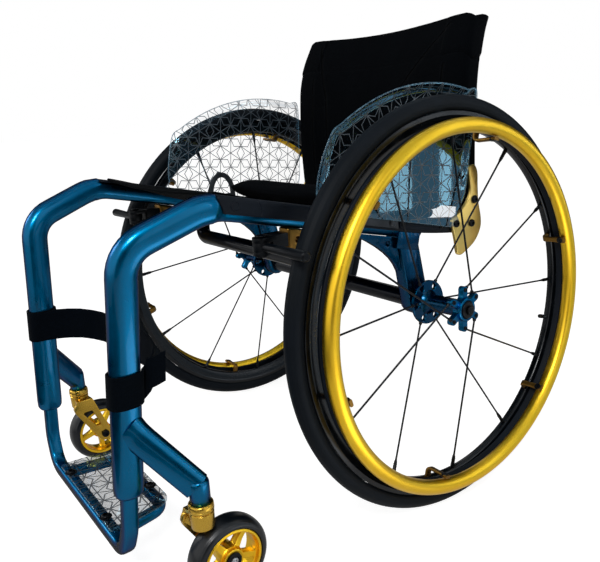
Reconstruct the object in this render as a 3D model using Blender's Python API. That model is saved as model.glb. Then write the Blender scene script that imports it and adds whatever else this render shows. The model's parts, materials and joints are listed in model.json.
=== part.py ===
"""A rigid active wheelchair with swivelling front casters, cambered quick-release rear wheels and a
folding backrest. Metres, +Z up. +X is the sitter's left, -Y is forward. The origin is on the floor,
under the middle of the chair's length. Heights are above the floor, and a FORWARD value is a distance
in front of the rear axle, so a point behind the axle has a negative one."""

import math

import bmesh
import bpy
from mathutils import Matrix, Vector

# Clearances
GAP = 0.0003
BEARING_GAP = 0.0004
FLANGE_GAP = 0.0015

# Rear wheels
WHEEL_R = 0.295
TYRE_THICK = 0.025
TYRE_SEAT_DEPTH = 0.0215
CAMBER = math.radians(2.7)
TRACK_HALF = 0.256
RIM_DEPTH = 0.023
RIM_WIDTH = 0.021
RIM_NOSE_WIDTH = 0.009
SPOKES_PER_SIDE = 6
SPOKE_PHASE_R = math.radians(90)
SPOKE_R = 0.0014
NIPPLE_R = 0.0027
NIPPLE_LENGTH = 0.018
NIPPLE_GAP = 0.0010
SPOKE_SEAT = 0.002
WHEEL_STEPS = 40
VALVE_ANGLE = math.radians(-107)
VALVE_LENGTH = 0.022

# Hand rims
HANDRIM_R = 0.2527
HANDRIM_TUBE_R = 0.0092
HANDRIM_OFFSET = 0.0326
GRIP_WIDTH = 0.0085
GRIP_HEIGHT = 0.012
TAB_COUNT = 6
TAB_START = math.radians(45)
TAB_DEPTH = 0.006
TAB_WIDTH = 0.009

# Hubs and axles
HUB_INNER = 0.042
HUB_OUTER = 0.025
FLANGE_R = 0.033
FLANGE_THICK = 0.005
FLANGE_HOLES = 6
FLANGE_HOLE_R = 0.0042
BARREL_R = 0.0145
STAR_ARM_R = 0.0052
STAR_THICK = 0.009
AXLE_R = 0.00635
AXLE_LENGTH = 0.125
AXLE_CAP_R = 0.0125
AXLE_CAP_THICK = 0.006
BUTTON_R = 0.006
BUTTON_LENGTH = 0.009
BUTTON_TRAVEL = 0.004

# Side frames
KNEE_X = 0.171
KNEE_FORWARD = 0.445
KNEE_HEIGHT = 0.442
STEP_X = 0.158
STEP_FORWARD = 0.4685
STEP_HEIGHT = 0.147
SEAT_X = 0.186
SEAT_BEND_FORWARD = 0.336
SEAT_BEND_HEIGHT = 0.4805
SEAT_SLOPE = math.radians(12.8)
SEAT_TUBE_END_FORWARD = -0.003
KNEE_BEND_R = 0.045
SEAT_BEND_R = 0.09
SEAT_BEND_DROP = 0.003
SEAT_BEND_REACH = 0.018
TUBE_WIDTH = 0.030
TUBE_DEPTH = 0.036
TUBE_SQUARENESS = 3.0
SEAT_TUBE_WIDTH = 0.024
SEAT_TUBE_HEIGHT = 0.026

# Seat rails
RAIL_HEIGHT = 0.021
RAIL_WALL = 0.004
RAIL_FRONT_FORWARD = 0.342
RAIL_REAR_FORWARD = -0.086
RAIL_INNER_OVERHANG = 0.002
SHOULDER = 0.0004

# Rear posts and tubes across the chair
POST_WIDTH = 0.042
POST_THICK = 0.022
POST_TOP_FORWARD = 0.022
GUSSET_THICK = 0.008
GUSSET_REACH = 0.115
GUSSET_DROP = 0.052
GUSSET_HOLE_R = 0.004
CAMBER_TUBE_R = 0.013
AXLE_SPACER = 0.0035
CROSS_BAR_R = 0.012
CROSS_BAR_X = 0.177
CROSS_BAR_FORWARD = 0.150
CROSS_BAR_DROP = 0.052
CROSS_BAR_BEND_R = 0.022

# Caster arms
CASTER_X = 0.2185
CASTER_FORWARD = 0.405
CASTER_BARREL_R = 0.0125
CASTER_BARREL_BOTTOM = 0.1405
CASTER_BARREL_HEIGHT = 0.030
ARM_START_HEIGHT = 0.240
ARM_END_HEIGHT = 0.158
ARM_HEIGHT = 0.032
ARM_WIDTH = 0.022
ARM_ROOT_FLARE = 1.25
ARM_ROOT_OUT = 0.004
ARM_ROOT_FORWARD = 0.008
STEM_R = 0.006

# Casters
CASTER_R = 0.053
CASTER_WIDTH = 0.028
CASTER_TYRE_DEPTH = 0.0165
CASTER_RIM_DEPTH = 0.0065
CASTER_RIM_WIDTH = 0.024
CASTER_HUB_R = 0.0125
CASTER_HUB_WIDTH = 0.028
CASTER_WEB_THICK = 0.010
CASTER_SPOKES = 5
CASTER_STEPS = 20
CASTER_SPOKE_WIDTH = 0.008
CASTER_TRAIL = 0.028
COLLAR_R = 0.0145
COLLAR_HEIGHT = 0.011
FORK_HEAD_R = 0.0142
FORK_HEAD_HEIGHT = 0.021
FORK_PLATE_THICK = 0.007
FORK_PLATE_TOP_WIDTH = 0.036
FORK_BOSS_R = 0.012
CASTER_BOLT_R = 0.004
CASTER_BOLT_HEAD_R = 0.0085
CASTER_BOLT_HEAD_THICK = 0.004

# Footrest
FOOT_BAR_FORWARD = 0.4745
FOOT_BAR_DEPTH = 0.019
FOOT_BAR_HEIGHT = 0.018
FOOT_BAR_CENTRE_HEIGHT = 0.0595
FOOT_CORNER_X = 0.137
FOOT_BEND_R = 0.030
FOOT_KNUCKLE_R = 0.060
FOOT_TUBE_STRAIGHT = 0.047
FOOT_INSERT = 0.028
FOOT_LOOP_R = 0.0088
FOOT_LOOP_REACH = 0.0765
FOOT_LOOP_FRONT_X = 0.097
FOOT_LOOP_REAR_X = 0.084
FOOT_LOOP_BEND_R = 0.022
PLATE_THICK = 0.004
PLATE_FRONT_MARGIN = 0.006
PLATE_SIDE_MARGIN = 0.011
PLATE_CORNER_R = 0.022
PLATE_SCREW_FRONT_X = 0.0715
PLATE_SCREW_REAR_X = 0.043

# Seat and back
SLING_THICK = 0.003
SLING_SAG = 0.012
SLING_FRONT_FORWARD = 0.330
SLING_REAR_FORWARD = -0.058
FLAP_FRONT_FORWARD = 0.130
FLAP_REAR_FORWARD = -0.088
FLAP_HALF_WIDTH = 0.150
FLAP_RISES = (0.023, 0.025, 0.025, 0.022, 0.020)
FLAP_LIP = 0.014
FLAP_GAP = 0.0006
CANE_R = 0.011
CANE_X = 0.1865
BACK_PIVOT_FORWARD = -0.111
BACK_PIVOT_RISE = 0.0449
CANE_TAIL = 0.046
CANE_TOP = 0.688
BACK_LEAN = 0.012
BACK_HALF_WIDTH = 0.2005
BACK_TOP = 0.703
BACK_SKIRT = 0.011
BACK_TOP_DIP = 0.010
BACK_CLOTH = 0.0035
BACK_EDGE = 0.0025
BACK_POCKET_INNER = 0.030
BACK_BOW = 0.012

# Back brackets
BRACKET_THICK = 0.006
BRACKET_BOLT_INSET = 0.012
BACK_STOP_SHARE = 0.198
BOLT_HEAD_R = 0.0058
BOLT_HEAD_THICK = 0.004
BOLT_R = 0.003
SCREW_SINK = 0.0005
PIVOT_BOLT_END = 0.007
SPACER_R = 0.005

# The back bracket's edge: forward of the pivot, a share of the way up from the rail's bolt to the
# pivot, and a distance above that
BRACKET_OUTLINE = (
    (0.012, 1.0, 0.05),
    (0.000, 1.0, 0.053),
    (-0.008, 1.0, 0.042),
    (-0.013, 1.0, 0.02),
    (-0.018, 0.89, 0.0),
    (-0.022, 0.33, 0.0),
    (-0.019, 0.0, -0.0031),
    (-0.004, 0.0, -0.0221),
    (0.020, 0.0, -0.0351),
    (0.031, 0.0, -0.0381),
    (0.038, 0.0, -0.0331),
    (0.041, 0.0, -0.0171),
    (0.046, 0.0, -0.0001),
    (0.051, 0.29, 0.0),
    (0.048, 0.47, 0.0),
    (0.030, 0.69, 0.0),
    (0.014, 1.0, 0.0),
    (0.008, 1.0, 0.015),
    (0.010, 1.0, 0.032),
)

# Side guards
GUARD_R = 0.312
GUARD_THICK = 0.003
GUARD_FLARE = 0.010
GUARD_FLARE_BAND = 0.018
GUARD_FRONT_ANGLE = math.radians(35)
GUARD_REAR_ANGLE = math.radians(19)
GUARD_FOOT_LIFT = 0.008
GUARD_FOOT_FRONT = 0.184
GUARD_FOOT_REAR = -0.040
GUARD_MIDDLE_FORWARD = 0.030
GUARD_MIDDLE_RISE = 0.0775
# Points of the guard's edge between its foot and its arc: forward, share of the way up, share of the flare
GUARD_FRONT_EDGE = ((0.199, 0.223, 0.0), (0.194, 0.599, 0.3))
GUARD_REAR_EDGE = ((-0.096, 0.609, 0.4), (-0.089, 0.25, 0.0), (-0.070, 0.11, 0.0))
GUARD_BRACKET_THICK = 0.004
ARCH_FORWARD = 0.096
ARCH_HALF_WIDTH = 0.028
ARCH_BAND = 0.009
ARCH_HEIGHT = 0.040
ARCH_FOOT_HEIGHT = 0.013
ARCH_FOOT_LENGTH = 0.086

# Calf strap
STRAP_HEIGHT = 0.046
STRAP_CENTRE_HEIGHT = 0.284
STRAP_THICK = 0.003
STRAP_REACH = 0.0596
STRAP_BULGE = 0.002
STRAP_TILT = 0.014

# Wheel locks
BRAKE_FORWARD = 0.222
BRAKE_CLAMP_LENGTH = 0.031
BRAKE_CLAMP_WIDTH = 0.021
BRAKE_CLAMP_HEIGHT = 0.0281
BRAKE_X = 0.190
BRAKE_PIVOT_FORWARD = 0.275
BRAKE_EAR_R = 0.011
BRAKE_EAR_DROP = 0.0026
BRAKE_EAR_THICK = 0.006
BRAKE_BLOCK_HEIGHT = 0.017
BRAKE_PIN_R = 0.004
BRAKE_PIN_HEAD = 0.0022
BRAKE_SHOE_THICK = 0.011
BRAKE_BAR_TIP_X = 0.281
BRAKE_LEVER_THICK = 0.005
BRAKE_LEVER_WIDTH = 0.010
BRAKE_LEVER_REACH = 0.058
BRAKE_LEVER_REST = math.radians(135)

# Worked out from the sizes above
AXLE_Y = (STEP_FORWARD + TUBE_DEPTH / 2 - WHEEL_R) / 2
TYRE_RING_R = WHEEL_R - TYRE_THICK / 2
AXLE_Z = TYRE_RING_R * math.cos(CAMBER) + TYRE_THICK / 2
TYRE_SEAT_R = WHEEL_R - TYRE_SEAT_DEPTH
RIM_OUTER_R = TYRE_SEAT_R - GAP
RIM_INNER_R = RIM_OUTER_R - RIM_DEPTH
SEAT_TUBE_X = SEAT_X + TUBE_WIDTH / 2 - RAIL_WALL - GAP - SEAT_TUBE_WIDTH / 2
RAIL_OUTER_X = SEAT_X + TUBE_WIDTH / 2
RAIL_INNER_X = SEAT_TUBE_X - SEAT_TUBE_WIDTH / 2 - RAIL_INNER_OVERHANG
FOOT_BAR_TOP = FOOT_BAR_CENTRE_HEIGHT + FOOT_BAR_HEIGHT / 2
CAMBER_TUBE_Z = AXLE_Z - (TRACK_HALF - SEAT_TUBE_X) * math.tan(CAMBER)
CAMBER_TUBE_HALF = TRACK_HALF - HUB_INNER - FLANGE_THICK - AXLE_SPACER
CASTER_AXLE_FORWARD = CASTER_FORWARD - CASTER_TRAIL
ROUND_SIDES = 16
BOLT_SIDES = 8
SPOKE_SIDES = 5


def place(x, forward, height):
    """A point of the chair from its distance in front of the rear axle."""
    return Vector((x, AXLE_Y - forward, height))


def clear_scene():
    for obj in list(bpy.data.objects):
        bpy.data.objects.remove(obj)


def material(name, colour, roughness, metallic=0.0, alpha=1.0):
    made = bpy.data.materials.new(name)
    made.use_nodes = True
    shader = made.node_tree.nodes["Principled BSDF"]
    shader.inputs["Base Color"].default_value = (*colour, 1.0)
    shader.inputs["Roughness"].default_value = roughness
    shader.inputs["Metallic"].default_value = metallic
    shader.inputs["Alpha"].default_value = alpha
    return made


def frame_empty(name, location, rotation=(0.0, 0.0, 0.0)):
    """An empty on a joint's axis, which carries the moving pieces."""
    empty = bpy.data.objects.new(name, None)
    empty.location = location
    empty.rotation_euler = rotation
    bpy.context.scene.collection.objects.link(empty)
    return empty


def mesh_object(name, bm, mat, parent=None, mirrored=False):
    """Turns the working mesh into an object. A mirrored one is the same piece on the other side."""
    if mirrored:
        bmesh.ops.scale(bm, vec=(-1, 1, 1), verts=bm.verts)
    bmesh.ops.remove_doubles(bm, verts=bm.verts, dist=1e-6)
    bmesh.ops.recalc_face_normals(bm, faces=bm.faces)
    mesh = bpy.data.meshes.new(name)
    bm.to_mesh(mesh)
    bm.free()
    mesh.materials.append(mat)
    mesh.shade_smooth()
    mesh.set_sharp_from_angle(angle=math.radians(35))
    obj = bpy.data.objects.new(name, mesh)
    bpy.context.scene.collection.objects.link(obj)
    obj.parent = parent
    return obj


def boolean(obj, other, operation):
    """Cuts or joins with a helper object, which isn't part of the chair."""
    other.hide_render = True
    other.display_type = "WIRE"
    modifier = obj.modifiers.new(f"{operation.lower()} {other.name}", "BOOLEAN")
    modifier.operation = operation
    modifier.object = other
    modifier.solver = "EXACT"


def bevel(obj, width, segments=1, angle=math.radians(40)):
    modifier = obj.modifiers.new("soft edges", "BEVEL")
    modifier.width = width
    modifier.segments = segments
    modifier.limit_method = "ANGLE"
    modifier.angle_limit = angle


def loft(bm, rings):
    """Skins rings of points that follow each other, and closes both ends."""
    made = [[bm.verts.new(point) for point in ring] for ring in rings]
    count = len(made[0])
    for lower, upper in zip(made, made[1:]):
        for i in range(count):
            j = (i + 1) % count
            bm.faces.new((lower[i], lower[j], upper[j], upper[i]))
    bm.faces.new(made[0])
    bm.faces.new(made[-1])


def rounded_path(corners, radii, steps=6):
    """A line through corners, with each inner corner turned into an arc of its radius."""
    points = [Vector(corners[0])]
    for before, corner, after, radius in zip(corners, corners[1:], corners[2:], radii):
        corner = Vector(corner)
        back = (Vector(before) - corner).normalized()
        ahead = (Vector(after) - corner).normalized()
        half = back.angle(ahead) / 2
        reach = radius / math.tan(half)
        centre = corner + (back + ahead).normalized() * radius / math.sin(half)
        start = corner + back * reach - centre
        end = corner + ahead * reach - centre
        turn = start.angle(end)
        for step in range(steps + 1):
            share = step / steps
            left = math.sin((1 - share) * turn) / math.sin(turn)
            right = math.sin(share * turn) / math.sin(turn)
            points.append(centre + start * left + end * right)
    points.append(Vector(corners[-1]))
    return points


def path_frames(points, across):
    """For each point, the direction across the chair and the outward direction of a section there."""
    frames = []
    for i, point in enumerate(points):
        ahead = (points[min(i + 1, len(points) - 1)] - points[max(i - 1, 0)]).normalized()
        side = (across - ahead * across.dot(ahead)).normalized()
        frames.append((point, side, side.cross(ahead)))
    return frames


def superellipse(width, depth, power, count):
    """A section between an ellipse and a rectangle, as pairs of sideways and outward distances."""
    points = []
    for i in range(count):
        angle = math.tau * (i + 0.5) / count
        c = math.cos(angle)
        s = math.sin(angle)
        points.append(
            (
                math.copysign(abs(c) ** (2 / power), c) * width / 2,
                math.copysign(abs(s) ** (2 / power), s) * depth / 2,
            )
        )
    return points


def circle(radius, count=ROUND_SIDES):
    return [
        (radius * math.cos(math.tau * i / count), radius * math.sin(math.tau * i / count))
        for i in range(count)
    ]


def sweep(bm, points, section, across=Vector((1, 0, 0))):
    """Runs one section along a path."""
    rings = [
        [point + side * u + out * v for u, v in section]
        for point, side, out in path_frames(points, across)
    ]
    loft(bm, rings)


def prism(bm, outline, start, length, direction=Vector((1, 0, 0))):
    """Extrudes an outline of (y, z) points along X from a start position."""
    face = bm.faces.new([bm.verts.new((start, y, z)) for y, z in outline])
    made = bmesh.ops.extrude_face_region(bm, geom=[face])
    verts = [item for item in made["geom"] if isinstance(item, bmesh.types.BMVert)]
    bmesh.ops.translate(bm, vec=direction * length, verts=verts)


def square_to(axis):
    """A direction at right angles to an axis, straight up where the axis is level across the chair."""
    reference = Vector((0, 1, 0)) if abs(axis.y) < 0.9 else Vector((1, 0, 0))
    return axis.cross(reference).normalized()


def turned(bm, profile, steps, axis=Vector((1, 0, 0)), centre=Vector((0, 0, 0))):
    """Spins a closed profile of (along, radius) points a full turn about an axis."""
    out = square_to(axis)
    points = [centre + axis * along + out * radius for along, radius in profile]
    verts = [bm.verts.new(point) for point in points]
    edges = [bm.edges.new((a, b)) for a, b in zip(verts, verts[1:] + verts[:1])]
    bmesh.ops.spin(
        bm,
        geom=edges,
        cent=centre,
        axis=axis,
        angle=math.tau,
        steps=steps,
        use_merge=True,
        use_duplicate=False,
    )


def solid_of_turn(bm, profile, steps, axis=Vector((1, 0, 0)), centre=Vector((0, 0, 0))):
    """A turned solid whose profile of (along, radius) points starts and ends on the axis."""
    out = square_to(axis)
    other = axis.cross(out)
    rings = []
    for along, radius in profile:
        rings.append(
            [
                centre
                + axis * along
                + out * (radius * math.cos(math.tau * i / steps))
                + other * (radius * math.sin(math.tau * i / steps))
                for i in range(steps)
            ]
        )
    loft(bm, rings)


def seat_line(forward, above=0.0):
    """Height of the seat tubes' underside, or of a line at a square distance above it."""
    base = SEAT_BEND_HEIGHT - TUBE_DEPTH / 2 / math.cos(SEAT_SLOPE)
    fall = (SEAT_BEND_FORWARD - forward) * math.tan(SEAT_SLOPE)
    return base - fall + above / math.cos(SEAT_SLOPE)


def seat_point(x, forward, above):
    """A point square above the seat tubes' underside, so that the points of one forward value lie in
    one plane across the tube."""
    base = place(x, forward, seat_line(forward))
    return base + Vector((0, math.sin(SEAT_SLOPE), math.cos(SEAT_SLOPE))) * above


# Heights that follow the seat
BRACKET_FOOT = seat_line(RAIL_REAR_FORWARD + BRACKET_BOLT_INSET, RAIL_HEIGHT - SEAT_TUBE_HEIGHT / 8)
BACK_PIVOT_HEIGHT = BRACKET_FOOT + BACK_PIVOT_RISE
BACK_BOTTOM = BACK_PIVOT_HEIGHT - BACK_SKIRT
BRAKE_CLAMP_BOTTOM = seat_line(BRAKE_FORWARD) - BRAKE_CLAMP_HEIGHT
BRAKE_EAR_TOP = seat_line(BRAKE_FORWARD) - BRAKE_EAR_DROP


def side_frame_mesh(name, mat, mirrored, inflate=0.0):
    """The bent tube from the footrest's step over the knee and along the seat."""
    step = place(STEP_X, STEP_FORWARD, STEP_HEIGHT)
    knee = place(KNEE_X, KNEE_FORWARD, KNEE_HEIGHT)
    bend = place(SEAT_X, SEAT_BEND_FORWARD, SEAT_BEND_HEIGHT)
    end_fall = (SEAT_BEND_FORWARD - RAIL_FRONT_FORWARD + 0.012) * math.tan(SEAT_SLOPE)
    rail_start = place(SEAT_X, RAIL_FRONT_FORWARD - 0.012, SEAT_BEND_HEIGHT - end_fall)
    points = rounded_path([step, knee, bend, rail_start], [KNEE_BEND_R, SEAT_BEND_R], 5)
    nose = seat_point(SEAT_X, RAIL_FRONT_FORWARD, TUBE_DEPTH / 2 - SEAT_BEND_DROP)
    points = [point for point in points if point.y < nose.y - 0.008]
    points[1:1] = [step.lerp(knee, 0.02), step.lerp(knee, 0.45)]
    full = superellipse(TUBE_WIDTH + 2 * inflate, TUBE_DEPTH + 2 * inflate, TUBE_SQUARENESS, 16)
    slim = superellipse(
        SEAT_TUBE_WIDTH + 2 * inflate, SEAT_TUBE_HEIGHT + 2 * inflate, TUBE_SQUARENESS, 16
    )
    rings = []
    frames = path_frames(points, Vector((1, 0, 0)))
    for number, (point, side, out) in enumerate(frames):
        scale = 0.80 if number == 0 else 1.0
        rings.append([point + side * u * scale + out * v * scale for u, v in full])
    out = Vector((0, math.sin(SEAT_SLOPE), math.cos(SEAT_SLOPE)))
    side = Vector((1, 0, 0))
    rings.append([nose + side * u + out * v for u, v in full])
    bend_end = RAIL_FRONT_FORWARD - 2 * SEAT_BEND_REACH
    for forward, drop in (
        (RAIL_FRONT_FORWARD - SHOULDER, SEAT_BEND_DROP),
        (RAIL_FRONT_FORWARD - SEAT_BEND_REACH, SEAT_BEND_DROP / 4),
        (bend_end, 0),
        (SEAT_TUBE_END_FORWARD, 0),
    ):
        centre = seat_point(SEAT_TUBE_X, forward, SEAT_TUBE_HEIGHT / 2)
        deeper = 1 + 2 * drop / SEAT_TUBE_HEIGHT
        rings.append(
            [centre + side * u + out * (v * deeper if v < 0 else v) for u, v in slim]
        )
    bm = bmesh.new()
    loft(bm, rings)
    return mesh_object(name, bm, mat, mirrored=mirrored)


def side_frame(name, mat, mirrored):
    """The side tube with the socket in its lower end that takes the footrest's tube."""
    tube = side_frame_mesh(name, mat, mirrored)
    step = place(STEP_X, STEP_FORWARD, STEP_HEIGHT)
    along = front_tube_direction()
    path = [step - along * 0.01, step + along * (FOOT_INSERT + 0.001)]
    bm = bmesh.new()
    loft(bm, foot_rings(path, GAP))
    boolean(tube, mesh_object(name + " socket", bm, mat, mirrored=mirrored), "DIFFERENCE")


def front_tube_direction():
    """Up along the front tube."""
    step = place(STEP_X, STEP_FORWARD, STEP_HEIGHT)
    return (place(KNEE_X, KNEE_FORWARD, KNEE_HEIGHT) - step).normalized()


def foot_rings(path, grow):
    """Sections of the footrest's tube along a path, with their outer side forward or down."""
    section = superellipse(FOOT_BAR_HEIGHT + 2 * grow, FOOT_BAR_DEPTH + 2 * grow, 4.0, 12)
    rings = []
    for i, point in enumerate(path):
        ahead = (path[min(i + 1, len(path) - 1)] - path[max(i - 1, 0)]).normalized()
        out = Vector((0, -1, 0))
        out = (out - ahead * out.dot(ahead)).normalized()
        side = ahead.cross(out)
        rings.append([point + side * u + out * v for u, v in section])
    return rings


def rear_post(name, mat, mirrored):
    """The post from the seat tube down to the camber tube, with its web in front."""
    half = POST_WIDTH / 2
    top_front = POST_TOP_FORWARD + half
    top_rear = POST_TOP_FORWARD - half
    ring_r = half
    outline = [
        (AXLE_Y - top_front, seat_line(top_front) - GAP),
        (AXLE_Y - top_rear, seat_line(top_rear) - GAP),
    ]
    for i in range(9):
        angle = math.radians(12 - 192 * i / 8)
        outline.append(
            (AXLE_Y + ring_r * math.cos(angle), CAMBER_TUBE_Z + ring_r * math.sin(angle))
        )
    bm = bmesh.new()
    prism(bm, outline, SEAT_TUBE_X - POST_THICK / 2, POST_THICK)
    post = mesh_object(name, bm, mat, mirrored=mirrored)
    bevel(post, 0.004, 2)
    web_foot = seat_line(top_front) - GUSSET_DROP
    start = Vector((AXLE_Y - GUSSET_REACH, seat_line(GUSSET_REACH) - GAP))
    finish = Vector((AXLE_Y - top_front + 0.006, web_foot))
    corner = Vector((AXLE_Y - top_front - 0.006, seat_line(top_front) - 0.020))
    web = [(AXLE_Y - top_front + 0.012, seat_line(top_front - 0.012) - GAP), tuple(start)]
    for i in range(7):
        share = i / 6
        point = start * (1 - share) ** 2 + corner * 2 * share * (1 - share) + finish * share**2
        web.append((point.x, point.y - 0.004 * (1 - share)))
    web.append((AXLE_Y - top_front + 0.012, web_foot))
    bm = bmesh.new()
    prism(bm, web, SEAT_TUBE_X - GUSSET_THICK / 2, GUSSET_THICK)
    plate = mesh_object(name + " web", bm, mat, mirrored=mirrored)
    boolean(post, plate, "UNION")
    bm = bmesh.new()
    hole = place(0, top_front + 0.014, seat_line(top_front + 0.014) - 0.011)
    solid_of_turn(
        bm,
        [(SEAT_TUBE_X - POST_THICK, GUSSET_HOLE_R), (SEAT_TUBE_X + POST_THICK, GUSSET_HOLE_R)],
        12,
        centre=hole,
    )
    boolean(post, mesh_object(name + " hole", bm, mat, mirrored=mirrored), "DIFFERENCE")
    bm = bmesh.new()
    solid_of_turn(
        bm,
        [(SEAT_TUBE_X - POST_THICK, CAMBER_TUBE_R + GAP), (SEAT_TUBE_X + POST_THICK, CAMBER_TUBE_R + GAP)],
        20,
        centre=Vector((0, AXLE_Y, CAMBER_TUBE_Z)),
    )
    boolean(post, mesh_object(name + " seat", bm, mat, mirrored=mirrored), "DIFFERENCE")
    return post


def wheel_direction(side):
    """The outward direction of a rear axle, which camber tips upward."""
    return Vector((side * math.cos(CAMBER), 0, math.sin(CAMBER)))


def camber_tube(mat):
    """The tube between the posts, bored at each end for the quick-release axles."""
    bm = bmesh.new()
    solid_of_turn(
        bm,
        [(-CAMBER_TUBE_HALF, CAMBER_TUBE_R), (CAMBER_TUBE_HALF, CAMBER_TUBE_R)],
        20,
        centre=Vector((0, AXLE_Y, CAMBER_TUBE_Z)),
    )
    tube = mesh_object("camber_tube", bm, mat)
    for side in (1, -1):
        bm = bmesh.new()
        hub = Vector((side * TRACK_HALF, AXLE_Y, AXLE_Z))
        solid_of_turn(
            bm,
            [(-AXLE_LENGTH - 0.002, AXLE_R + BEARING_GAP), (0, AXLE_R + BEARING_GAP)],
            ROUND_SIDES,
            axis=wheel_direction(side),
            centre=hub,
        )
        boolean(tube, mesh_object(f"axle bore {side}", bm, mat), "DIFFERENCE")


def cross_bar(mat):
    """The dropped tube under the seat. Its ends meet the seat tubes' undersides squarely."""
    down = Vector((0, -math.sin(SEAT_SLOPE), -math.cos(SEAT_SLOPE)))
    top = place(CROSS_BAR_X, CROSS_BAR_FORWARD, seat_line(CROSS_BAR_FORWARD))
    top += down * (GAP + 0.0004)
    low = top + down * CROSS_BAR_DROP
    corners = [
        top,
        low,
        Vector((-low.x, low.y, low.z)),
        Vector((-top.x, top.y, top.z)),
    ]
    curve = bpy.data.curves.new("cross_bar", "CURVE")
    curve.dimensions = "3D"
    curve.bevel_depth = CROSS_BAR_R
    curve.bevel_resolution = 2
    curve.use_fill_caps = True
    path = rounded_path(corners, [CROSS_BAR_BEND_R, CROSS_BAR_BEND_R], 6)
    spline = curve.splines.new("POLY")
    spline.points.add(len(path) - 1)
    for point, position in zip(spline.points, path):
        point.co = (*position, 1)
    curve.materials.append(mat)
    obj = bpy.data.objects.new("cross_bar", curve)
    bpy.context.scene.collection.objects.link(obj)


def caster_arm(name, mat, mirrored, tube_cutter):
    """The ridged arm from the front tube out to the caster barrel."""
    share = (ARM_START_HEIGHT - STEP_HEIGHT) / (KNEE_HEIGHT - STEP_HEIGHT)
    start_x = STEP_X + (KNEE_X - STEP_X) * share
    start_forward = STEP_FORWARD + (KNEE_FORWARD - STEP_FORWARD) * share
    start = place(start_x + ARM_ROOT_OUT, start_forward + ARM_ROOT_FORWARD, ARM_START_HEIGHT)
    end = place(CASTER_X, CASTER_FORWARD, ARM_END_HEIGHT)
    ahead = (end - start).normalized()
    side = ahead.cross(Vector((0, 0, 1))).normalized()
    up = side.cross(ahead)
    half_w = ARM_WIDTH / 2
    half_h = ARM_HEIGHT / 2
    section = [
        (-half_w, -half_h * 0.62),
        (-half_w * 0.55, -half_h),
        (half_w * 0.55, -half_h),
        (half_w, -half_h * 0.62),
        (half_w, half_h * 0.40),
        (half_w * 0.35, half_h),
        (-half_w * 0.55, half_h),
        (-half_w, half_h * 0.55),
    ]
    rings = []
    for share, widen, scale in ((0, ARM_ROOT_FLARE, 1.15), (0.3, 1.12, 1.05), (0.96, 0.9, 0.86)):
        centre = start.lerp(end, share)
        rings.append([centre + side * u * widen + up * v * scale for u, v in section])
    bm = bmesh.new()
    loft(bm, rings)
    arm = mesh_object(name, bm, mat, mirrored=mirrored)
    boolean(arm, tube_cutter, "DIFFERENCE")
    bm = bmesh.new()
    top = CASTER_BARREL_BOTTOM + CASTER_BARREL_HEIGHT
    solid_of_turn(
        bm,
        [
            (CASTER_BARREL_BOTTOM, CASTER_BARREL_R),
            (top - 0.004, CASTER_BARREL_R),
            (top, CASTER_BARREL_R - 0.003),
        ],
        20,
        axis=Vector((0, 0, 1)),
        centre=place(CASTER_X, CASTER_FORWARD, 0),
    )
    boolean(arm, mesh_object(name + " barrel", bm, mat, mirrored=mirrored), "UNION")
    bm = bmesh.new()
    solid_of_turn(
        bm,
        [
            (CASTER_BARREL_BOTTOM - 0.05, STEM_R + BEARING_GAP),
            (CASTER_BARREL_BOTTOM + CASTER_BARREL_HEIGHT - 0.007, STEM_R + BEARING_GAP),
        ],
        ROUND_SIDES,
        axis=Vector((0, 0, 1)),
        centre=place(CASTER_X, CASTER_FORWARD, 0),
    )
    bm_box = bmesh.new()
    bmesh.ops.create_cube(bm_box, size=1.0)
    bmesh.ops.scale(bm_box, vec=(0.06, 0.08, 0.04), verts=bm_box.verts)
    under = place(CASTER_X, CASTER_FORWARD, CASTER_BARREL_BOTTOM - 0.02)
    bmesh.ops.translate(bm_box, vec=under, verts=bm_box.verts)
    boolean(arm, mesh_object(name + " under", bm_box, mat, mirrored=mirrored), "DIFFERENCE")
    boolean(arm, mesh_object(name + " bore", bm, mat, mirrored=mirrored), "DIFFERENCE")


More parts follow.
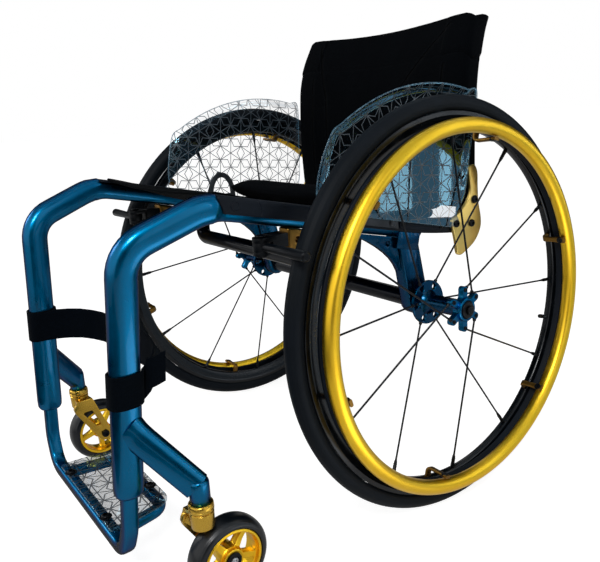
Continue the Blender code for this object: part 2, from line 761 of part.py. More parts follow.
def footrest(mat):
    """The U-shaped bar under the feet and the loop behind it, joined into one welded piece."""
    step = place(STEP_X, STEP_FORWARD, STEP_HEIGHT)
    along = front_tube_direction()
    down = step - along * FOOT_TUBE_STRAIGHT
    corner = place(FOOT_CORNER_X, FOOT_BAR_FORWARD, FOOT_BAR_CENTRE_HEIGHT)
    half = [step + along * FOOT_INSERT, down, corner]
    corners = half + [Vector((-point.x, point.y, point.z)) for point in reversed(half)]
    bm = bmesh.new()
    radii = [FOOT_KNUCKLE_R, FOOT_BEND_R, FOOT_BEND_R, FOOT_KNUCKLE_R]
    loft(bm, foot_rings(rounded_path(corners, radii, 4), 0))
    bar = mesh_object("footrest_frame", bm, mat)
    inner = FOOT_BAR_FORWARD - FOOT_BAR_DEPTH / 4
    rear = FOOT_BAR_FORWARD - FOOT_LOOP_REACH
    height = FOOT_BAR_TOP - FOOT_LOOP_R
    corners = [
        place(FOOT_LOOP_FRONT_X, inner, height),
        place(FOOT_LOOP_REAR_X, rear, height),
        place(-FOOT_LOOP_REAR_X, rear, height),
        place(-FOOT_LOOP_FRONT_X, inner, height),
    ]
    bm = bmesh.new()
    loop_path = rounded_path(corners, [FOOT_LOOP_BEND_R, FOOT_LOOP_BEND_R], 5)
    rings = []
    for i, point in enumerate(loop_path):
        ahead = (loop_path[min(i + 1, len(loop_path) - 1)] - loop_path[max(i - 1, 0)]).normalized()
        side = Vector((0, 0, 1)).cross(ahead)
        rings.append([point + side * u + Vector((0, 0, 1)) * v for u, v in circle(FOOT_LOOP_R, 12)])
    loft(bm, rings)
    boolean(bar, mesh_object("footrest loop", bm, mat), "UNION")
    top = FOOT_BAR_TOP + GAP + PLATE_THICK
    shank = PLATE_THICK + FOOT_LOOP_R
    up = Vector((0, 0, 1))
    add_screws(bar, False, [(place(x, forward, top), up, shank) for x, forward in plate_screw_places()])


def plate_screw_places():
    rear = FOOT_BAR_FORWARD - FOOT_LOOP_REACH
    places = []
    for side in (1, -1):
        places.append((side * PLATE_SCREW_FRONT_X, FOOT_BAR_FORWARD))
        places.append((side * PLATE_SCREW_REAR_X, rear))
    return places


def footplate(mat):
    """The clear plate on the footrest, with rounded corners and a hole under each screw."""
    front = FOOT_BAR_FORWARD + PLATE_FRONT_MARGIN
    rear = FOOT_BAR_FORWARD - FOOT_LOOP_REACH - FOOT_LOOP_R
    z = FOOT_BAR_TOP + GAP
    front_x = FOOT_LOOP_FRONT_X + PLATE_SIDE_MARGIN
    rear_x = FOOT_LOOP_REAR_X + FOOT_LOOP_R
    corners = [
        place(0, front, z),
        place(front_x, front, z),
        place(rear_x, rear, z),
        place(-rear_x, rear, z),
        place(-front_x, front, z),
        place(0, front, z),
    ]
    radii = [0.008, PLATE_CORNER_R, PLATE_CORNER_R, 0.008]
    outline = rounded_path(corners, radii, 4)[:-1]
    bm = bmesh.new()
    face = bm.faces.new([bm.verts.new(point) for point in outline])
    made = bmesh.ops.extrude_face_region(bm, geom=[face])
    verts = [item for item in made["geom"] if isinstance(item, bmesh.types.BMVert)]
    bmesh.ops.translate(bm, vec=(0, 0, PLATE_THICK), verts=verts)
    plate = mesh_object("footplate", bm, mat)
    bm = bmesh.new()
    for x, forward in plate_screw_places():
        solid_of_turn(
            bm,
            [(z - 0.01, BOLT_R + GAP), (z + 0.02, BOLT_R + GAP)],
            BOLT_SIDES,
            axis=Vector((0, 0, 1)),
            centre=place(x, forward, 0),
        )
    boolean(plate, mesh_object("footplate holes", bm, mat), "DIFFERENCE")


def screw(bm, face, outward, shank):
    """A screw: a domed head on a face, and its shank going in."""
    profile = [
        (-shank, BOLT_R),
        (GAP, BOLT_R),
        (GAP, BOLT_HEAD_R),
        (BOLT_HEAD_THICK * 0.6, BOLT_HEAD_R),
        (BOLT_HEAD_THICK, BOLT_HEAD_R * 0.62),
    ]
    solid_of_turn(bm, profile, BOLT_SIDES, axis=outward, centre=face)


def add_screws(obj, mirrored, spots):
    """Joins screws with the piece that they are tight in. A spot is a face, a direction and a shank."""
    bm = bmesh.new()
    for face, outward, shank in spots:
        screw(bm, face, outward, shank)
    joined = mesh_object(obj.name + " screws", bm, obj.data.materials[0], mirrored=mirrored)
    boolean(obj, joined, "UNION")


def seat_rail(name, mat, mirrored, holes):
    """The cover along the seat tube: a wall on top and a skirt outside."""
    top = SEAT_TUBE_HEIGHT + GAP + RAIL_WALL
    bottom = top - RAIL_HEIGHT
    section = [
        (RAIL_INNER_X, top - RAIL_WALL),
        (RAIL_INNER_X, top - 0.001),
        (RAIL_INNER_X + 0.001, top),
        (RAIL_OUTER_X - 0.003, top),
        (RAIL_OUTER_X, top - 0.003),
        (RAIL_OUTER_X, bottom + 0.001),
        (RAIL_OUTER_X - 0.001, bottom),
        (RAIL_OUTER_X - RAIL_WALL, bottom),
        (RAIL_OUTER_X - RAIL_WALL, top - RAIL_WALL),
    ]
    rings = []
    for forward in (RAIL_FRONT_FORWARD - 2 * SHOULDER, RAIL_REAR_FORWARD):
        rings.append([seat_point(x, forward, above) for x, above in section])
    bm = bmesh.new()
    loft(bm, rings)
    rail = mesh_object(name, bm, mat, mirrored=mirrored)
    bm = bmesh.new()
    for point in holes:
        solid_of_turn(bm, [(-0.03, BOLT_R + GAP), (0.02, BOLT_R + GAP)], BOLT_SIDES, centre=point)
    boolean(rail, mesh_object(name + " holes", bm, mat, mirrored=mirrored), "DIFFERENCE")
    sunk = Vector((SCREW_SINK, 0, 0))
    outward = Vector((1, 0, 0))
    heads = [(point - sunk, outward, RAIL_WALL / 2) for point in (rail_end_screw(), rail_plug())]
    add_screws(rail, mirrored, heads)


def seat_sling(mat):
    """The sling between the rails, a little lower in the middle."""
    columns = 8
    half = RAIL_INNER_X - GAP
    top = SEAT_TUBE_HEIGHT + GAP + RAIL_WALL - 0.0005
    rings = []
    for forward in (SLING_FRONT_FORWARD, SLING_REAR_FORWARD):
        ring = []
        for lower in (False, True):
            for i in range(columns + 1):
                share = i / columns if not lower else 1 - i / columns
                x = half * (2 * share - 1)
                sag = SLING_SAG * (1 - (x / half) ** 2)
                above = top - sag - (SLING_THICK if lower else 0)
                ring.append(seat_point(x, forward, above))
        rings.append(ring)
    bm = bmesh.new()
    loft(bm, rings)
    mesh_object("seat_sling", bm, mat)


def back_flap(mat):
    """The soft lower end of the backrest, lying on the sling, with its front edge lifted a little."""
    columns = 6
    half = FLAP_HALF_WIDTH
    rail_top = SEAT_TUBE_HEIGHT + GAP + RAIL_WALL
    steps = len(FLAP_RISES) - 1
    rings = []
    for number, rise in enumerate(FLAP_RISES):
        forward = FLAP_FRONT_FORWARD + (FLAP_REAR_FORWARD - FLAP_FRONT_FORWARD) * number / steps
        lip = FLAP_LIP if number == 0 else 0
        ring = []
        for lower in (False, True):
            for i in range(columns + 1):
                across = i / columns if not lower else 1 - i / columns
                x = half * (2 * across - 1)
                sag = SLING_SAG * (1 - (x / (RAIL_INNER_X - GAP)) ** 2)
                edge = (x / half) ** 4
                above = rail_top - sag + FLAP_GAP + lip * (1 - 0.6 * edge)
                if not lower:
                    above = rail_top + rise * (1 - 0.4 * edge)
                ring.append(seat_point(x, forward, above))
        rings.append(ring)
    bm = bmesh.new()
    loft(bm, rings)
    mesh_object("back_flap", bm, mat)


def back_forward(height):
    """How far in front of the axle the canes' centre line lies at a height: nearly upright, then back."""
    share = (height - BACK_PIVOT_HEIGHT) / (BACK_TOP - BACK_PIVOT_HEIGHT)
    lean = BACK_LEAN * (3 * share * share - 2 * share)
    return BACK_PIVOT_FORWARD - lean


def back_cane(name, mat, parent, mirrored):
    """One upright of the backrest, from below its pivot to under the top hem."""
    heights = [BACK_PIVOT_HEIGHT - CANE_TAIL]
    steps = 7
    for i in range(steps + 1):
        heights.append(BACK_PIVOT_HEIGHT + (CANE_TOP - BACK_PIVOT_HEIGHT) * i / steps)
    points = []
    for height in heights:
        forward = back_forward(max(height, BACK_PIVOT_HEIGHT))
        points.append(place(CANE_X, forward, height) - parent.location)
    bm = bmesh.new()
    sweep(bm, points, circle(CANE_R, 12))
    cane = mesh_object(name, bm, mat, parent, mirrored=mirrored)
    bm = bmesh.new()
    bore = BOLT_R + BEARING_GAP
    reach = [(CANE_X - PIVOT_BOLT_END - 0.002, bore), (CANE_X + 0.03, bore)]
    solid_of_turn(bm, reach, BOLT_SIDES)
    cutter = mesh_object(name + " hole", bm, mat, parent, mirrored=mirrored)
    boolean(cane, cutter, "DIFFERENCE")


def back_section(height):
    """The cloth's section at a height: a front sheet, a pocket round each cane and a short return."""
    outer = BACK_HALF_WIDTH
    pocket = CANE_R + 2 * GAP
    wall = BACK_CLOTH
    front = pocket + wall
    middle = CANE_X - BACK_POCKET_INNER
    half = [
        (middle, -pocket),
        (middle, -pocket - wall),
        (outer - 0.004, -pocket - wall),
        (outer, -pocket * 0.5),
        (outer, pocket * 0.5),
        (outer - 0.004, front),
        (middle, front + 0.001),
    ]
    inner = [
        (middle, pocket + 0.001),
        (CANE_X + pocket * 0.72, pocket),
        (outer - BACK_EDGE, pocket * 0.4),
        (outer - BACK_EDGE, -pocket * 0.4),
        (CANE_X + pocket * 0.72, -pocket),
    ]
    bow = BACK_BOW
    centre_front = [(0.09, front - bow * 0.7), (0, front - bow)]
    centre_back = [(0, front - bow - wall), (0.09, front - bow * 0.7 - wall)]
    right = half + centre_front
    left = [(-x, y) for x, y in reversed(half)]
    outside = right[:-1] + [right[-1], (-0.09, front - bow * 0.7)] + left
    inside_left = [(-x, y) for x, y in reversed(inner)]
    inside = inside_left + [(-0.09, front - bow * 0.7 - wall), centre_back[0], centre_back[1]] + inner
    forward = back_forward(max(height, BACK_PIVOT_HEIGHT))
    return [place(x, forward + y, height) for x, y in outside + inside]


def back_upholstery(mat, parent):
    """The tensioned cloth of the backrest, closed over the canes at the top."""
    steps = 6
    rings = []
    for i in range(steps + 1):
        height = BACK_BOTTOM + (BACK_TOP - BACK_BOTTOM) * i / steps
        ring = back_section(height)
        if i == steps:
            for point in ring:
                point.z -= BACK_TOP_DIP * (1 - (point.x / BACK_HALF_WIDTH) ** 2)
        rings.append([point - parent.location for point in ring])
    bm = bmesh.new()
    loft(bm, rings)
    cloth = mesh_object("back_upholstery", bm, mat, parent)
    bm = bmesh.new()
    for side in (1, -1):
        reach = [(CANE_X + CANE_R / 2, SPACER_R + 0.0015), (CANE_X + 0.03, SPACER_R + 0.0015)]
        solid_of_turn(bm, reach, BOLT_SIDES, axis=Vector((side, 0, 0)))
    boolean(cloth, mesh_object("back_upholstery eyelets", bm, mat, parent), "DIFFERENCE")


def back_bolt_places():
    """Where the bracket's bolts go: the pivot, the stop below it and the one through the rail's end."""
    x = RAIL_OUTER_X + GAP + BRACKET_THICK
    foot = BRACKET_FOOT
    return [
        place(x, BACK_PIVOT_FORWARD, BACK_PIVOT_HEIGHT),
        place(x, BACK_PIVOT_FORWARD, foot + (BACK_PIVOT_HEIGHT - foot) * BACK_STOP_SHARE),
        place(x, RAIL_REAR_FORWARD + BRACKET_BOLT_INSET, foot),
    ]


def back_bracket(name, mat, mirrored):
    """The hook-shaped plate that carries the backrest on the end of the rail."""
    foot = BRACKET_FOOT
    rise = BACK_PIVOT_HEIGHT - foot
    outline = []
    for ahead, share, above in BRACKET_OUTLINE:
        outline.append((BACK_PIVOT_FORWARD + ahead, foot + rise * share + above))
    bm = bmesh.new()
    flat = [(AXLE_Y - forward, height) for forward, height in outline]
    prism(bm, flat, RAIL_OUTER_X + GAP, BRACKET_THICK)
    bracket = mesh_object(name, bm, mat, mirrored=mirrored)
    bevel(bracket, 0.0012)
    pivot, lower, rail_end = back_bolt_places()
    bm = bmesh.new()
    solid_of_turn(bm, [(-0.02, BOLT_R + GAP), (0.01, BOLT_R + GAP)], BOLT_SIDES, centre=pivot)
    boolean(bracket, mesh_object(name + " hole", bm, mat, mirrored=mirrored), "DIFFERENCE")
    sunk = Vector((SCREW_SINK, 0, 0))
    outward = Vector((1, 0, 0))
    spots = [
        (lower - sunk, outward, BRACKET_THICK / 2),
        (rail_end - sunk, outward, BRACKET_THICK + RAIL_WALL - SCREW_SINK),
    ]
    add_screws(bracket, mirrored, spots)


def pivot_bolt(name, mat, mirrored):
    """The bolt that the backrest folds on, with the spacer between bracket and cane."""
    crown = CANE_X + CANE_R + GAP
    outer = RAIL_OUTER_X + BRACKET_THICK + 2 * GAP
    profile = [
        (CANE_X - PIVOT_BOLT_END, BOLT_R),
        (crown, BOLT_R),
        (crown, SPACER_R),
        (RAIL_OUTER_X, SPACER_R),
        (RAIL_OUTER_X, BOLT_R),
        (outer, BOLT_R),
        (outer, BOLT_HEAD_R),
        (outer + BOLT_HEAD_THICK * 0.6, BOLT_HEAD_R),
        (outer + BOLT_HEAD_THICK, BOLT_HEAD_R * 0.62),
    ]
    bm = bmesh.new()
    pivot = place(0, BACK_PIVOT_FORWARD, BACK_PIVOT_HEIGHT)
    solid_of_turn(bm, profile, BOLT_SIDES, centre=pivot)
    mesh_object(name, bm, mat, mirrored=mirrored)




def guard_outline():
    """The side guard's edge as (forward, height, share of the flare) going round from the front foot."""
    above = SEAT_TUBE_HEIGHT + GUARD_FOOT_LIFT
    arc = []
    count = 14
    for i in range(count + 1):
        angle = GUARD_FRONT_ANGLE - (GUARD_FRONT_ANGLE + GUARD_REAR_ANGLE) * i / count
        arc.append((GUARD_R * math.sin(angle), AXLE_Z + GUARD_R * math.cos(angle), 1.0))
    front = seat_line(GUARD_FOOT_FRONT, above)
    rear = seat_line(GUARD_FOOT_REAR, above)
    points = [(GUARD_FOOT_FRONT, front, 0.0)]
    for forward, share, flare in GUARD_FRONT_EDGE:
        points.append((forward, front + (arc[0][1] - front) * share, flare))
    points += arc
    for forward, share, flare in GUARD_REAR_EDGE:
        points.append((forward, rear + (arc[-1][1] - rear) * share, flare))
    points.append((GUARD_FOOT_REAR, rear, 0.0))
    return points


def side_guard(name, mat, mirrored, holes):
    """The clear guard beside the wheel: a flat sheet whose upper edge flares out over the tyre."""
    inner_x = RAIL_OUTER_X + 2 * GAP + GUARD_BRACKET_THICK
    edge = guard_outline()
    middle = Vector((GUARD_MIDDLE_FORWARD, seat_line(GUARD_MIDDLE_FORWARD) + GUARD_MIDDLE_RISE))
    bm = bmesh.new()
    outer_ring = []
    inner_ring = []
    for forward, height, flare in edge:
        flat = Vector((forward, height))
        inward = flat + (middle - flat).normalized() * GUARD_FLARE_BAND
        start = place(inner_x + GUARD_FLARE * flare, forward, height)
        outer_ring.append(bm.verts.new(start))
        inner_ring.append(bm.verts.new(place(inner_x, inward.x, inward.y)))
    count = len(edge)
    for i in range(count):
        j = (i + 1) % count
        bm.faces.new((outer_ring[i], outer_ring[j], inner_ring[j], inner_ring[i]))
    bm.faces.new(inner_ring)
    bmesh.ops.recalc_face_normals(bm, faces=bm.faces)
    facing = sum((face.normal.x * face.calc_area() for face in bm.faces), 0.0)
    if facing < 0:
        bmesh.ops.reverse_faces(bm, faces=bm.faces)
    bmesh.ops.triangulate(bm, faces=bm.faces)
    made = bmesh.ops.extrude_face_region(bm, geom=list(bm.faces))
    verts = [item for item in made["geom"] if isinstance(item, bmesh.types.BMVert)]
    bmesh.ops.translate(bm, vec=(GUARD_THICK, 0, 0), verts=verts)
    guard = mesh_object(name, bm, mat, mirrored=mirrored)
    bm = bmesh.new()
    for point in holes:
        solid_of_turn(bm, [(-0.02, BOLT_R + GAP), (0.02, BOLT_R + GAP)], BOLT_SIDES, centre=point)
    boolean(guard, mesh_object(name + " holes", bm, mat, mirrored=mirrored), "DIFFERENCE")


def guard_screw_places():
    """On the arch's foot: two screws that hold the bracket on the rail and one in the arch."""
    x = RAIL_OUTER_X + GAP + GUARD_BRACKET_THICK
    above = SEAT_TUBE_HEIGHT + RAIL_WALL - RAIL_HEIGHT / 2
    spots = []
    for forward in (ARCH_FORWARD + 0.028, ARCH_FORWARD - 0.031):
        spots.append(place(x, forward, seat_line(forward, above)))
    return spots


def guard_clip_places():
    """Where the guard is screwed to the arch's crown and to its own lower edge."""
    x = RAIL_OUTER_X + 2 * GAP + GUARD_BRACKET_THICK + GUARD_THICK
    crown = arch_height(0.0) - ARCH_BAND / 2
    return [place(x, ARCH_FORWARD, crown)]


def arch_height(angle):
    """Height of the arch's outer edge over the seat line at its middle."""
    base = seat_line(ARCH_FORWARD, SEAT_TUBE_HEIGHT + RAIL_WALL)
    return base + ARCH_HEIGHT * math.cos(angle)


def guard_bracket(name, mat, mirrored):
    """The arched bracket on the rail that carries the side guard."""
    foot_top = SEAT_TUBE_HEIGHT + RAIL_WALL - 0.004
    foot_bottom = foot_top - ARCH_FOOT_HEIGHT
    half = ARCH_FOOT_LENGTH / 2
    outline = []
    for forward, above in ((ARCH_FORWARD - half, foot_bottom), (ARCH_FORWARD + half, foot_bottom)):
        outline.append((AXLE_Y - forward, seat_line(forward, above)))
    front_top = ARCH_FORWARD + half
    outline.append((AXLE_Y - front_top, seat_line(front_top, foot_top)))
    steps = 10
    base = seat_line(ARCH_FORWARD, SEAT_TUBE_HEIGHT + RAIL_WALL)
    for i in range(steps + 1):
        angle = math.radians(90) - math.pi * i / steps
        y = AXLE_Y - ARCH_FORWARD - ARCH_HALF_WIDTH * math.sin(angle)
        z = base + ARCH_HEIGHT * math.cos(angle)
        if abs(angle) > math.radians(89):
            forward = AXLE_Y - y
            z = seat_line(forward, foot_top)
        outline.append((y, z))
    rear_top = ARCH_FORWARD - half
    outline.append((AXLE_Y - rear_top, seat_line(rear_top, foot_top)))
    bm = bmesh.new()
    prism(bm, outline, RAIL_OUTER_X + GAP, GUARD_BRACKET_THICK)
    bracket = mesh_object(name, bm, mat, mirrored=mirrored)
    inside = []
    for i in range(steps + 1):
        angle = math.radians(90) - math.pi * i / steps
        y = AXLE_Y - ARCH_FORWARD - (ARCH_HALF_WIDTH - ARCH_BAND) * math.sin(angle)
        z = base + (ARCH_HEIGHT - ARCH_BAND) * math.cos(angle)
        inside.append((y, z))
    bm = bmesh.new()
    prism(bm, inside, RAIL_OUTER_X - 0.01, GUARD_BRACKET_THICK + 0.02)
    boolean(bracket, mesh_object(name + " window", bm, mat, mirrored=mirrored), "DIFFERENCE")
    sunk = Vector((SCREW_SINK, 0, 0))
    outward = Vector((1, 0, 0))
    through = GUARD_BRACKET_THICK + RAIL_WALL - SCREW_SINK
    spots = [(point - sunk, outward, through) for point in guard_screw_places()]
    shank = GUARD_THICK + GAP + GUARD_BRACKET_THICK / 2
    spots += [(point, outward, shank) for point in guard_clip_places()]
    add_screws(bracket, mirrored, spots)


def rail_end_screw():
    forward = -0.034
    return place(RAIL_OUTER_X, forward, seat_line(forward, SEAT_TUBE_HEIGHT + RAIL_WALL - RAIL_HEIGHT / 2))


def rail_plug():
    forward = RAIL_FRONT_FORWARD - 0.024
    return place(RAIL_OUTER_X, forward, seat_line(forward, SEAT_TUBE_HEIGHT + RAIL_WALL - RAIL_HEIGHT / 2))


def strap_centre(height):
    """The front tube's centre at a height, as a sideways and a forward distance."""
    share = (height - STEP_HEIGHT) / (KNEE_HEIGHT - STEP_HEIGHT)
    x = STEP_X + (KNEE_X - STEP_X) * share
    return x, STEP_FORWARD + (KNEE_FORWARD - STEP_FORWARD) * share


def calf_strap(mat):
    """The strap behind the calves, wrapped once round both front tubes."""
    clearance = 2 * GAP + STRAP_THICK / 2
    wrap = superellipse(TUBE_WIDTH + 2 * clearance, TUBE_DEPTH + 2 * clearance, TUBE_SQUARENESS, 24)
    mid_x, mid_forward = strap_centre(STRAP_CENTRE_HEIGHT)
    order = [wrap[i % 24] for i in range(10, -6, -1)]
    near = [(u, v) for u, v in order]
    run = [(0.004, 0.49), (-0.014, 0.70), (-0.045, 0.84)]
    near += [(u, -STRAP_REACH * share) for u, share in run]
    loop = [(mid_x + u, mid_forward + v) for u, v in near]
    bulge = mid_forward - STRAP_REACH
    loop.append((mid_x / 3, bulge))
    whole = loop + [(0.0, bulge - STRAP_BULGE)] + [(-x, f) for x, f in reversed(loop)]
    rings = []
    for i, (x, forward) in enumerate(whole):
        before = whole[max(i - 1, 0)]
        after = whole[min(i + 1, len(whole) - 1)]
        ahead = Vector((after[0] - before[0], after[1] - before[1])).normalized()
        out = Vector((ahead.y, -ahead.x)) * STRAP_THICK / 2
        ring = []
        for height, sign in ((-1, 1), (1, 1), (1, -1), (-1, -1)):
            z = STRAP_CENTRE_HEIGHT + height * STRAP_HEIGHT / 2
            shift_x, shift_forward = strap_centre(z)
            lean = (shift_x - mid_x) * max(-1, min(1, x / 0.1))
            away = mid_forward - forward
            rise = STRAP_TILT * max(0, min(1, away / 0.06)) * max(-1, min(1, x / 0.1))
            across = x + lean + out.x * sign
            along = forward + shift_forward - mid_forward + out.y * sign
            ring.append(place(across, along, z + rise))
        rings.append(ring)
    bm = bmesh.new()
    loft(bm, rings)
    mesh_object("calf_strap", bm, mat)


def brake_clamp(name, mat, mirrored):
    """The block under the seat tube that carries the wheel lock."""
    front = BRAKE_FORWARD + BRAKE_CLAMP_LENGTH / 2
    rear = BRAKE_FORWARD - BRAKE_CLAMP_LENGTH / 2
    outline = [
        (AXLE_Y - front, seat_line(front, -GAP)),
        (AXLE_Y - rear, seat_line(rear, -GAP)),
        (AXLE_Y - rear, BRAKE_CLAMP_BOTTOM),
        (AXLE_Y - front, BRAKE_CLAMP_BOTTOM),
    ]
    bm = bmesh.new()
    prism(bm, outline, SEAT_TUBE_X - BRAKE_CLAMP_WIDTH / 2, BRAKE_CLAMP_WIDTH)
    clamp = mesh_object(name, bm, mat, mirrored=mirrored)
    bevel(clamp, 0.002)
    bm = bmesh.new()
    middle = (seat_line(BRAKE_FORWARD) + BRAKE_CLAMP_BOTTOM) / 2
    reach = BRAKE_CLAMP_WIDTH
    profile = [(SEAT_TUBE_X - reach, 0.0045), (SEAT_TUBE_X + reach, 0.0045)]
    solid_of_turn(bm, profile, 12, centre=place(0, BRAKE_FORWARD, middle))
    boolean(clamp, mesh_object(name + " hole", bm, mat, mirrored=mirrored), "DIFFERENCE")


def brake_pivot(side):
    return place(side * BRAKE_X, BRAKE_PIVOT_FORWARD, 0)


def brake_base(name, mat, mirrored):
    """The black body in front of the clamp, and the ear that the shoe and lever hang from."""
    rear = BRAKE_FORWARD + BRAKE_CLAMP_LENGTH / 2 + GAP
    front = BRAKE_PIVOT_FORWARD - BRAKE_EAR_R - 0.003
    half = BRAKE_CLAMP_WIDTH / 2
    ear_bottom = BRAKE_EAR_TOP - BRAKE_EAR_THICK
    block_bottom = BRAKE_EAR_TOP - BRAKE_BLOCK_HEIGHT
    outline = [
        (AXLE_Y - front, block_bottom),
        (AXLE_Y - rear, block_bottom),
        (AXLE_Y - rear, BRAKE_EAR_TOP),
        (AXLE_Y - front, BRAKE_EAR_TOP),
    ]
    bm = bmesh.new()
    prism(bm, outline, SEAT_TUBE_X - half, 2 * half)
    base = mesh_object(name, bm, mat, mirrored=mirrored)
    centre = brake_pivot(1)
    rim = []
    for i in range(9):
        angle = math.pi + math.pi * i / 8
        rim.append((centre.x + BRAKE_EAR_R * math.cos(angle), centre.y + BRAKE_EAR_R * math.sin(angle)))
    back = AXLE_Y - front + 0.004
    rim.append((centre.x + BRAKE_EAR_R, back))
    rim.append((centre.x - BRAKE_EAR_R, back))
    ear_top = BRAKE_EAR_TOP - 0.0004
    bm = bmesh.new()
    loft(bm, [[Vector((x, y, z)) for x, y in rim] for z in (ear_bottom, ear_top)])
    boolean(base, mesh_object(name + " ear", bm, mat, mirrored=mirrored), "UNION")
    bm = bmesh.new()
    bore = [(ear_bottom - 0.01, BRAKE_PIN_R + GAP), (ear_top + 0.01, BRAKE_PIN_R + GAP)]
    solid_of_turn(bm, bore, 12, axis=Vector((0, 0, 1)), centre=centre)
    boolean(base, mesh_object(name + " bore", bm, mat, mirrored=mirrored), "DIFFERENCE")


def brake_stack():
    """Heights of the shoe's and the lever's faces under the ear: shoe top, shoe bottom, lever bottom."""
    shoe_top = BRAKE_EAR_TOP - BRAKE_EAR_THICK - GAP
    shoe_bottom = shoe_top - BRAKE_SHOE_THICK
    return shoe_top, shoe_bottom, shoe_bottom - GAP - BRAKE_LEVER_THICK


def brake_pin(name, mat, mirrored):
    """The pin that holds ear, shoe and lever together."""
    low = brake_stack()[2] - GAP
    high = BRAKE_EAR_TOP
    head = BRAKE_PIN_R + 0.0025
    profile = [
        (low - BRAKE_PIN_HEAD, head),
        (low, head),
        (low, BRAKE_PIN_R),
        (high, BRAKE_PIN_R),
        (high, head),
        (high + BRAKE_PIN_HEAD, head),
    ]
    bm = bmesh.new()
    solid_of_turn(bm, profile, 12, axis=Vector((0, 0, 1)), centre=brake_pivot(1))
    mesh_object(name, bm, mat, mirrored=mirrored)


def brake_eye(name, mat, parent, mirrored, bottom, top):
    """The ring of a piece that turns on the pin."""
    ring = BRAKE_PIN_R + BEARING_GAP
    profile = [(bottom, ring), (top, ring), (top, BRAKE_EAR_R), (bottom, BRAKE_EAR_R)]
    bm = bmesh.new()
    turned(bm, profile, 16, axis=Vector((0, 0, 1)))
    return mesh_object(name, bm, mat, parent, mirrored=mirrored)


def brake_shoe(name, mat, parent, mirrored):
    """The arm whose bar presses on the tyre. Its origin is on its pivot."""
    top, bottom, _ = brake_stack()
    eye = brake_eye(name, mat, parent, mirrored, bottom, top)
    reach = BRAKE_BAR_TIP_X - BRAKE_X
    r = BRAKE_SHOE_THICK / 2 - 0.0002
    profile = [(BRAKE_EAR_R * 0.7, r), (reach - 0.002, r), (reach, r - 0.002)]
    bm = bmesh.new()
    solid_of_turn(bm, profile, 12, centre=Vector((0, 0, (top + bottom) / 2)))
    boolean(eye, mesh_object(name + " bar", bm, mat, parent, mirrored=mirrored), "UNION")


def brake_lever(name, mat, parent, mirrored):
    """The handle under the shoe, turning on the same pin and folded in under the seat."""
    _, shoe_bottom, bottom = brake_stack()
    top = shoe_bottom - GAP
    eye = brake_eye(name, mat, parent, mirrored, bottom, top)
    half = BRAKE_LEVER_WIDTH / 2
    outline = [(0.007, half), (0.007, -half)]
    for i in range(7):
        angle = -math.pi / 2 + math.pi * i / 6
        outline.append((BRAKE_LEVER_REACH + half * math.cos(angle), half * math.sin(angle)))
    bm = bmesh.new()
    inset = 0.0002
    heights = (bottom + inset, top - inset)
    loft(bm, [[Vector((x, y, z)) for x, y in outline] for z in heights])
    bmesh.ops.rotate(bm, verts=bm.verts, matrix=Matrix.Rotation(BRAKE_LEVER_REST, 3, "Z"))
    boolean(eye, mesh_object(name + " arm", bm, mat, parent, mirrored=mirrored), "UNION")


def tyre_section():
    """The tyre's section as (along the axle, radius): round, with a flat seat on the rim."""
    ring_r = TYRE_THICK / 2
    half_seat = math.sqrt(ring_r**2 - (TYRE_RING_R - TYRE_SEAT_R) ** 2)
    start = math.atan2(TYRE_SEAT_R - TYRE_RING_R, half_seat)
    steps = 8
    points = []
    for i in range(steps + 1):
        angle = start + (math.pi - 2 * start) * i / steps
        points.append((ring_r * math.cos(angle), TYRE_RING_R + ring_r * math.sin(angle)))
    return points


def rear_tyre(name, mat, parent, mirrored):
    bm = bmesh.new()
    turned(bm, tyre_section(), WHEEL_STEPS)
    mesh_object(name, bm, mat, parent, mirrored)


def polar(angle, radius, along=0.0):
    """A point of a wheel: the angle is from straight up, turning forward."""
    return Vector((along, -radius * math.sin(angle), radius * math.cos(angle)))


def rear_rim(name, mat, parent, mirrored):
    """The deep rim, with the valve's stem on its inner side."""
    half = RIM_WIDTH / 2
    nose = RIM_NOSE_WIDTH / 2
    section = [
        (half, RIM_OUTER_R),
        (half, RIM_OUTER_R - 0.007),
        (nose, RIM_INNER_R),
        (-nose, RIM_INNER_R),
        (-half, RIM_OUTER_R - 0.007),
        (-half, RIM_OUTER_R),
    ]
    bm = bmesh.new()
    turned(bm, section, WHEEL_STEPS)
    rim = mesh_object(name, bm, mat, parent, mirrored)
    bm = bmesh.new()
    inward = -polar(VALVE_ANGLE, 1.0)
    profile = [
        (-0.004, 0.003),
        (VALVE_LENGTH * 0.6, 0.003),
        (VALVE_LENGTH * 0.6, 0.0022),
        (VALVE_LENGTH, 0.0022),
    ]
    solid_of_turn(bm, profile, 8, axis=inward, centre=polar(VALVE_ANGLE, RIM_INNER_R))
    boolean(rim, mesh_object(name + " valve", bm, mat, parent, mirrored), "UNION")


def spoke(bm, hub_end, rim_end):
    """One round spoke with its thicker nipple at the rim."""
    ahead = (rim_end - hub_end).normalized()
    length = (rim_end - hub_end).length
    profile = [
        (0, SPOKE_R),
        (length - NIPPLE_LENGTH, SPOKE_R),
        (length - NIPPLE_LENGTH + 0.002, NIPPLE_R),
        (length, NIPPLE_R),
    ]
    solid_of_turn(bm, profile, SPOKE_SIDES, axis=ahead, centre=hub_end)


def star_pad(index, phase):
    """Centre of one arm tip of the outer flange."""
    angle = math.tau * index / SPOKES_PER_SIDE + phase
    return polar(angle, FLANGE_R - STAR_ARM_R, HUB_OUTER - STAR_THICK / 2)


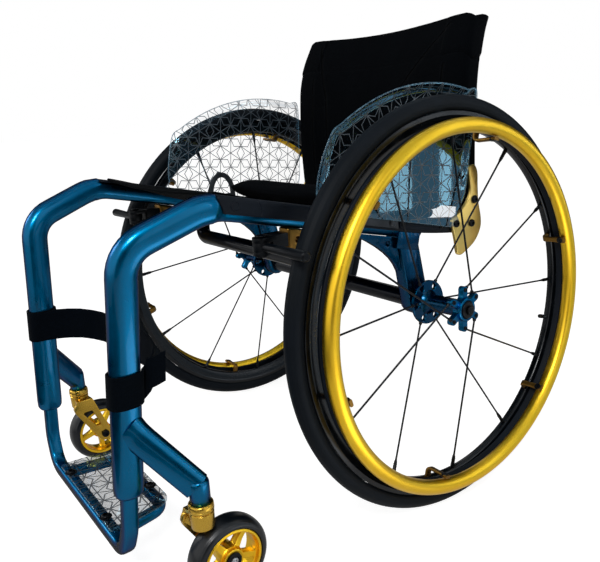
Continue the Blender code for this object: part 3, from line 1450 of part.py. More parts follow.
def spokes(bm, phase):
    """Twelve spokes: straight ones to the inner flange and crossing ones to the outer star."""
    rim_r = RIM_INNER_R * math.cos(math.pi / WHEEL_STEPS) - NIPPLE_GAP
    for i in range(SPOKES_PER_SIDE):
        angle = math.tau * (i + 0.5) / SPOKES_PER_SIDE + phase
        hub_end = polar(angle, FLANGE_R - SPOKE_SEAT, -HUB_INNER - FLANGE_THICK / 2)
        spoke(bm, hub_end, polar(angle, rim_r))
    for i in range(SPOKES_PER_SIDE):
        turn = 1 if i % 2 else -1
        pad = star_pad(i + turn, phase)
        pad.x += turn * STAR_THICK / 4
        rim_end = polar(math.tau * i / SPOKES_PER_SIDE + phase, rim_r)
        ahead = (rim_end - pad).normalized()
        spoke(bm, pad + ahead * (STAR_ARM_R - SPOKE_SEAT), rim_end)


def spoked_hub(name, mat, parent, mirrored, phase):
    """The hub with its spokes: a drilled disc inside, a barrel and a six-armed star outside."""
    bore = AXLE_R + BEARING_GAP
    profile = [
        (-HUB_INNER - FLANGE_THICK, bore),
        (HUB_OUTER, bore),
        (HUB_OUTER, BARREL_R),
        (HUB_OUTER - STAR_THICK, BARREL_R),
        (HUB_OUTER - STAR_THICK - 0.006, BARREL_R * 0.86),
        (-HUB_INNER + 0.010, BARREL_R * 0.86),
        (-HUB_INNER, BARREL_R * 1.15),
        (-HUB_INNER, FLANGE_R),
        (-HUB_INNER - FLANGE_THICK, FLANGE_R),
    ]
    bm = bmesh.new()
    turned(bm, profile, ROUND_SIDES)
    body = mesh_object(name, bm, mat, parent, mirrored)
    outline = []
    for i in range(SPOKES_PER_SIDE):
        angle = math.tau * i / SPOKES_PER_SIDE + phase
        centre = star_pad(i, phase)
        for j in range(5):
            turn = angle - math.radians(90) + math.pi * j / 4
            outline.append(centre + polar(turn, STAR_ARM_R))
        outline.append(polar(angle + math.pi / SPOKES_PER_SIDE, BARREL_R + 0.002, centre.x))
    half = Vector((STAR_THICK / 2 - 0.0002, 0, 0))
    bm = bmesh.new()
    loft(bm, [[point - half for point in outline], [point + half for point in outline]])
    star = mesh_object(name + " star", bm, mat, parent, mirrored)
    bm = bmesh.new()
    solid_of_turn(bm, [(-HUB_INNER, bore + 0.002), (HUB_OUTER + 0.01, bore + 0.002)], 16)
    boolean(star, mesh_object(name + " core", bm, mat, parent, mirrored), "DIFFERENCE")
    boolean(body, star, "UNION")
    bm = bmesh.new()
    spokes(bm, phase)
    boolean(body, mesh_object(name + " spokes", bm, mat, parent, mirrored), "UNION")
    bm = bmesh.new()
    for i in range(FLANGE_HOLES):
        angle = math.tau * (i + 0.5) / FLANGE_HOLES
        centre = polar(angle, (FLANGE_R + BARREL_R * 1.15) / 2)
        ends = (-HUB_INNER - FLANGE_THICK - 0.01, -HUB_INNER + 0.01)
        solid_of_turn(bm, [(end, FLANGE_HOLE_R) for end in ends], BOLT_SIDES, centre=centre)
    boolean(body, mesh_object(name + " holes", bm, mat, parent, mirrored), "DIFFERENCE")


def handrim(name, mat, parent, mirrored):
    bm = bmesh.new()
    section = [(HANDRIM_OFFSET + u, HANDRIM_R + v) for u, v in circle(HANDRIM_TUBE_R, 8)]
    turned(bm, section, WHEEL_STEPS)
    mesh_object(name, bm, mat, parent, mirrored)


def handrim_mounts(name, mat, parent, mirrored):
    """The dark grip ring inside the hand rim and the tabs that hold both on the wheel rim."""
    outer = HANDRIM_OFFSET - HANDRIM_TUBE_R - GAP
    inner = outer - GRIP_WIDTH
    half = GRIP_HEIGHT / 2
    section = [
        (outer, HANDRIM_R - half * 0.6),
        (outer, HANDRIM_R + half * 0.6),
        (inner, HANDRIM_R + half),
        (inner, HANDRIM_R - half),
    ]
    bm = bmesh.new()
    turned(bm, section, WHEEL_STEPS)
    ring = mesh_object(name, bm, mat, parent, mirrored)
    facet = math.cos(math.pi / WHEEL_STEPS)
    seat = (HANDRIM_R - HANDRIM_TUBE_R) * facet - GAP
    rim_seat = RIM_INNER_R * facet - GAP
    nose = RIM_NOSE_WIDTH / 2 - 0.001
    low = seat - TAB_DEPTH
    outline = [
        (nose - 0.006, low),
        (HANDRIM_OFFSET + 0.004, low),
        (HANDRIM_OFFSET + 0.004, seat),
        (outer - GRIP_WIDTH * 0.25, seat),
        (outer - GRIP_WIDTH * 0.25, HANDRIM_R - half * 0.7),
        (outer - GRIP_WIDTH * 0.75, HANDRIM_R - half * 0.7),
        (outer - GRIP_WIDTH * 0.75, seat - 0.003),
        (nose, seat - 0.003),
        (nose, rim_seat),
        (nose - 0.006, rim_seat),
    ]
    bm = bmesh.new()
    for i in range(TAB_COUNT):
        angle = TAB_START + math.tau * i / TAB_COUNT
        across = polar(angle + math.pi / 2, 1.0) * TAB_WIDTH / 2
        rings = []
        for sign in (-1, 1):
            rings.append([polar(angle, radius, along) + across * sign for along, radius in outline])
        loft(bm, rings)
    boolean(ring, mesh_object(name + " tabs", bm, mat, parent, mirrored), "UNION")


def wheel_axle(name, mat, parent, mirrored):
    """The quick-release axle: a pin through hub and camber tube, and a cap that holds the button."""
    face = HUB_OUTER + GAP * 2
    well = BUTTON_R + BEARING_GAP
    floor = face + AXLE_CAP_THICK - BUTTON_LENGTH - 0.002
    profile = [
        (-AXLE_LENGTH, AXLE_R - 0.002),
        (-AXLE_LENGTH + 0.003, AXLE_R),
        (face, AXLE_R),
        (face, AXLE_CAP_R),
        (face + AXLE_CAP_THICK - 0.0015, AXLE_CAP_R),
        (face + AXLE_CAP_THICK, AXLE_CAP_R - 0.0015),
    ]
    bm = bmesh.new()
    solid_of_turn(bm, profile, ROUND_SIDES)
    pin = mesh_object(name, bm, mat, parent, mirrored)
    depth = max(floor, face + 0.0012)
    bm = bmesh.new()
    solid_of_turn(bm, [(depth, well), (face + 0.02, well)], ROUND_SIDES)
    boolean(pin, mesh_object(name + " well", bm, mat, parent, mirrored), "DIFFERENCE")
    return depth


def axle_button(name, mat, parent, mirrored, depth):
    """The push button in the middle of the axle's cap."""
    start = depth + BUTTON_TRAVEL + GAP
    bm = bmesh.new()
    profile = [
        (start, BUTTON_R),
        (start + BUTTON_LENGTH * 0.4, BUTTON_R),
        (start + BUTTON_LENGTH * 0.5, BUTTON_R - 0.001),
    ]
    solid_of_turn(bm, profile, ROUND_SIDES)
    mesh_object(name, bm, mat, parent, mirrored)


def caster_collar(name, mat, parent, mirrored):
    """The polished ring under the barrel, and the stem that turns in it."""
    top = CASTER_BARREL_BOTTOM - GAP
    bottom = top - COLLAR_HEIGHT
    bm = bmesh.new()
    profile = [
        (bottom, STEM_R),
        (bottom, COLLAR_R - 0.0015),
        (bottom + 0.003, COLLAR_R),
        (top - 0.003, COLLAR_R - 0.0005),
        (top, COLLAR_R - 0.002),
        (top, STEM_R),
        (CASTER_BARREL_BOTTOM + CASTER_BARREL_HEIGHT - 0.008, STEM_R),
    ]
    solid_of_turn(bm, profile, ROUND_SIDES, axis=Vector((0, 0, 1)))
    mesh_object(name, bm, mat, parent, mirrored)


def caster_fork(name, mat, parent, mirrored):
    """The one-sided fork: a round head and a pierced plate inboard of the wheel."""
    top = CASTER_BARREL_BOTTOM - COLLAR_HEIGHT - 2 * GAP
    bottom = top - FORK_HEAD_HEIGHT
    bm = bmesh.new()
    profile = [
        (bottom, FORK_HEAD_R - 0.0015),
        (bottom + 0.003, FORK_HEAD_R),
        (top - 0.002, FORK_HEAD_R - 0.0008),
        (top, FORK_HEAD_R - 0.002),
    ]
    solid_of_turn(bm, profile, 18, axis=Vector((0, 0, 1)))
    head = mesh_object(name, bm, mat, parent, mirrored)
    inner_x = -CASTER_WIDTH / 2 - 0.0035
    outer_x = inner_x - FORK_PLATE_THICK
    arm_low = bottom + 0.001
    arm_high = top - 0.004
    bm = bmesh.new()
    half = FORK_PLATE_TOP_WIDTH / 2
    rings = [
        [(outer_x, -half, arm_low), (outer_x, half, arm_low), (outer_x, half - 0.004, arm_high), (outer_x, -half + 0.006, arm_high)],
        [(0, -0.011, arm_low), (0, 0.011, arm_low), (0, 0.011, arm_high), (0, -0.011, arm_high)],
    ]
    loft(bm, [[Vector(point) for point in ring] for ring in rings])
    boolean(head, mesh_object(name + " shoulder", bm, mat, parent, mirrored), "UNION")
    boss_y = CASTER_TRAIL
    boss_z = CASTER_R
    outline = [(half - 0.003, arm_high - 0.002), (-half, arm_high - 0.006), (-half, arm_low - 0.002)]
    for i in range(9):
        angle = math.radians(205 + 200 * i / 8)
        outline.append((boss_y + FORK_BOSS_R * math.cos(angle), boss_z + FORK_BOSS_R * math.sin(angle)))
    bm = bmesh.new()
    prism(bm, outline, outer_x, FORK_PLATE_THICK)
    boolean(head, mesh_object(name + " plate", bm, mat, parent, mirrored), "UNION")
    bm = bmesh.new()
    window = [(-0.006, arm_low - 0.006), (0.011, arm_low - 0.006), (0.024, boss_z + 0.019), (0.014, boss_z + 0.019)]
    prism(bm, window, outer_x - 0.01, FORK_PLATE_THICK + 0.02)
    boolean(head, mesh_object(name + " window", bm, mat, parent, mirrored), "DIFFERENCE")
    bm = bmesh.new()
    ends = (outer_x - 0.01, inner_x + 0.01)
    profile = [(end, CASTER_BOLT_R + GAP) for end in ends]
    solid_of_turn(bm, profile, 12, centre=Vector((0, boss_y, boss_z)))
    boolean(head, mesh_object(name + " bore", bm, mat, parent, mirrored), "DIFFERENCE")


def caster_bolt(name, mat, parent, mirrored):
    """The caster's axle bolt, with its cap outside and its nut inside the plate."""
    inner_x = -CASTER_WIDTH / 2 - 0.0035 - FORK_PLATE_THICK - GAP
    outer_x = CASTER_HUB_WIDTH / 2 + 2 * GAP
    bm = bmesh.new()
    profile = [
        (inner_x - 0.004, CASTER_BOLT_R + 0.0025),
        (inner_x, CASTER_BOLT_R + 0.0025),
        (inner_x, CASTER_BOLT_R),
        (outer_x, CASTER_BOLT_R),
        (outer_x, CASTER_BOLT_HEAD_R),
        (outer_x + CASTER_BOLT_HEAD_THICK - 0.001, CASTER_BOLT_HEAD_R),
        (outer_x + CASTER_BOLT_HEAD_THICK, CASTER_BOLT_HEAD_R - 0.001),
    ]
    solid_of_turn(bm, profile, ROUND_SIDES, centre=Vector((0, CASTER_TRAIL, CASTER_R)))
    mesh_object(name, bm, mat, parent, mirrored)


def caster_rim(name, mat, parent, mirrored):
    """The caster's wheel centre, with windows between its spokes. Its origin is on its axle."""
    outer = CASTER_R - CASTER_TYRE_DEPTH - GAP
    inner = outer - CASTER_RIM_DEPTH
    half_rim = CASTER_RIM_WIDTH / 2
    half_hub = CASTER_HUB_WIDTH / 2
    half_web = CASTER_WEB_THICK / 2
    bore = CASTER_BOLT_R + BEARING_GAP
    half = [
        (half_hub, bore),
        (half_hub, CASTER_HUB_R),
        (half_web, CASTER_HUB_R + 0.001),
        (half_web, inner),
        (half_rim, inner + 0.001),
        (half_rim, outer),
    ]
    profile = half + [(-along, radius) for along, radius in reversed(half)]
    bm = bmesh.new()
    turned(bm, profile, CASTER_STEPS)
    rim = mesh_object(name, bm, mat, parent, mirrored)
    low = CASTER_HUB_R + 0.0025
    high = inner - 0.001
    bm = bmesh.new()
    for i in range(CASTER_SPOKES):
        middle = math.tau * i / CASTER_SPOKES
        share = math.pi / CASTER_SPOKES
        outline = []
        for j in range(5):
            reach = share - CASTER_SPOKE_WIDTH / 2 / high
            outline.append(polar(middle - reach + 2 * reach * j / 4, high))
        for j in range(3):
            reach = share - CASTER_SPOKE_WIDTH / 2 / low
            outline.append(polar(middle + reach - 2 * reach * j / 2, low))
        side = Vector((half_hub, 0, 0))
        loft(bm, [[point - side for point in outline], [point + side for point in outline]])
    boolean(rim, mesh_object(name + " windows", bm, mat, parent, mirrored), "DIFFERENCE")


def caster_tyre(name, mat, parent, mirrored):
    half = CASTER_WIDTH / 2
    inner = CASTER_R - CASTER_TYRE_DEPTH
    half_rim = CASTER_RIM_WIDTH / 2
    section = [
        (half_rim, inner),
        (half, inner + 0.004),
        (half * 0.9, CASTER_R - 0.005),
        (half * 0.45, CASTER_R),
        (-half * 0.45, CASTER_R),
        (-half * 0.9, CASTER_R - 0.005),
        (-half, inner + 0.004),
        (-half_rim, inner),
    ]
    bm = bmesh.new()
    turned(bm, section, CASTER_STEPS)
    mesh_object(name, bm, mat, parent, mirrored)


def build():
    clear_scene()
    blue = material("frame blue", (0.0, 0.13, 0.30), 0.25, 0.85)
    dark_blue = material("dark tube", (0.003, 0.006, 0.02), 0.35, 0.4)
    gold = material("gold anodised", (0.75, 0.50, 0.06), 0.25, 1.0)
    black = material("black metal", (0.01, 0.011, 0.013), 0.45, 0.3)
    plastic = material("black plastic", (0.012, 0.013, 0.016), 0.5)
    rubber = material("tyre rubber", (0.012, 0.013, 0.014), 0.75)
    cloth = material("black cloth", (0.006, 0.007, 0.009), 0.9)
    clear = material("clear sheet", (0.75, 0.85, 0.9), 0.08, 0.0, 0.3)
    steel = material("steel", (0.45, 0.45, 0.46), 0.3, 1.0)

    camber_tube(dark_blue)
    cross_bar(dark_blue)
    footrest(blue)
    footplate(clear)
    seat_sling(cloth)
    back_flap(cloth)
    calf_strap(cloth)
    pivot = place(0, BACK_PIVOT_FORWARD, BACK_PIVOT_HEIGHT)
    back = frame_empty("back pivot", pivot)
    back_upholstery(cloth, back)
    for letter, side, phase in (("L", 1, 0), ("R", -1, SPOKE_PHASE_R)):
        mirrored = side < 0
        side_frame(f"side_frame_{letter}", blue, mirrored)
        tube_cutter = side_frame_mesh(f"tube cutter {letter}", blue, mirrored, GAP)
        caster_arm(f"caster_arm_{letter}", blue, mirrored, tube_cutter)
        rear_post(f"rear_post_{letter}", blue, mirrored)
        rail_holes = guard_screw_places() + [back_bolt_places()[2]]
        seat_rail(f"seat_rail_{letter}", plastic, mirrored, rail_holes)
        back_bracket(f"back_bracket_{letter}", gold, mirrored)
        pivot_bolt(f"back_pivot_bolt_{letter}", steel, mirrored)
        side_guard(f"side_guard_{letter}", clear, mirrored, guard_clip_places())
        guard_bracket(f"guard_bracket_{letter}", black, mirrored)
        brake_clamp(f"brake_clamp_{letter}", gold, mirrored)
        brake_base(f"brake_base_{letter}", black, mirrored)
        brake_pin(f"brake_pin_{letter}", steel, mirrored)
        back_cane(f"back_cane_{letter}", blue, back, mirrored)

        shoe_pivot = frame_empty(f"brake pivot {letter}", brake_pivot(side))
        brake_shoe(f"brake_shoe_{letter}", black, shoe_pivot, mirrored)
        brake_lever(f"brake_lever_{letter}", black, shoe_pivot, mirrored)

        centre = Vector((side * TRACK_HALF, AXLE_Y, AXLE_Z))
        wheel = frame_empty(f"wheel axis {letter}", centre, (0, -side * CAMBER, 0))
        rear_tyre(f"rear_tyre_{letter}", rubber, wheel, mirrored)
        rear_rim(f"rear_rim_{letter}", black, wheel, mirrored)
        spoked_hub(f"spoked_hub_{letter}", blue, wheel, mirrored, phase)
        handrim(f"handrim_{letter}", gold, wheel, mirrored)
        handrim_mounts(f"handrim_mounts_{letter}", plastic, wheel, mirrored)
        depth = wheel_axle(f"wheel_axle_{letter}", steel, wheel, mirrored)
        axle_button(f"axle_button_{letter}", plastic, wheel, mirrored, depth)

        swivel = frame_empty(f"caster swivel {letter}", place(side * CASTER_X, CASTER_FORWARD, 0))
        caster_collar(f"caster_collar_{letter}", gold, swivel, mirrored)
        caster_fork(f"caster_fork_{letter}", gold, swivel, mirrored)
        caster_bolt(f"caster_bolt_{letter}", black, swivel, mirrored)
        spin = place(side * CASTER_X, CASTER_AXLE_FORWARD, CASTER_R)
        axle = frame_empty(f"caster axle {letter}", spin)
        caster_rim(f"caster_rim_{letter}", gold, axle, mirrored)
        caster_tyre(f"caster_tyre_{letter}", rubber, axle, mirrored)


build()
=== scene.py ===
"""The looks of the active wheelchair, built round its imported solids. Metres, +Z up. +X is the sitter's
left and -Y is forward. A FORWARD value is a distance in front of the rear axle."""

import json
import math

import bmesh
import bpy
from mathutils import Matrix, Vector, noise

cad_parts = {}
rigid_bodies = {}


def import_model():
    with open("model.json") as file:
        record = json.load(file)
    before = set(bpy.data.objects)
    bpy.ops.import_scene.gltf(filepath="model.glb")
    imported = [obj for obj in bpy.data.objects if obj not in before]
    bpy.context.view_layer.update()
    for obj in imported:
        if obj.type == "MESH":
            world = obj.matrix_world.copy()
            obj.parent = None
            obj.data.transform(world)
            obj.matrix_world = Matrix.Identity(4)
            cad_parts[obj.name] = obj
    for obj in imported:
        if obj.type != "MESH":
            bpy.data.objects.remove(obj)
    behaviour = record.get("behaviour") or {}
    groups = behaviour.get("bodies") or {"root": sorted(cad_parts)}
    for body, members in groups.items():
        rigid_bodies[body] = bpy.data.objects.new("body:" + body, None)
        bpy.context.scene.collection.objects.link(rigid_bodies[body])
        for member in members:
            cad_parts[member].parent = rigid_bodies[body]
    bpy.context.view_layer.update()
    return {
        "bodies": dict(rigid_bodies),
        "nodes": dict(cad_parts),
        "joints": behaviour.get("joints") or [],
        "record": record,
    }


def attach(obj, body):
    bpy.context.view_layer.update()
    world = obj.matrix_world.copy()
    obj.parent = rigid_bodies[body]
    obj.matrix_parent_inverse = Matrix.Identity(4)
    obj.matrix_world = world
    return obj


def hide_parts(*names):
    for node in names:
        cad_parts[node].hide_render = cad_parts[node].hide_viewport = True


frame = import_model()
NODE_BODY = {
    node: body for body, nodes in frame["record"]["behaviour"]["bodies"].items() for node in nodes
}

GAP = 0.0003
# Rear wheels
WHEEL_R = 0.295
TYRE_THICK = 0.025
TYRE_SEAT_DEPTH = 0.0215
CAMBER = math.radians(2.7)
TRACK_HALF = 0.256
RIM_DEPTH = 0.023
RIM_WIDTH = 0.021
RIM_NOSE_WIDTH = 0.009
VALVE_ANGLE = math.radians(-107)
VALVE_LENGTH = 0.022
SPOKES_PER_SIDE = 6
SPOKE_TURN = math.radians(-2.2)
SPOKE_PHASE_R = math.radians(90)
SPOKE_R = 0.0014
NIPPLE_R = 0.0027
NIPPLE_LENGTH = 0.018
NIPPLE_GAP = 0.0010
SPOKE_SEAT = 0.002
HANDRIM_R = 0.2527
HANDRIM_TUBE_R = 0.0104
HANDRIM_OFFSET = 0.0326
GRIP_WIDTH = 0.0085
GRIP_HEIGHT = 0.012
TAB_COUNT = 6
TAB_START = math.radians(45)
TAB_WIDTH = 0.009
TAB_THICK = 0.0048
HUB_INNER = 0.042
HUB_OUTER = 0.025
FLANGE_R = 0.033
FLANGE_THICK = 0.005
FLANGE_HOLES = 6
FLANGE_HOLE_R = 0.0042
BARREL_R = 0.0145
STAR_ARM_R = 0.0052
STAR_THICK = 0.009
CAP_RING_R = 0.0168
CAP_RING_WALL = 0.0036
CAP_RING_SUNK = 0.001
CAP_RING_PROUD = 0.0042
AXLE_R = 0.00635
# Frame. The seat bend is the corner of the seat line; the tube bend and nose are where the tube runs
KNEE_X = 0.171
KNEE_FORWARD = 0.445
KNEE_HEIGHT = 0.442
KNEE_BEND_R = 0.045
STEP_X = 0.158
STEP_FORWARD = 0.4685
STEP_HEIGHT = 0.147
SEAT_X = 0.186
SEAT_SLOPE = math.radians(12.8)
SEAT_BEND_FORWARD = 0.336
SEAT_BEND_HEIGHT = 0.4805
SEAT_BEND_R = 0.09
TUBE_BEND_FORWARD = 0.345
TUBE_BEND_DROP = 0.002
TUBE_NOSE_DROP = 0.005
TUBE_WIDTH = 0.030
TUBE_DEPTH = 0.036
TUBE_SQUARENESS = 2.4
TUBE_SIDES = 48
SEAT_TUBE_WIDTH = 0.024
SEAT_TUBE_HEIGHT = 0.026
SEAT_TUBE_END_FORWARD = -0.003
CAMBER_TUBE_R = 0.013
CAMBER_TUBE_BORE_R = 0.0072
CAMBER_GROOVE_INSET = 0.034
CAMBER_GROOVE = ((-0.0012, 0), (-0.0006, 0.0005), (0.0006, 0.0005), (0.0012, 0))
AXLE_SPACER = 0.0035
CROSS_BAR_R = 0.012
CROSS_BAR_X = 0.177
CROSS_BAR_FORWARD = 0.150
CROSS_BAR_DROP = 0.048
CROSS_BAR_BEND_R = 0.022
POST_CAP_FORWARD = (0.000, 0.045)
POST_CAP_DROP = 0.016
POST_CAP_RISE = 0.0092
POST_CAP_HALF = 0.0125
BOLT_HEAD_R = 0.0058
BOLT_HEAD_THICK = 0.004
# Seat rails and the grip bars on them
RAIL_HEIGHT = 0.021
RAIL_WALL = 0.004
RAIL_INNER_OVERHANG = 0.002
RAIL_FRONT_FORWARD = 0.342
RAIL_REAR_FORWARD = -0.086
RAIL_LIFT = 0.008
RAIL_LIFT_START = 0.020
RAIL_SEAM = 0.0525
RAIL_FRONT_CURVE = 0.010
RAIL_PLUG_BACK = 0.024
SHOULDER = 0.0004
GRIP_BAR_FRONT = 0.052
GRIP_BAR_REAR = -0.040
GRIP_BAR_HALF = 0.0065
GRIP_BAR_PROUD = 0.0025
GRIP_RIB_INSET = 0.014
GRIP_RIBS = (-0.0026, 0.0, 0.0026)
# Casters and their arms
CASTER_X = 0.2185
CASTER_FORWARD = 0.405
CASTER_TRAIL = 0.028
CASTER_BARREL_R = 0.0125
CASTER_BARREL_BOTTOM = 0.1405
CASTER_BARREL_HEIGHT = 0.030
ARM_START_HEIGHT = 0.2355
ARM_START_OUT = 0.004
ARM_END_HEIGHT = 0.158
ARM_HEIGHT = 0.032
ARM_WIDTH = 0.022
ARM_FLARE = 0.30
ARM_FLARE_REACH = 0.10
CASTER_R = 0.053
CASTER_WIDTH = 0.028
CASTER_TYRE_DEPTH = 0.0122
CASTER_TYRE_POWER = 0.86
CASTER_RIM_DEPTH = 0.0045
CASTER_INNER_HALF = 0.0140
CASTER_OUTER_HALF = 0.0180
CASTER_HUB_R = 0.0142
CASTER_HUB_WIDTH = 0.028
CASTER_BORE_R = 0.0044
CASTER_FACE_INSET = 0.0016
CASTER_WEB_X = 0.0045
CASTER_WEB_THICK = 0.010
CASTER_SPOKES = 5
CASTER_SPOKE_WIDTH = 0.0062
CASTER_CAP_R = 0.0104
COLLAR_R = 0.0156
COLLAR_HEIGHT = 0.011
FORK_HEAD_R = 0.0155
FORK_HEAD_HEIGHT = 0.021
FORK_PLATE_THICK = 0.007
FORK_PLATE_TOP_WIDTH = 0.036
FORK_BOSS_R = 0.012
FORK_CLEARANCE = 0.0035
# Footrest
FOOT_BAR_FORWARD = 0.4745
FOOT_BAR_DEPTH = 0.019
FOOT_BAR_HEIGHT = 0.018
FOOT_BAR_CENTRE_HEIGHT = 0.0595
FOOT_SQUARENESS = 4.0
FOOT_CORNER_X = 0.137
FOOT_BEND_R = 0.030
FOOT_KNUCKLE_R = 0.060
FOOT_TUBE_STRAIGHT = 0.047
FOOT_INSERT = 0.028
FOOT_LOOP_R = 0.0088
FOOT_LOOP_REACH = 0.0765
FOOT_LOOP_FRONT_X = 0.097
FOOT_LOOP_REAR_X = 0.084
FOOT_LOOP_BEND_R = 0.022
FOOT_COLLAR_AHEAD = -0.0095
PLATE_THICK = 0.004
PLATE_FRONT_MARGIN = 0.006
PLATE_SIDE_MARGIN = 0.011
PLATE_CORNER_R = 0.022
PLATE_SCREW_FRONT_X = 0.0715
PLATE_SCREW_REAR_X = 0.043
# Side guards. An edge point is (forward, share of the rise, share of the flare)
GUARD_R = 0.312
GUARD_THICK = 0.003
GUARD_FLARE = 0.010
GUARD_FLARE_BAND = 0.018
GUARD_FRONT_ANGLE = math.radians(35)
GUARD_REAR_ANGLE = math.radians(19)
GUARD_FOOT_LIFT = -0.003
GUARD_FOOT_FRONT = 0.184
GUARD_FOOT_REAR = -0.054
GUARD_MIDDLE_FORWARD = 0.030
GUARD_MIDDLE_RISE = 0.0775
GUARD_FRONT_EDGE = ((0.199, 0.223, 0.0), (0.194, 0.599, 0.3))
GUARD_REAR_EDGE = ((-0.096, 0.609, 0.4), (-0.089, 0.25, 0.0), (-0.070, 0.11, 0.0))
GUARD_BRACKET_THICK = 0.004
# Backrest and its brackets. An outline point is (ahead of the pivot, share of the rise, above that)
CANE_R = 0.011
CANE_X = 0.1865
CANE_TAIL = 0.046
CANE_TOP = 0.688
SPACER_R = 0.005
BACK_PIVOT_FORWARD = -0.111
BACK_PIVOT_HEIGHT = 0.432
BACK_LEAN = 0.012
BACK_BEND = 0.10
BACK_BEND_LEAN = 0.021
BACK_BEND_TAPER = 0.009
BACK_HALF_WIDTH = 0.2005
BACK_TOP = 0.703
BACK_BOTTOM = 0.421
BACK_TOP_DIP = 0.010
BACK_CLOTH = 0.0035
BACK_PROUD_TOP = 0.005
BACK_LOOSE_END = 0.013
BACK_POCKET_INNER = 0.030
BACK_BOW = 0.012
BACK_CORNER_R = 0.0075
BACK_TOP_CORNER = 0.024
BACK_TOP_CORNER_DROP = 0.015
BACK_FOLD = 0.0026
BACK_SHEET = 0.0018
BACK_COLUMNS = 60
BACK_ROWS = 46
PANEL_INNER = 0.150
PANEL_DROP = 0.054
PANEL_THICK = 0.0017
BACK_FALLS = (
    *(0.0, 0.0006, 0.0016, 0.003, 0.005, 0.008, 0.0115, 0.0155, 0.020, 0.025, 0.030, 0.035),
    *(0.040, 0.045, 0.050, 0.055, 0.060, PANEL_DROP - 0.0006, PANEL_DROP + 0.0006),
)
BACK_SEAMS = (
    ((0.152, 0.694), (0.062, 0.606)),
    ((-0.152, 0.694), (-0.122, 0.60)),
    ((-0.122, 0.60), (-0.116, 0.46)),
    ((0.1565, 0.635), (0.1565, 0.425)),
    ((-0.1565, 0.635), (-0.1565, 0.425)),
)
BRACKET_THICK = 0.006
BRACKET_BOLT_INSET = 0.012
BACK_STOP_SHARE = 0.198
BRACKET_SCREW_RISE = 0.013
BRACKET_OUTLINE = (
    (0.012, 1.0, 0.05),
    (0.000, 1.0, 0.053),
    (-0.008, 1.0, 0.042),
    (-0.0095, 1.0, 0.02),
    (-0.0120, 0.89, 0.0),
    (-0.0185, 0.33, 0.0),
    (-0.0175, 0.0, -0.0031),
    (-0.004, 0.0, -0.0221),
    (0.020, 0.0, -0.0351),
    (0.031, 0.0, -0.0381),
    (0.038, 0.0, -0.0331),
    (0.041, 0.0, -0.0171),
    (0.046, 0.0, -0.0001),
    (0.051, 0.29, 0.0),
    (0.048, 0.47, 0.0),
    (0.030, 0.69, 0.0),
    (0.014, 1.0, 0.0),
    (0.008, 1.0, 0.015),
    (0.010, 1.0, 0.032),
)
# Seat sling and the flap behind it
SLING_THICK = 0.003
SLING_SAG = 0.012
SLING_FRONT_FORWARD = 0.330
SLING_REAR_FORWARD = -0.058
SLING_FRONT_RISE = 0.0035
SLING_HEM = 0.0125
SLING_HEM_THICK = 0.0012
SLING_CREASE = 0.0009
SLING_COLUMNS = 44
SLING_ROWS = 60
FLAP_FRONT_FORWARD = 0.130
FLAP_REAR_FORWARD = -0.088
FLAP_HALF_WIDTH = 0.150
FLAP_SWELL = 0.006
FLAP_VOXEL = 0.0045
FLAP_COLUMNS = 30
FLAP_ROWS = 26
FLAP_TOPS = (0.0265, 0.0300, 0.0305, 0.0295, 0.0265, 0.0240, 0.0225, 0.0215, 0.0205)
FLAP_UNDERS = (0.0190, 0.0115, 0.0060, 0.0025, 0.0010, 0.0006, 0.0006, 0.0006, 0.0006)
FLAP_SEAMS = (
    ((-0.138, -0.118), (0.138, -0.118)),
    ((-0.138, -0.118), (-0.138, 0.080)),
    ((0.138, -0.118), (0.138, 0.080)),
)
# Calf strap. A point of its run is (sideways, share of the reach, rise)
STRAP_HEIGHT = 0.046
STRAP_CENTRE_HEIGHT = 0.284
STRAP_THICK = 0.003
STRAP_NARROWER = 0.12
STRAP_REACH = 0.0596
STRAP_REACH_FAR = 0.071
STRAP_RUN = ((0.004, 0.49, 0.008), (-0.014, 0.72, 0.014), (-0.045, 0.88, 0.014), (-0.105, 0.98, 0.009))
STRAP_TAIL = 0.041
STRAP_TAIL_HEIGHT = STRAP_HEIGHT - 0.004
STRAP_TAIL_START = 0.0227
STRAP_TAIL_RISE = 0.0145
STRAP_TAIL_FALL = 0.40
# Wheel locks
BRAKE_BAR_X = 0.2015
BRAKE_BAR_FORWARD = 0.275
BRAKE_LINE_FORWARD = 0.222
BRAKE_BAR_DROP = 0.0144
BRAKE_BAR_SWELL = 1.32
# Worked out from the sizes above
AXLE_Y = (STEP_FORWARD + TUBE_DEPTH / 2 - WHEEL_R) / 2
TYRE_RING_R = WHEEL_R - TYRE_THICK / 2
AXLE_Z = TYRE_RING_R * math.cos(CAMBER) + TYRE_THICK / 2
TYRE_SEAT_R = WHEEL_R - TYRE_SEAT_DEPTH
RIM_OUTER_R = TYRE_SEAT_R - GAP
RIM_INNER_R = RIM_OUTER_R - RIM_DEPTH
SEAT_TUBE_X = SEAT_X + TUBE_WIDTH / 2 - RAIL_WALL - GAP - SEAT_TUBE_WIDTH / 2
RAIL_OUTER_X = SEAT_X + TUBE_WIDTH / 2
RAIL_INNER_X = SEAT_TUBE_X - SEAT_TUBE_WIDTH / 2 - RAIL_INNER_OVERHANG
FOOT_BAR_TOP = FOOT_BAR_CENTRE_HEIGHT + FOOT_BAR_HEIGHT / 2
CAMBER_TUBE_Z = AXLE_Z - (TRACK_HALF - SEAT_TUBE_X) * math.tan(CAMBER)
CAMBER_TUBE_HALF = TRACK_HALF - HUB_INNER - FLANGE_THICK - AXLE_SPACER
SIDES = (("L", 1), ("R", -1))
X = Vector((1, 0, 0))
Y = Vector((0, 1, 0))
Z = Vector((0, 0, 1))
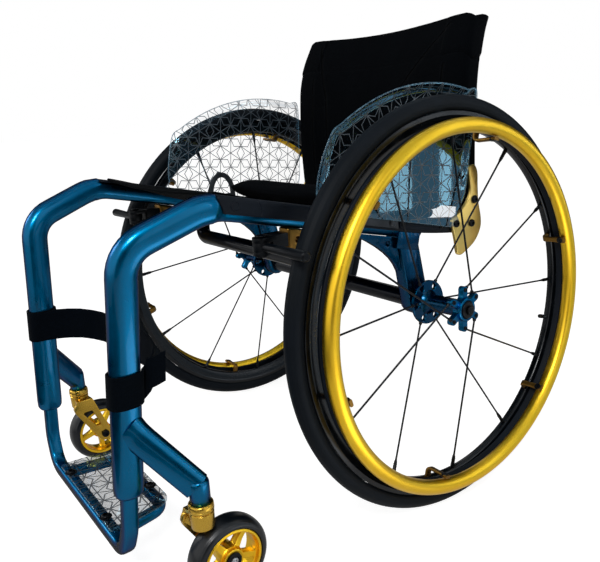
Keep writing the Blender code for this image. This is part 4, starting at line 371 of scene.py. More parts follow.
# From the hub's own axes, X out along the axle and Z up, to the left wheel's place
WHEEL_PLACE = Matrix.Translation((TRACK_HALF, AXLE_Y, AXLE_Z)) @ Matrix.Rotation(-CAMBER, 4, "Y")


# ---- Places and curves


def place(x, forward, height):
    """A point of the chair from its distance in front of the rear axle."""
    return Vector((x, AXLE_Y - forward, height))


STEP = place(STEP_X, STEP_FORWARD, STEP_HEIGHT)
KNEE = place(KNEE_X, KNEE_FORWARD, KNEE_HEIGHT)
FRONT_TUBE = (KNEE - STEP).normalized()


def front_tube_centre(height):
    """The front tube's centre at a height, as a sideways and a forward distance."""
    share = (height - STEP_HEIGHT) / (KNEE_HEIGHT - STEP_HEIGHT)
    return STEP_X + (KNEE_X - STEP_X) * share, STEP_FORWARD + (KNEE_FORWARD - STEP_FORWARD) * share


def seat_line(forward, above=0.0):
    """Height of a line at a square distance above the seat tubes' underside."""
    base = SEAT_BEND_HEIGHT - TUBE_DEPTH / 2 / math.cos(SEAT_SLOPE)
    fall = (SEAT_BEND_FORWARD - forward) * math.tan(SEAT_SLOPE)
    return base - fall + above / math.cos(SEAT_SLOPE)


def seat_point(x, forward, above):
    """A point square above the seat tubes' underside, which lifts towards the rear."""
    behind = (RAIL_LIFT_START - forward) / (RAIL_LIFT_START - RAIL_REAR_FORWARD)
    base = place(x, forward, seat_line(forward) + RAIL_LIFT * max(0.0, behind) ** 1.6)
    return base + Vector((0, math.sin(SEAT_SLOPE), math.cos(SEAT_SLOPE))) * above


def rounded_path(corners, radii, steps=12):
    """A line through corners, with each inner corner turned into an arc of its radius."""
    points = [Vector(corners[0])]
    for before, corner, after, radius in zip(corners, corners[1:], corners[2:], radii):
        corner = Vector(corner)
        back = (Vector(before) - corner).normalized()
        ahead = (Vector(after) - corner).normalized()
        half = back.angle(ahead) / 2
        reach = radius / math.tan(half)
        centre = corner + (back + ahead).normalized() * radius / math.sin(half)
        start = corner + back * reach - centre
        end = corner + ahead * reach - centre
        turn = start.angle(end)
        for step in range(steps + 1):
            share = step / steps
            left = math.sin((1 - share) * turn) / math.sin(turn)
            right = math.sin(share * turn) / math.sin(turn)
            points.append(centre + start * left + end * right)
    points.append(Vector(corners[-1]))
    return points


def resampled(points, spacing):
    """The same line with points at an even spacing."""
    lengths = [0.0]
    for a, b in zip(points, points[1:]):
        lengths.append(lengths[-1] + (b - a).length)
    count = max(2, round(lengths[-1] / spacing))
    made = []
    k = 0
    for i in range(count + 1):
        target = lengths[-1] * i / count
        while k < len(points) - 2 and lengths[k + 1] < target:
            k += 1
        span = lengths[k + 1] - lengths[k]
        made.append(points[k].lerp(points[k + 1], (target - lengths[k]) / span if span else 0.0))
    return made


def heading(points, i):
    """The direction of a line at one of its points."""
    return (points[min(i + 1, len(points) - 1)] - points[max(i - 1, 0)]).normalized()


def path_frames(points, across):
    """For each point, the direction across the chair and the outward direction of a section there."""
    frames = []
    for i, point in enumerate(points):
        ahead = heading(points, i)
        side = (across - ahead * across.dot(ahead)).normalized()
        frames.append((point, side, side.cross(ahead)))
    return frames


def section_ring(point, side, out, section, widen=1.0, deepen=1.0):
    return [point + side * (u * widen) + out * (v * deepen) for u, v in section]


def swept(path, section, across):
    """Rings of one section along a path."""
    return [section_ring(*frame, section) for frame in path_frames(path, across)]


def superellipse(width, depth, power, count):
    """A section between an ellipse and a rectangle, as pairs of sideways and outward distances."""
    points = []
    for i in range(count):
        angle = math.tau * (i + 0.5) / count
        c = math.cos(angle)
        s = math.sin(angle)
        side = math.copysign(abs(c) ** (2 / power), c) * width / 2
        points.append((side, math.copysign(abs(s) ** (2 / power), s) * depth / 2))
    return points


def circle(radius, count):
    turns = [math.tau * i / count for i in range(count)]
    return [(radius * math.cos(turn), radius * math.sin(turn)) for turn in turns]


def arc(centre, radius, start, end, steps):
    """Points of an arc from one angle to another, in degrees."""
    turns = [math.radians(start + (end - start) * i / steps) for i in range(steps + 1)]
    return [(centre[0] + radius * math.cos(t), centre[1] + radius * math.sin(t)) for t in turns]


def polar(angle, radius, along=0.0):
    """A point of a wheel: the angle is from straight up, turning forward."""
    return Vector((along, -radius * math.sin(angle), radius * math.cos(angle)))


def smooth(share):
    share = max(0.0, min(1.0, share))
    return share * share * (3 - 2 * share)


# ---- Shapes


class Shape:
    """Faces gathered for one piece, with flat coordinates in metres that a weave can follow."""

    def __init__(self):
        self.points = []
        self.faces = []
        self.flat = []
        self.slots = []

    def face(self, corners, flat, slot):
        self.faces.append(corners)
        self.flat.append(flat)
        self.slots.append(slot)

    def skin(self, rings, closed=True, looped=False, slot=0):
        """Skins rings of points that follow each other."""
        base = len(self.points)
        count = len(rings[0])
        for ring in rings:
            self.points.extend(ring)
        middle = rings[len(rings) // 2]
        around = [0.0]
        for j in range(count):
            around.append(around[-1] + (middle[(j + 1) % count] - middle[j]).length)
        along = [0.0]
        sampled = range(0, count, max(1, count // 8))
        for a, b in zip(rings, rings[1:] + rings[:1]):
            step = sum((a[j] - b[j]).length for j in sampled)
            along.append(along[-1] + step / len(sampled))
        for i in range(len(rings) if looped else len(rings) - 1):
            n = (i + 1) % len(rings)
            for j in range(count if closed else count - 1):
                k = (j + 1) % count
                corners = [base + i * count + j, base + i * count + k]
                corners += [base + n * count + k, base + n * count + j]
                flat = [(around[j], along[i]), (around[j + 1], along[i])]
                flat += [(around[j + 1], along[i + 1]), (around[j], along[i + 1])]
                self.face(corners, flat, slot)
        if closed and not looped:
            for i in (0, len(rings) - 1):
                corners = [base + i * count + j for j in range(count)]
                self.face(corners, [(around[j], along[i]) for j in range(count)], slot)
        return self

    def turned(self, profile, steps, axis=X, centre=Vector(), slot=0, solid=False, shape=None):
        """Spins a profile of (along, radius) points about an axis. A solid one starts and ends on it.
        The shape function may change a radius with its angle and its number in the profile."""
        out = axis.cross(Y if abs(axis.y) < 0.9 else X).normalized()
        other = axis.cross(out)
        rings = []
        for number, (along, radius) in enumerate(profile):
            ring = []
            middle = centre + axis * along
            for i in range(steps):
                angle = math.tau * i / steps
                r = shape(angle, number, radius) if shape else radius
                ring.append(middle + out * (r * math.cos(angle)) + other * (r * math.sin(angle)))
            rings.append(ring)
        return self.skin(rings, looped=not solid, slot=slot)

    def slab(self, outline, start, thick, edge=0.0, lay=None):
        """A plate between two X positions from an outline of (y, z) points, with its edges rounded.
        Another lay function may say where a depth and a point of the outline go."""
        lay = lay or (lambda deep, y, z: Vector((start + deep, y, z)))
        flat = [Vector(point) for point in outline]
        area = sum(a.x * b.y - b.x * a.y for a, b in zip(flat, flat[1:] + flat[:1]))
        turn = 1 if area > 0 else -1

        def inset(amount):
            made = []
            for i, point in enumerate(flat):
                before = (point - flat[i - 1]).normalized()
                after = (flat[(i + 1) % len(flat)] - point).normalized()
                normal = Vector((-(before + after).y, (before + after).x)) * turn
                made.append(point + normal.normalized() * amount)
            return made

        if edge:
            stations = []
            for step in range(4):
                angle = math.radians(90) * step / 3
                stations.append((edge * (1 - math.sin(angle)), edge * (1 - math.cos(angle))))
            stations += [(inward, thick - deep) for inward, deep in reversed(stations)]
        else:
            stations = [(0, 0), (0, thick)]
        return self.skin([[lay(deep, p.x, p.y) for p in inset(inward)] for inward, deep in stations])

    def screw(self, face, outward, radius=BOLT_HEAD_R, height=BOLT_HEAD_THICK, slot=0):
        """A domed head with a six-sided socket in it."""
        socket = radius * 0.52
        profile = [
            (-0.0006, radius),
            (height * 0.35, radius),
            (height * 0.72, radius * 0.93),
            (height * 0.95, radius * 0.74),
            (height, radius * 0.64),
            (height, socket),
            (height * 0.35, socket),
            (height * 0.30, 0.0002),
        ]

        def hexagon(angle, number, r):
            if number not in (5, 6):
                return r
            return r * 0.87 / math.cos((angle % math.radians(60)) - math.radians(30))

        return self.turned(profile, 24, outward, face, slot, solid=True, shape=hexagon)


def mesh_from(name, shape, mirrored=False):
    points = [(-p.x if mirrored else p.x, p.y, p.z) for p in shape.points]
    mesh = bpy.data.meshes.new(name)
    mesh.from_pydata(points, [], shape.faces)
    layer = mesh.uv_layers.new(name="Flat")
    for number, corner in enumerate(corner for flat in shape.flat for corner in flat):
        layer.data[number].uv = corner
    mesh.polygons.foreach_set("material_index", shape.slots)
    work = bmesh.new()
    work.from_mesh(mesh)
    bmesh.ops.remove_doubles(work, verts=work.verts, dist=1e-7)
    bmesh.ops.recalc_face_normals(work, faces=work.faces)
    work.to_mesh(mesh)
    work.free()
    return mesh


def add_object(name, mesh, materials, sharp=35):
    for made in materials:
        mesh.materials.append(made)
    mesh.shade_smooth()
    if sharp:
        mesh.set_sharp_from_angle(angle=math.radians(sharp))
    obj = bpy.data.objects.new(name, mesh)
    bpy.context.scene.collection.objects.link(obj)
    return obj


def piece(name, shape, materials, body, mirrored=False, sharp=35):
    """Makes an object from a shape, riding on a body."""
    obj = add_object(name, mesh_from(name, shape, mirrored), materials, sharp)
    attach(obj, body)
    return obj


def dress(node, ending, shape, materials, mirrored=False, sharp=35):
    """Makes the object that stands for a CAD node and moves as that does."""
    obj = piece(node + ending, shape, materials, NODE_BODY[node], mirrored, sharp)
    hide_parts(node)
    return obj


def cut(obj, shape, mirrored, operation="DIFFERENCE"):
    """Cuts a shape out of an object, or joins it, and keeps the result."""
    helper = add_object("helper", mesh_from("helper", shape, mirrored), [], None)
    modifier = obj.modifiers.new("cut", "BOOLEAN")
    modifier.operation = operation
    modifier.object = helper
    modifier.solver = "EXACT"
    settle(obj)
    bpy.data.objects.remove(helper)


def settle(obj):
    """Applies all modifiers of an object."""
    graph = bpy.context.evaluated_depsgraph_get()
    graph.update()
    mesh = bpy.data.meshes.new_from_object(obj.evaluated_get(graph))
    obj.modifiers.clear()
    obj.data = mesh


def soften(obj, width, segments=2, angle=40):
    """Rounds an object's edges."""
    modifier = obj.modifiers.new("soft edges", "BEVEL")
    modifier.width = width
    modifier.segments = segments
    modifier.limit_method = "ANGLE"
    modifier.angle_limit = math.radians(angle)
    modifier.harden_normals = False
    settle(obj)
    obj.data.set_sharp_from_angle(angle=math.radians(35))


# ---- Materials

STITCH_TURN = 1900.0
STITCH_BESIDE = 0.0042
STAR_SPACING = 0.044
STAR_INNER = 0.315
STAR_TILT = math.radians(5.6)


def tone(red, green, blue):
    """A colour written in the usual 0 to 255 steps."""
    made = []
    for value in (red, green, blue):
        value /= 255
        made.append(value / 12.92 if value < 0.04045 else ((value + 0.055) / 1.055) ** 2.4)
    return (*made, 1.0)


class Nodes:
    """Adds nodes to a tree and joins them."""

    def __init__(self, tree):
        self.tree = tree

    def feed(self, socket, value):
        if isinstance(value, bpy.types.NodeSocket):
            self.tree.links.new(value, socket)
        else:
            socket.default_value = value

    def add(self, kind, inputs=None, output=0, **settings):
        node = self.tree.nodes.new(kind)
        for key, value in settings.items():
            setattr(node, key, value)
        for key, value in (inputs or {}).items():
            self.feed(node.inputs[key], value)
        return node.outputs[output]

    def axes(self, where):
        """The X, Y and Z of a place."""
        node = self.tree.nodes.new("ShaderNodeSeparateXYZ")
        self.feed(node.inputs[0], where)
        return node.outputs

    def ray(self, kind):
        """1 for a ray of this kind, else 0."""
        return self.add("ShaderNodeLightPath", output="Is %s Ray" % kind)

    def math(self, operation, a, b=0.0, clamp=False):
        return self.add("ShaderNodeMath", {0: a, 1: b}, operation=operation, use_clamp=clamp)

    def weighted(self, a, share_a, b, share_b):
        return self.math("ADD", self.math("MULTIPLY", a, share_a), self.math("MULTIPLY", b, share_b))

    def ramp(self, value, low, high, start=0.0, end=1.0):
        """Maps a value from low-high to start-end and stops there."""
        inputs = {"Value": value, "From Min": low, "From Max": high, "To Min": start, "To Max": end}
        return self.add("ShaderNodeMapRange", inputs)

    def mix(self, share, first, second):
        return self.add("ShaderNodeMix", {0: share, 6: first, 7: second}, 2, data_type="RGBA")


class Finish(Nodes):
    """A Principled material and the nodes that paint it."""

    def __init__(self, name, colour, roughness, metallic=0.0, **sockets):
        self.material = bpy.data.materials.new(name)
        self.material.use_nodes = True
        super().__init__(self.material.node_tree)
        self.shader = self.tree.nodes["Principled BSDF"]
        self.height = None
        self.give("Base Color", colour)
        self.give("Roughness", roughness)
        self.give("Metallic", metallic)
        for key, value in sockets.items():
            self.give(key.replace("_", " "), value)
        where = self.tree.nodes.new("ShaderNodeTexCoord")
        self.solid = where.outputs["Object"]
        self.flat = where.outputs["UV"]

    def give(self, key, value):
        self.feed(self.shader.inputs[key], value)

    def stretched(self, where, scale):
        return self.add("ShaderNodeVectorMath", {0: where, 1: scale}, operation="MULTIPLY")

    def noise(self, scale, detail=3.0, where=None, rough=0.5):
        inputs = {"Vector": where or self.solid, "Scale": scale, "Detail": detail, "Roughness": rough}
        return self.add("ShaderNodeTexNoise", inputs)

    def bump(self, height, distance, strength=1.0):
        """Raises the surface by nodes, over any bump that was given before."""
        inputs = {"Height": height, "Distance": distance, "Strength": strength}
        if self.height:
            inputs["Normal"] = self.height
        self.height = self.add("ShaderNodeBump", inputs)
        self.give("Normal", self.height)


def lacquer(name, deep, bright, roughness, metallic=1.0):
    """Metallic paint under a clear coat: flakes and a faint ripple."""
    made = Finish(name, deep, roughness, metallic, Coat_Weight=0.24, Coat_Roughness=0.03)
    made.give("Specular Tint", tone(0, 34, 60))
    cells = {"Vector": made.solid, "Scale": 2600.0}
    flakes = made.add("ShaderNodeTexVoronoi", cells, "Color", feature="F1")
    spark = made.add("ShaderNodeSeparateColor", {0: flakes})
    share = made.weighted(spark, 0.35, made.noise(22.0, 2.0), 0.6)
    made.give("Base Color", made.mix(share, deep, bright))
    cloud = made.noise(60.0, 4.0)
    made.give("Roughness", made.ramp(cloud, 0.3, 0.7, roughness - 0.03, roughness + 0.05))
    made.bump(made.noise(900.0, 1.0), 0.00002, 0.3)
    return made.material


def anodised(name, deep, bright, roughness):
    """Coloured aluminium with its fine drawn lines."""
    made = Finish(name, deep, roughness, 1.0)
    lines = made.noise(90.0, 4.0, made.stretched(made.flat, (30.0, 1.5, 1.0)))
    made.give("Base Color", made.mix(made.weighted(lines, 0.5, made.noise(30.0), 0.5), deep, bright))
    made.give("Roughness", made.ramp(lines, 0.3, 0.7, roughness - 0.05, roughness + 0.09))
    made.bump(lines, 0.00002, 0.3)
    return made.material


def dark_metal(name, deep, bright, roughness=0.36, metallic=0.45, shine=0.28):
    """Black coated metal with a faint texture and softer, greyer spots."""
    made = Finish(name, deep, roughness, metallic, Specular_IOR_Level=shine)
    cloud = made.noise(35.0, 5.0)
    made.give("Base Color", made.mix(made.ramp(cloud, 0.35, 0.72), deep, bright))
    made.give("Roughness", made.ramp(cloud, 0.3, 0.7, roughness - 0.06, roughness + 0.12))
    made.bump(made.noise(1800.0, 2.0), 0.00005, 0.5)
    return made.material


def moulded(name, deep, bright, roughness=0.5, grain=0.00012):
    """Moulded plastic with its eroded grain."""
    made = Finish(name, deep, roughness, Specular_IOR_Level=0.14)
    cells = made.add("ShaderNodeTexVoronoi", {"Vector": made.solid, "Scale": 900.0}, "Distance")
    cloud = made.noise(18.0, 4.0)
    made.give("Base Color", made.mix(made.ramp(cloud, 0.35, 0.7), deep, bright))
    made.give("Roughness", made.ramp(cloud, 0.3, 0.7, roughness - 0.06, roughness + 0.08))
    made.bump(cells, grain, 0.6)
    made.bump(made.noise(2400.0, 1.0), grain / 2, 0.5)
    return made.material


def rubber(name, deep, bright, dust, tread_low, tread_high, roughness=0.56, shine=0.12):
    """Tyre rubber: a fine moulded grain, and a paler worn band where it rolls on the ground.
    The band lies between two places across the flat coordinates."""
    made = Finish(name, deep, roughness, Specular_IOR_Level=shine)
    middle = (tread_low + tread_high) / 2
    away = made.math("ABSOLUTE", made.math("SUBTRACT", made.axes(made.flat)["X"], middle))
    tread = made.ramp(away, (tread_high - tread_low) / 2, 0.0)
    marks = made.noise(45.0, 6.0, rough=0.65)
    worn = made.math("MULTIPLY", tread, made.ramp(marks, 0.36, 0.66), clamp=True)
    plain = made.mix(made.noise(25.0), deep, bright)
    made.give("Base Color", made.mix(made.math("MULTIPLY", worn, 0.75), plain, dust))
    made.give("Roughness", made.ramp(worn, 0.0, 1.0, roughness, roughness + 0.3))
    made.bump(made.noise(1500.0, 3.0), 0.00012, roughness)
    return made.material


def woven(name, deep, bright, pitch=0.0011, depth=0.00022, lie=None, seams=()):
    """Plain-woven cloth: over and under threads, uneven yarn and a soft sheen. The threads follow the
    mesh's own map, or lie along two axes. A seam is two points on those axes or on X and Z."""
    made = Finish(name, deep, 0.86, Sheen_Weight=0.008, Sheen_Roughness=0.5, Specular_IOR_Level=0.03)
    spot = made.axes(made.solid if lie else made.flat)
    waves = [
        made.math("SINE", made.math("MULTIPLY", spot[axis], math.pi / pitch)) for axis in lie or (0, 1)
    ]
    over = made.math("GREATER_THAN", made.math("MULTIPLY", *waves), 0.0)
    warp, weft = [made.math("ABSOLUTE", wave) for wave in waves]
    threads = made.weighted(warp, over, weft, made.math("SUBTRACT", 1.0, over))
    yarn = made.noise(700.0, 2.0, made.stretched(made.solid, (1.0, 0.12, 1.0)))
    share = made.math("MULTIPLY", threads, made.ramp(yarn, 0.3, 0.7, 0.35, 1.0))
    share = made.math("MULTIPLY", share, made.ramp(made.noise(14.0, 4.0), 0.3, 0.7, 0.5, 1.0))
    colour = made.mix(share, deep, bright)
    if seams:
        spot = made.axes(made.solid)
        first, second = lie or (0, 2)
        groove = stitch = 0.0
        for start, end in seams:
            away, along = to_line(made, spot[first], spot[second], start, end)
            turn = made.math("SINE", made.math("MULTIPLY", along, STITCH_TURN))
            beside = made.math("ABSOLUTE", made.math("SUBTRACT", away, STITCH_BESIDE))
            dash = made.math("GREATER_THAN", turn, -0.2)
            thread = made.math("MULTIPLY", made.ramp(beside, 0.0006, 0.0003), dash)
            groove = made.math("MAXIMUM", groove, made.ramp(away, 0.0020, 0.0003))
            stitch = made.math("MAXIMUM", stitch, thread)
        # Painted shade: the seam grooves are darkened towards black. The stitches keep the thread's own
        # paler colour
        colour = made.mix(made.math("MULTIPLY", groove, 0.8), colour, tone(0, 0, 0))
        colour = made.mix(made.math("MULTIPLY", stitch, 0.7), colour, tone(16, 18, 23))
        made.bump(groove, -0.0012, 0.9)
        made.bump(stitch, 0.0003, 0.8)
    made.give("Base Color", colour)
    made.give("Roughness", made.ramp(threads, 0.0, 1.0, 0.95, 0.80))
    made.bump(threads, depth, 0.5)
    return made.material


def to_line(made, x, y, start, end):
    """How far a point is from a straight line, and how far along it, by nodes."""
    run = Vector(end) - Vector(start)
    unit = run.normalized()
    off_x = made.math("SUBTRACT", x, start[0])
    off_y = made.math("SUBTRACT", y, start[1])
    along = made.weighted(off_x, unit.x, off_y, unit.y)
    side = made.weighted(off_y, unit.x, off_x, -unit.y)
    half = run.length / 2
    past = made.math("SUBTRACT", made.math("ABSOLUTE", made.math("SUBTRACT", along, half)), half)
    return made.math("MAXIMUM", made.math("ABSOLUTE", side), past), along


def lattice_lines(made, across, up, line):
    """Folds the net of stars to one wedge, and draws a ray and one side of a point there."""
    cells = []
    for shift in (0.0, 0.5):
        cell = []
        for value, pitch in ((across, STAR_SPACING), (up, STAR_SPACING * math.sqrt(3))):
            value = made.math("ADD", made.math("DIVIDE", value, pitch), shift)
            value = made.math("SUBTRACT", value, made.math("ROUND", value))
            cell.append(made.math("ABSOLUTE", made.math("MULTIPLY", value, pitch)))
        x, y = cell
        cells.append((x, y, made.math("SQRT", made.weighted(x, x, y, y))))
    nearer = made.math("LESS_THAN", cells[0][2], cells[1][2])
    farther = made.math("SUBTRACT", 1.0, nearer)
    x, y = [made.weighted(cells[0][k], nearer, cells[1][k], farther) for k in (0, 1)]
    wedge = math.radians(30)
    normal = Vector((-math.sin(wedge), math.cos(wedge)))
    for _ in range(2):
        side = made.weighted(x, normal.x, y, normal.y)
        back = made.math("MULTIPLY", made.math("MAXIMUM", side, 0.0), -2.0)
        x = made.math("ADD", x, made.math("MULTIPLY", back, normal.x))
        y = made.math("ABSOLUTE", made.math("ADD", y, made.math("MULTIPLY", back, normal.y)))
    tip = Vector((math.cos(wedge), math.sin(wedge))) * (STAR_SPACING / math.sqrt(3))
    starts = [Vector((0.0, 0.0)), Vector((STAR_SPACING * STAR_INNER, 0.0))]
    nearest = made.math("MINIMUM", *[to_line(made, x, y, start, tip)[0] for start in starts])
    return made.ramp(nearest, line / 2 + 0.0002, line / 2 - 0.0002)


def clear_sheet(name, origin=None, level=False, tilt=0.0, ink=None, line=0.0, cover=0.0, least=0.03):
    """Clear plastic that mirrors a little, with a printed net of stars where an origin is given: the
    middle of one star as (x, y, z). The level says if the sheet lies flat, and the tilt turns the net.
    A line has its ink, width and cover. The least is how much shows of the plastic, seen square on."""
    tint = tone(150, 205, 228)
    made = Finish(name, tint, 0.03, 1.0)
    dust = made.ramp(made.noise(55.0, 6.0, rough=0.7), 0.55, 0.8)
    if not origin:
        made.give("Alpha", made.ramp(dust, 0.0, 1.0, 0.01, 0.03))
        made.give("Roughness", made.ramp(dust, 0.0, 1.0, 0.02, 0.10))
        return made.material
    glance = made.add("ShaderNodeLayerWeight", {"Blend": 0.5}, "Facing")
    steep = made.math("POWER", made.ramp(glance, 0.14, 0.85), 1.1)
    film = made.ramp(steep, 0.0, 1.0, least, 0.75)
    spot = made.axes(made.solid)
    along = made.math("SUBTRACT", spot["Y"], origin[1])
    axis = 0 if level else 2
    up = made.math("SUBTRACT", spot[axis], origin[axis])
    c = math.cos(tilt)
    s = math.sin(tilt)
    across = made.weighted(along, c, up, -s)
    lines = lattice_lines(made, across, made.weighted(along, s, up, c), line)
    if level:
        lines = made.math("MULTIPLY", lines, made.math("GREATER_THAN", spot["Z"], origin[2]))
    made.give("Alpha", made.math("MAXIMUM", film, made.math("MULTIPLY", lines, cover), clamp=True))
    made.give("Base Color", made.mix(lines, tint, tone(*ink)))
    made.give("Metallic", made.math("SUBTRACT", 1.0, lines))
    made.give("Roughness", made.ramp(lines, 0.0, 1.0, 0.03, 0.5))
    return made.material


def clear_edge(name):
    """The sawn and polished edge of the clear plastic, which gathers light."""
    made = Finish(name, tone(60, 110, 140), 0.18, Specular_IOR_Level=0.6)
    bands = made.noise(120.0, 3.0)
    made.give("Alpha", made.ramp(bands, 0.3, 0.7, 0.35, 0.70))
    made.give("Base Color", made.mix(bands, tone(24, 66, 96), tone(120, 164, 186)))
    return made.material


BLUE = lacquer("blue lacquer", tone(0, 86, 124), tone(0, 112, 160), 0.30)
# A shaded copy of the frame's blue lacquer, painted darker: the rear posts, back canes, hub discs and
# barrels and post caps are the same blue as the frame, painted with the shade they lie in
BLUE_SHADED = lacquer("shaded blue lacquer", tone(0, 48, 74), tone(0, 78, 116), 0.26)
DARK_TUBE = lacquer("dark lacquer", tone(0, 4, 14), tone(3, 10, 26), 0.34, 0.35)
GOLD = anodised("gold anodised", tone(244, 186, 22), tone(255, 216, 66), 0.32)
BRASS = anodised("brass anodised", tone(178, 136, 40), tone(226, 186, 82), 0.24)
CHAMPAGNE = anodised("pale gold anodised", tone(226, 186, 92), tone(250, 222, 138), 0.32)
BRONZE = anodised("bronze", tone(96, 70, 30), tone(150, 112, 52), 0.36)
BLACK = dark_metal("black metal", tone(3, 5, 9), tone(12, 16, 21))
RIM_BLACK = dark_metal("glossy black rim", tone(3, 6, 10), tone(10, 15, 21), 0.17, 0.3, 0.5)
SPOKE_BLACK = dark_metal("spoke black", tone(10, 11, 14), tone(24, 26, 30), 0.3)
GREY = dark_metal("dark grey metal", tone(42, 45, 49), tone(66, 70, 75), 0.4)
PLASTIC = moulded("black plastic", tone(7, 12, 20), tone(16, 24, 34))
TYRE = rubber("tyre rubber", tone(3, 8, 13), tone(10, 17, 25), tone(30, 38, 46), 0.012, 0.040)
CASTER_RUBBER = rubber(
    "caster rubber", tone(2, 5, 9), tone(8, 14, 21), tone(24, 30, 36), 0.0, 0.03, 0.30, 0.45
)
CLOTH = woven("black cloth", tone(0, 1, 3), tone(6, 9, 13))
BACK_FINISH = woven("backrest cloth", tone(0, 1, 3), tone(6, 9, 13), seams=BACK_SEAMS)
FLAP_FINISH = woven("flap cloth", tone(0, 1, 3), tone(7, 10, 14), lie=(0, 1), seams=FLAP_SEAMS)
WEBBING = woven("strap webbing", tone(2, 5, 9), tone(10, 17, 26), 0.0018, 0.0004)
STEEL = anodised("steel", tone(150, 152, 155), tone(190, 192, 195), 0.3)
CLEAR = clear_sheet("clear sheet")
# One star print on both guards, painted as a lit and a shaded copy: the left guard's lines in a paler ink
# than the right guard's
CLEAR_STARS = {
    "L": clear_sheet(
        "clear sheet with stars left", (0.0, 0.08535, 0.4692), tilt=STAR_TILT,
        ink=(104, 110, 116), line=0.0013, cover=0.66, least=0.14,
    ),
    "R": clear_sheet(
        "clear sheet with stars right", (0.0, 0.07245, 0.5066), tilt=STAR_TILT,
        ink=(72, 78, 86), line=0.0015, cover=0.85,
    ),
}
CLEAR_FLAT = clear_sheet(
    "clear footplate", (0.0075, -0.3674, FOOT_BAR_TOP + GAP + PLATE_THICK / 2), level=True,
    ink=(24, 32, 42), line=0.0021, cover=0.9,
)
CLEAR_EDGE = clear_edge("clear edge")
SLOT_FINISH = {
    "frame_blue": BLUE,
    "dark_tube": DARK_TUBE,
    "gold_anodised": GOLD,
    "black_metal": BLACK,
    "black_plastic": PLASTIC,
    "tyre_rubber": TYRE,
    "black_cloth": CLOTH,
    "clear_sheet": CLEAR,
    "steel": STEEL,
}


# ---- Frame


def side_tube(name, mirrored):
    """The bent side tube: a socket for the footrest at its foot, and its slim end under the rail."""
    half = TUBE_DEPTH / 2
    bend = seat_point(SEAT_X, TUBE_BEND_FORWARD, half - TUBE_BEND_DROP)
    rail_start = seat_point(SEAT_X, RAIL_FRONT_FORWARD - 0.03, half)
    path = rounded_path([STEP, KNEE, bend, rail_start], [KNEE_BEND_R, SEAT_BEND_R], 16)
    nose = seat_point(SEAT_X, RAIL_FRONT_FORWARD, half - TUBE_NOSE_DROP)
    path = [point for point in resampled(path, 0.007) if point.y < nose.y - 0.004]
    full = superellipse(TUBE_WIDTH, TUBE_DEPTH, TUBE_SQUARENESS, TUBE_SIDES)
    bore = superellipse(
        FOOT_BAR_HEIGHT + 2 * GAP, FOOT_BAR_DEPTH + 2 * GAP, FOOT_SQUARENESS, TUBE_SIDES
    )
    slim = superellipse(SEAT_TUBE_WIDTH, SEAT_TUBE_HEIGHT, TUBE_SQUARENESS, TUBE_SIDES)
    frames = path_frames(path, X)
    foot, side, out = frames[0]
    rings = [section_ring(foot + FRONT_TUBE * FOOT_INSERT * 0.9, side, out, bore)]
    rings.append(section_ring(foot, side, out, bore))
    for rise, scale in ((-0.0006, 0.74), (0.0, 0.80), (0.0022, 0.90), (0.0052, 0.97)):
        rings.append(section_ring(foot + FRONT_TUBE * rise, side, out, full, scale, scale))
    rings += [section_ring(*frame, full) for frame in frames[2:]]
    out = Vector((0, math.sin(SEAT_SLOPE), math.cos(SEAT_SLOPE)))
    rings.append(section_ring(nose, X, out, full))
    for back, share in ((0.003, 0.12), (0.006, 0.4), (0.011, 0.75), (0.018, 0.94), (0.03, 1.0)):
        centre = seat_point(
            SEAT_X + (SEAT_TUBE_X - SEAT_X) * share,
            RAIL_FRONT_FORWARD - back,
            half + (SEAT_TUBE_HEIGHT / 2 - half) * share - TUBE_NOSE_DROP * (1 - share),
        )
        section = [(a + (c - a) * share, b + (d - b) * share) for (a, b), (c, d) in zip(full, slim)]
        rings.append(section_ring(centre, X, out, section))
    end = SEAT_TUBE_END_FORWARD
    for forward, shrink in ((RAIL_FRONT_FORWARD - 0.1, 1.0), (end + 0.002, 1.0), (end, 0.9)):
        centre = seat_point(SEAT_TUBE_X, forward, SEAT_TUBE_HEIGHT / 2)
        rings.append(section_ring(centre, X, out, slim, shrink, shrink))
    dress(name, "_tube", Shape().skin(rings), [BLUE], mirrored)


def foot_rings(path, count=32):
    """Sections of the footrest's tube along a path, with their outer side forward or down."""
    section = superellipse(FOOT_BAR_HEIGHT, FOOT_BAR_DEPTH, FOOT_SQUARENESS, count)
    rings = []
    for i, point in enumerate(path):
        ahead = heading(path, i)
        out = (-Y - ahead * (-Y).dot(ahead)).normalized()
        rings.append(section_ring(point, ahead.cross(out), out, section))
    return rings


def plate_screw_places():
    front = FOOT_BAR_FORWARD
    rear = front - FOOT_LOOP_REACH
    spots = ((PLATE_SCREW_FRONT_X, front), (PLATE_SCREW_REAR_X, rear))
    return [(side * x, forward) for side in (1, -1) for x, forward in spots]


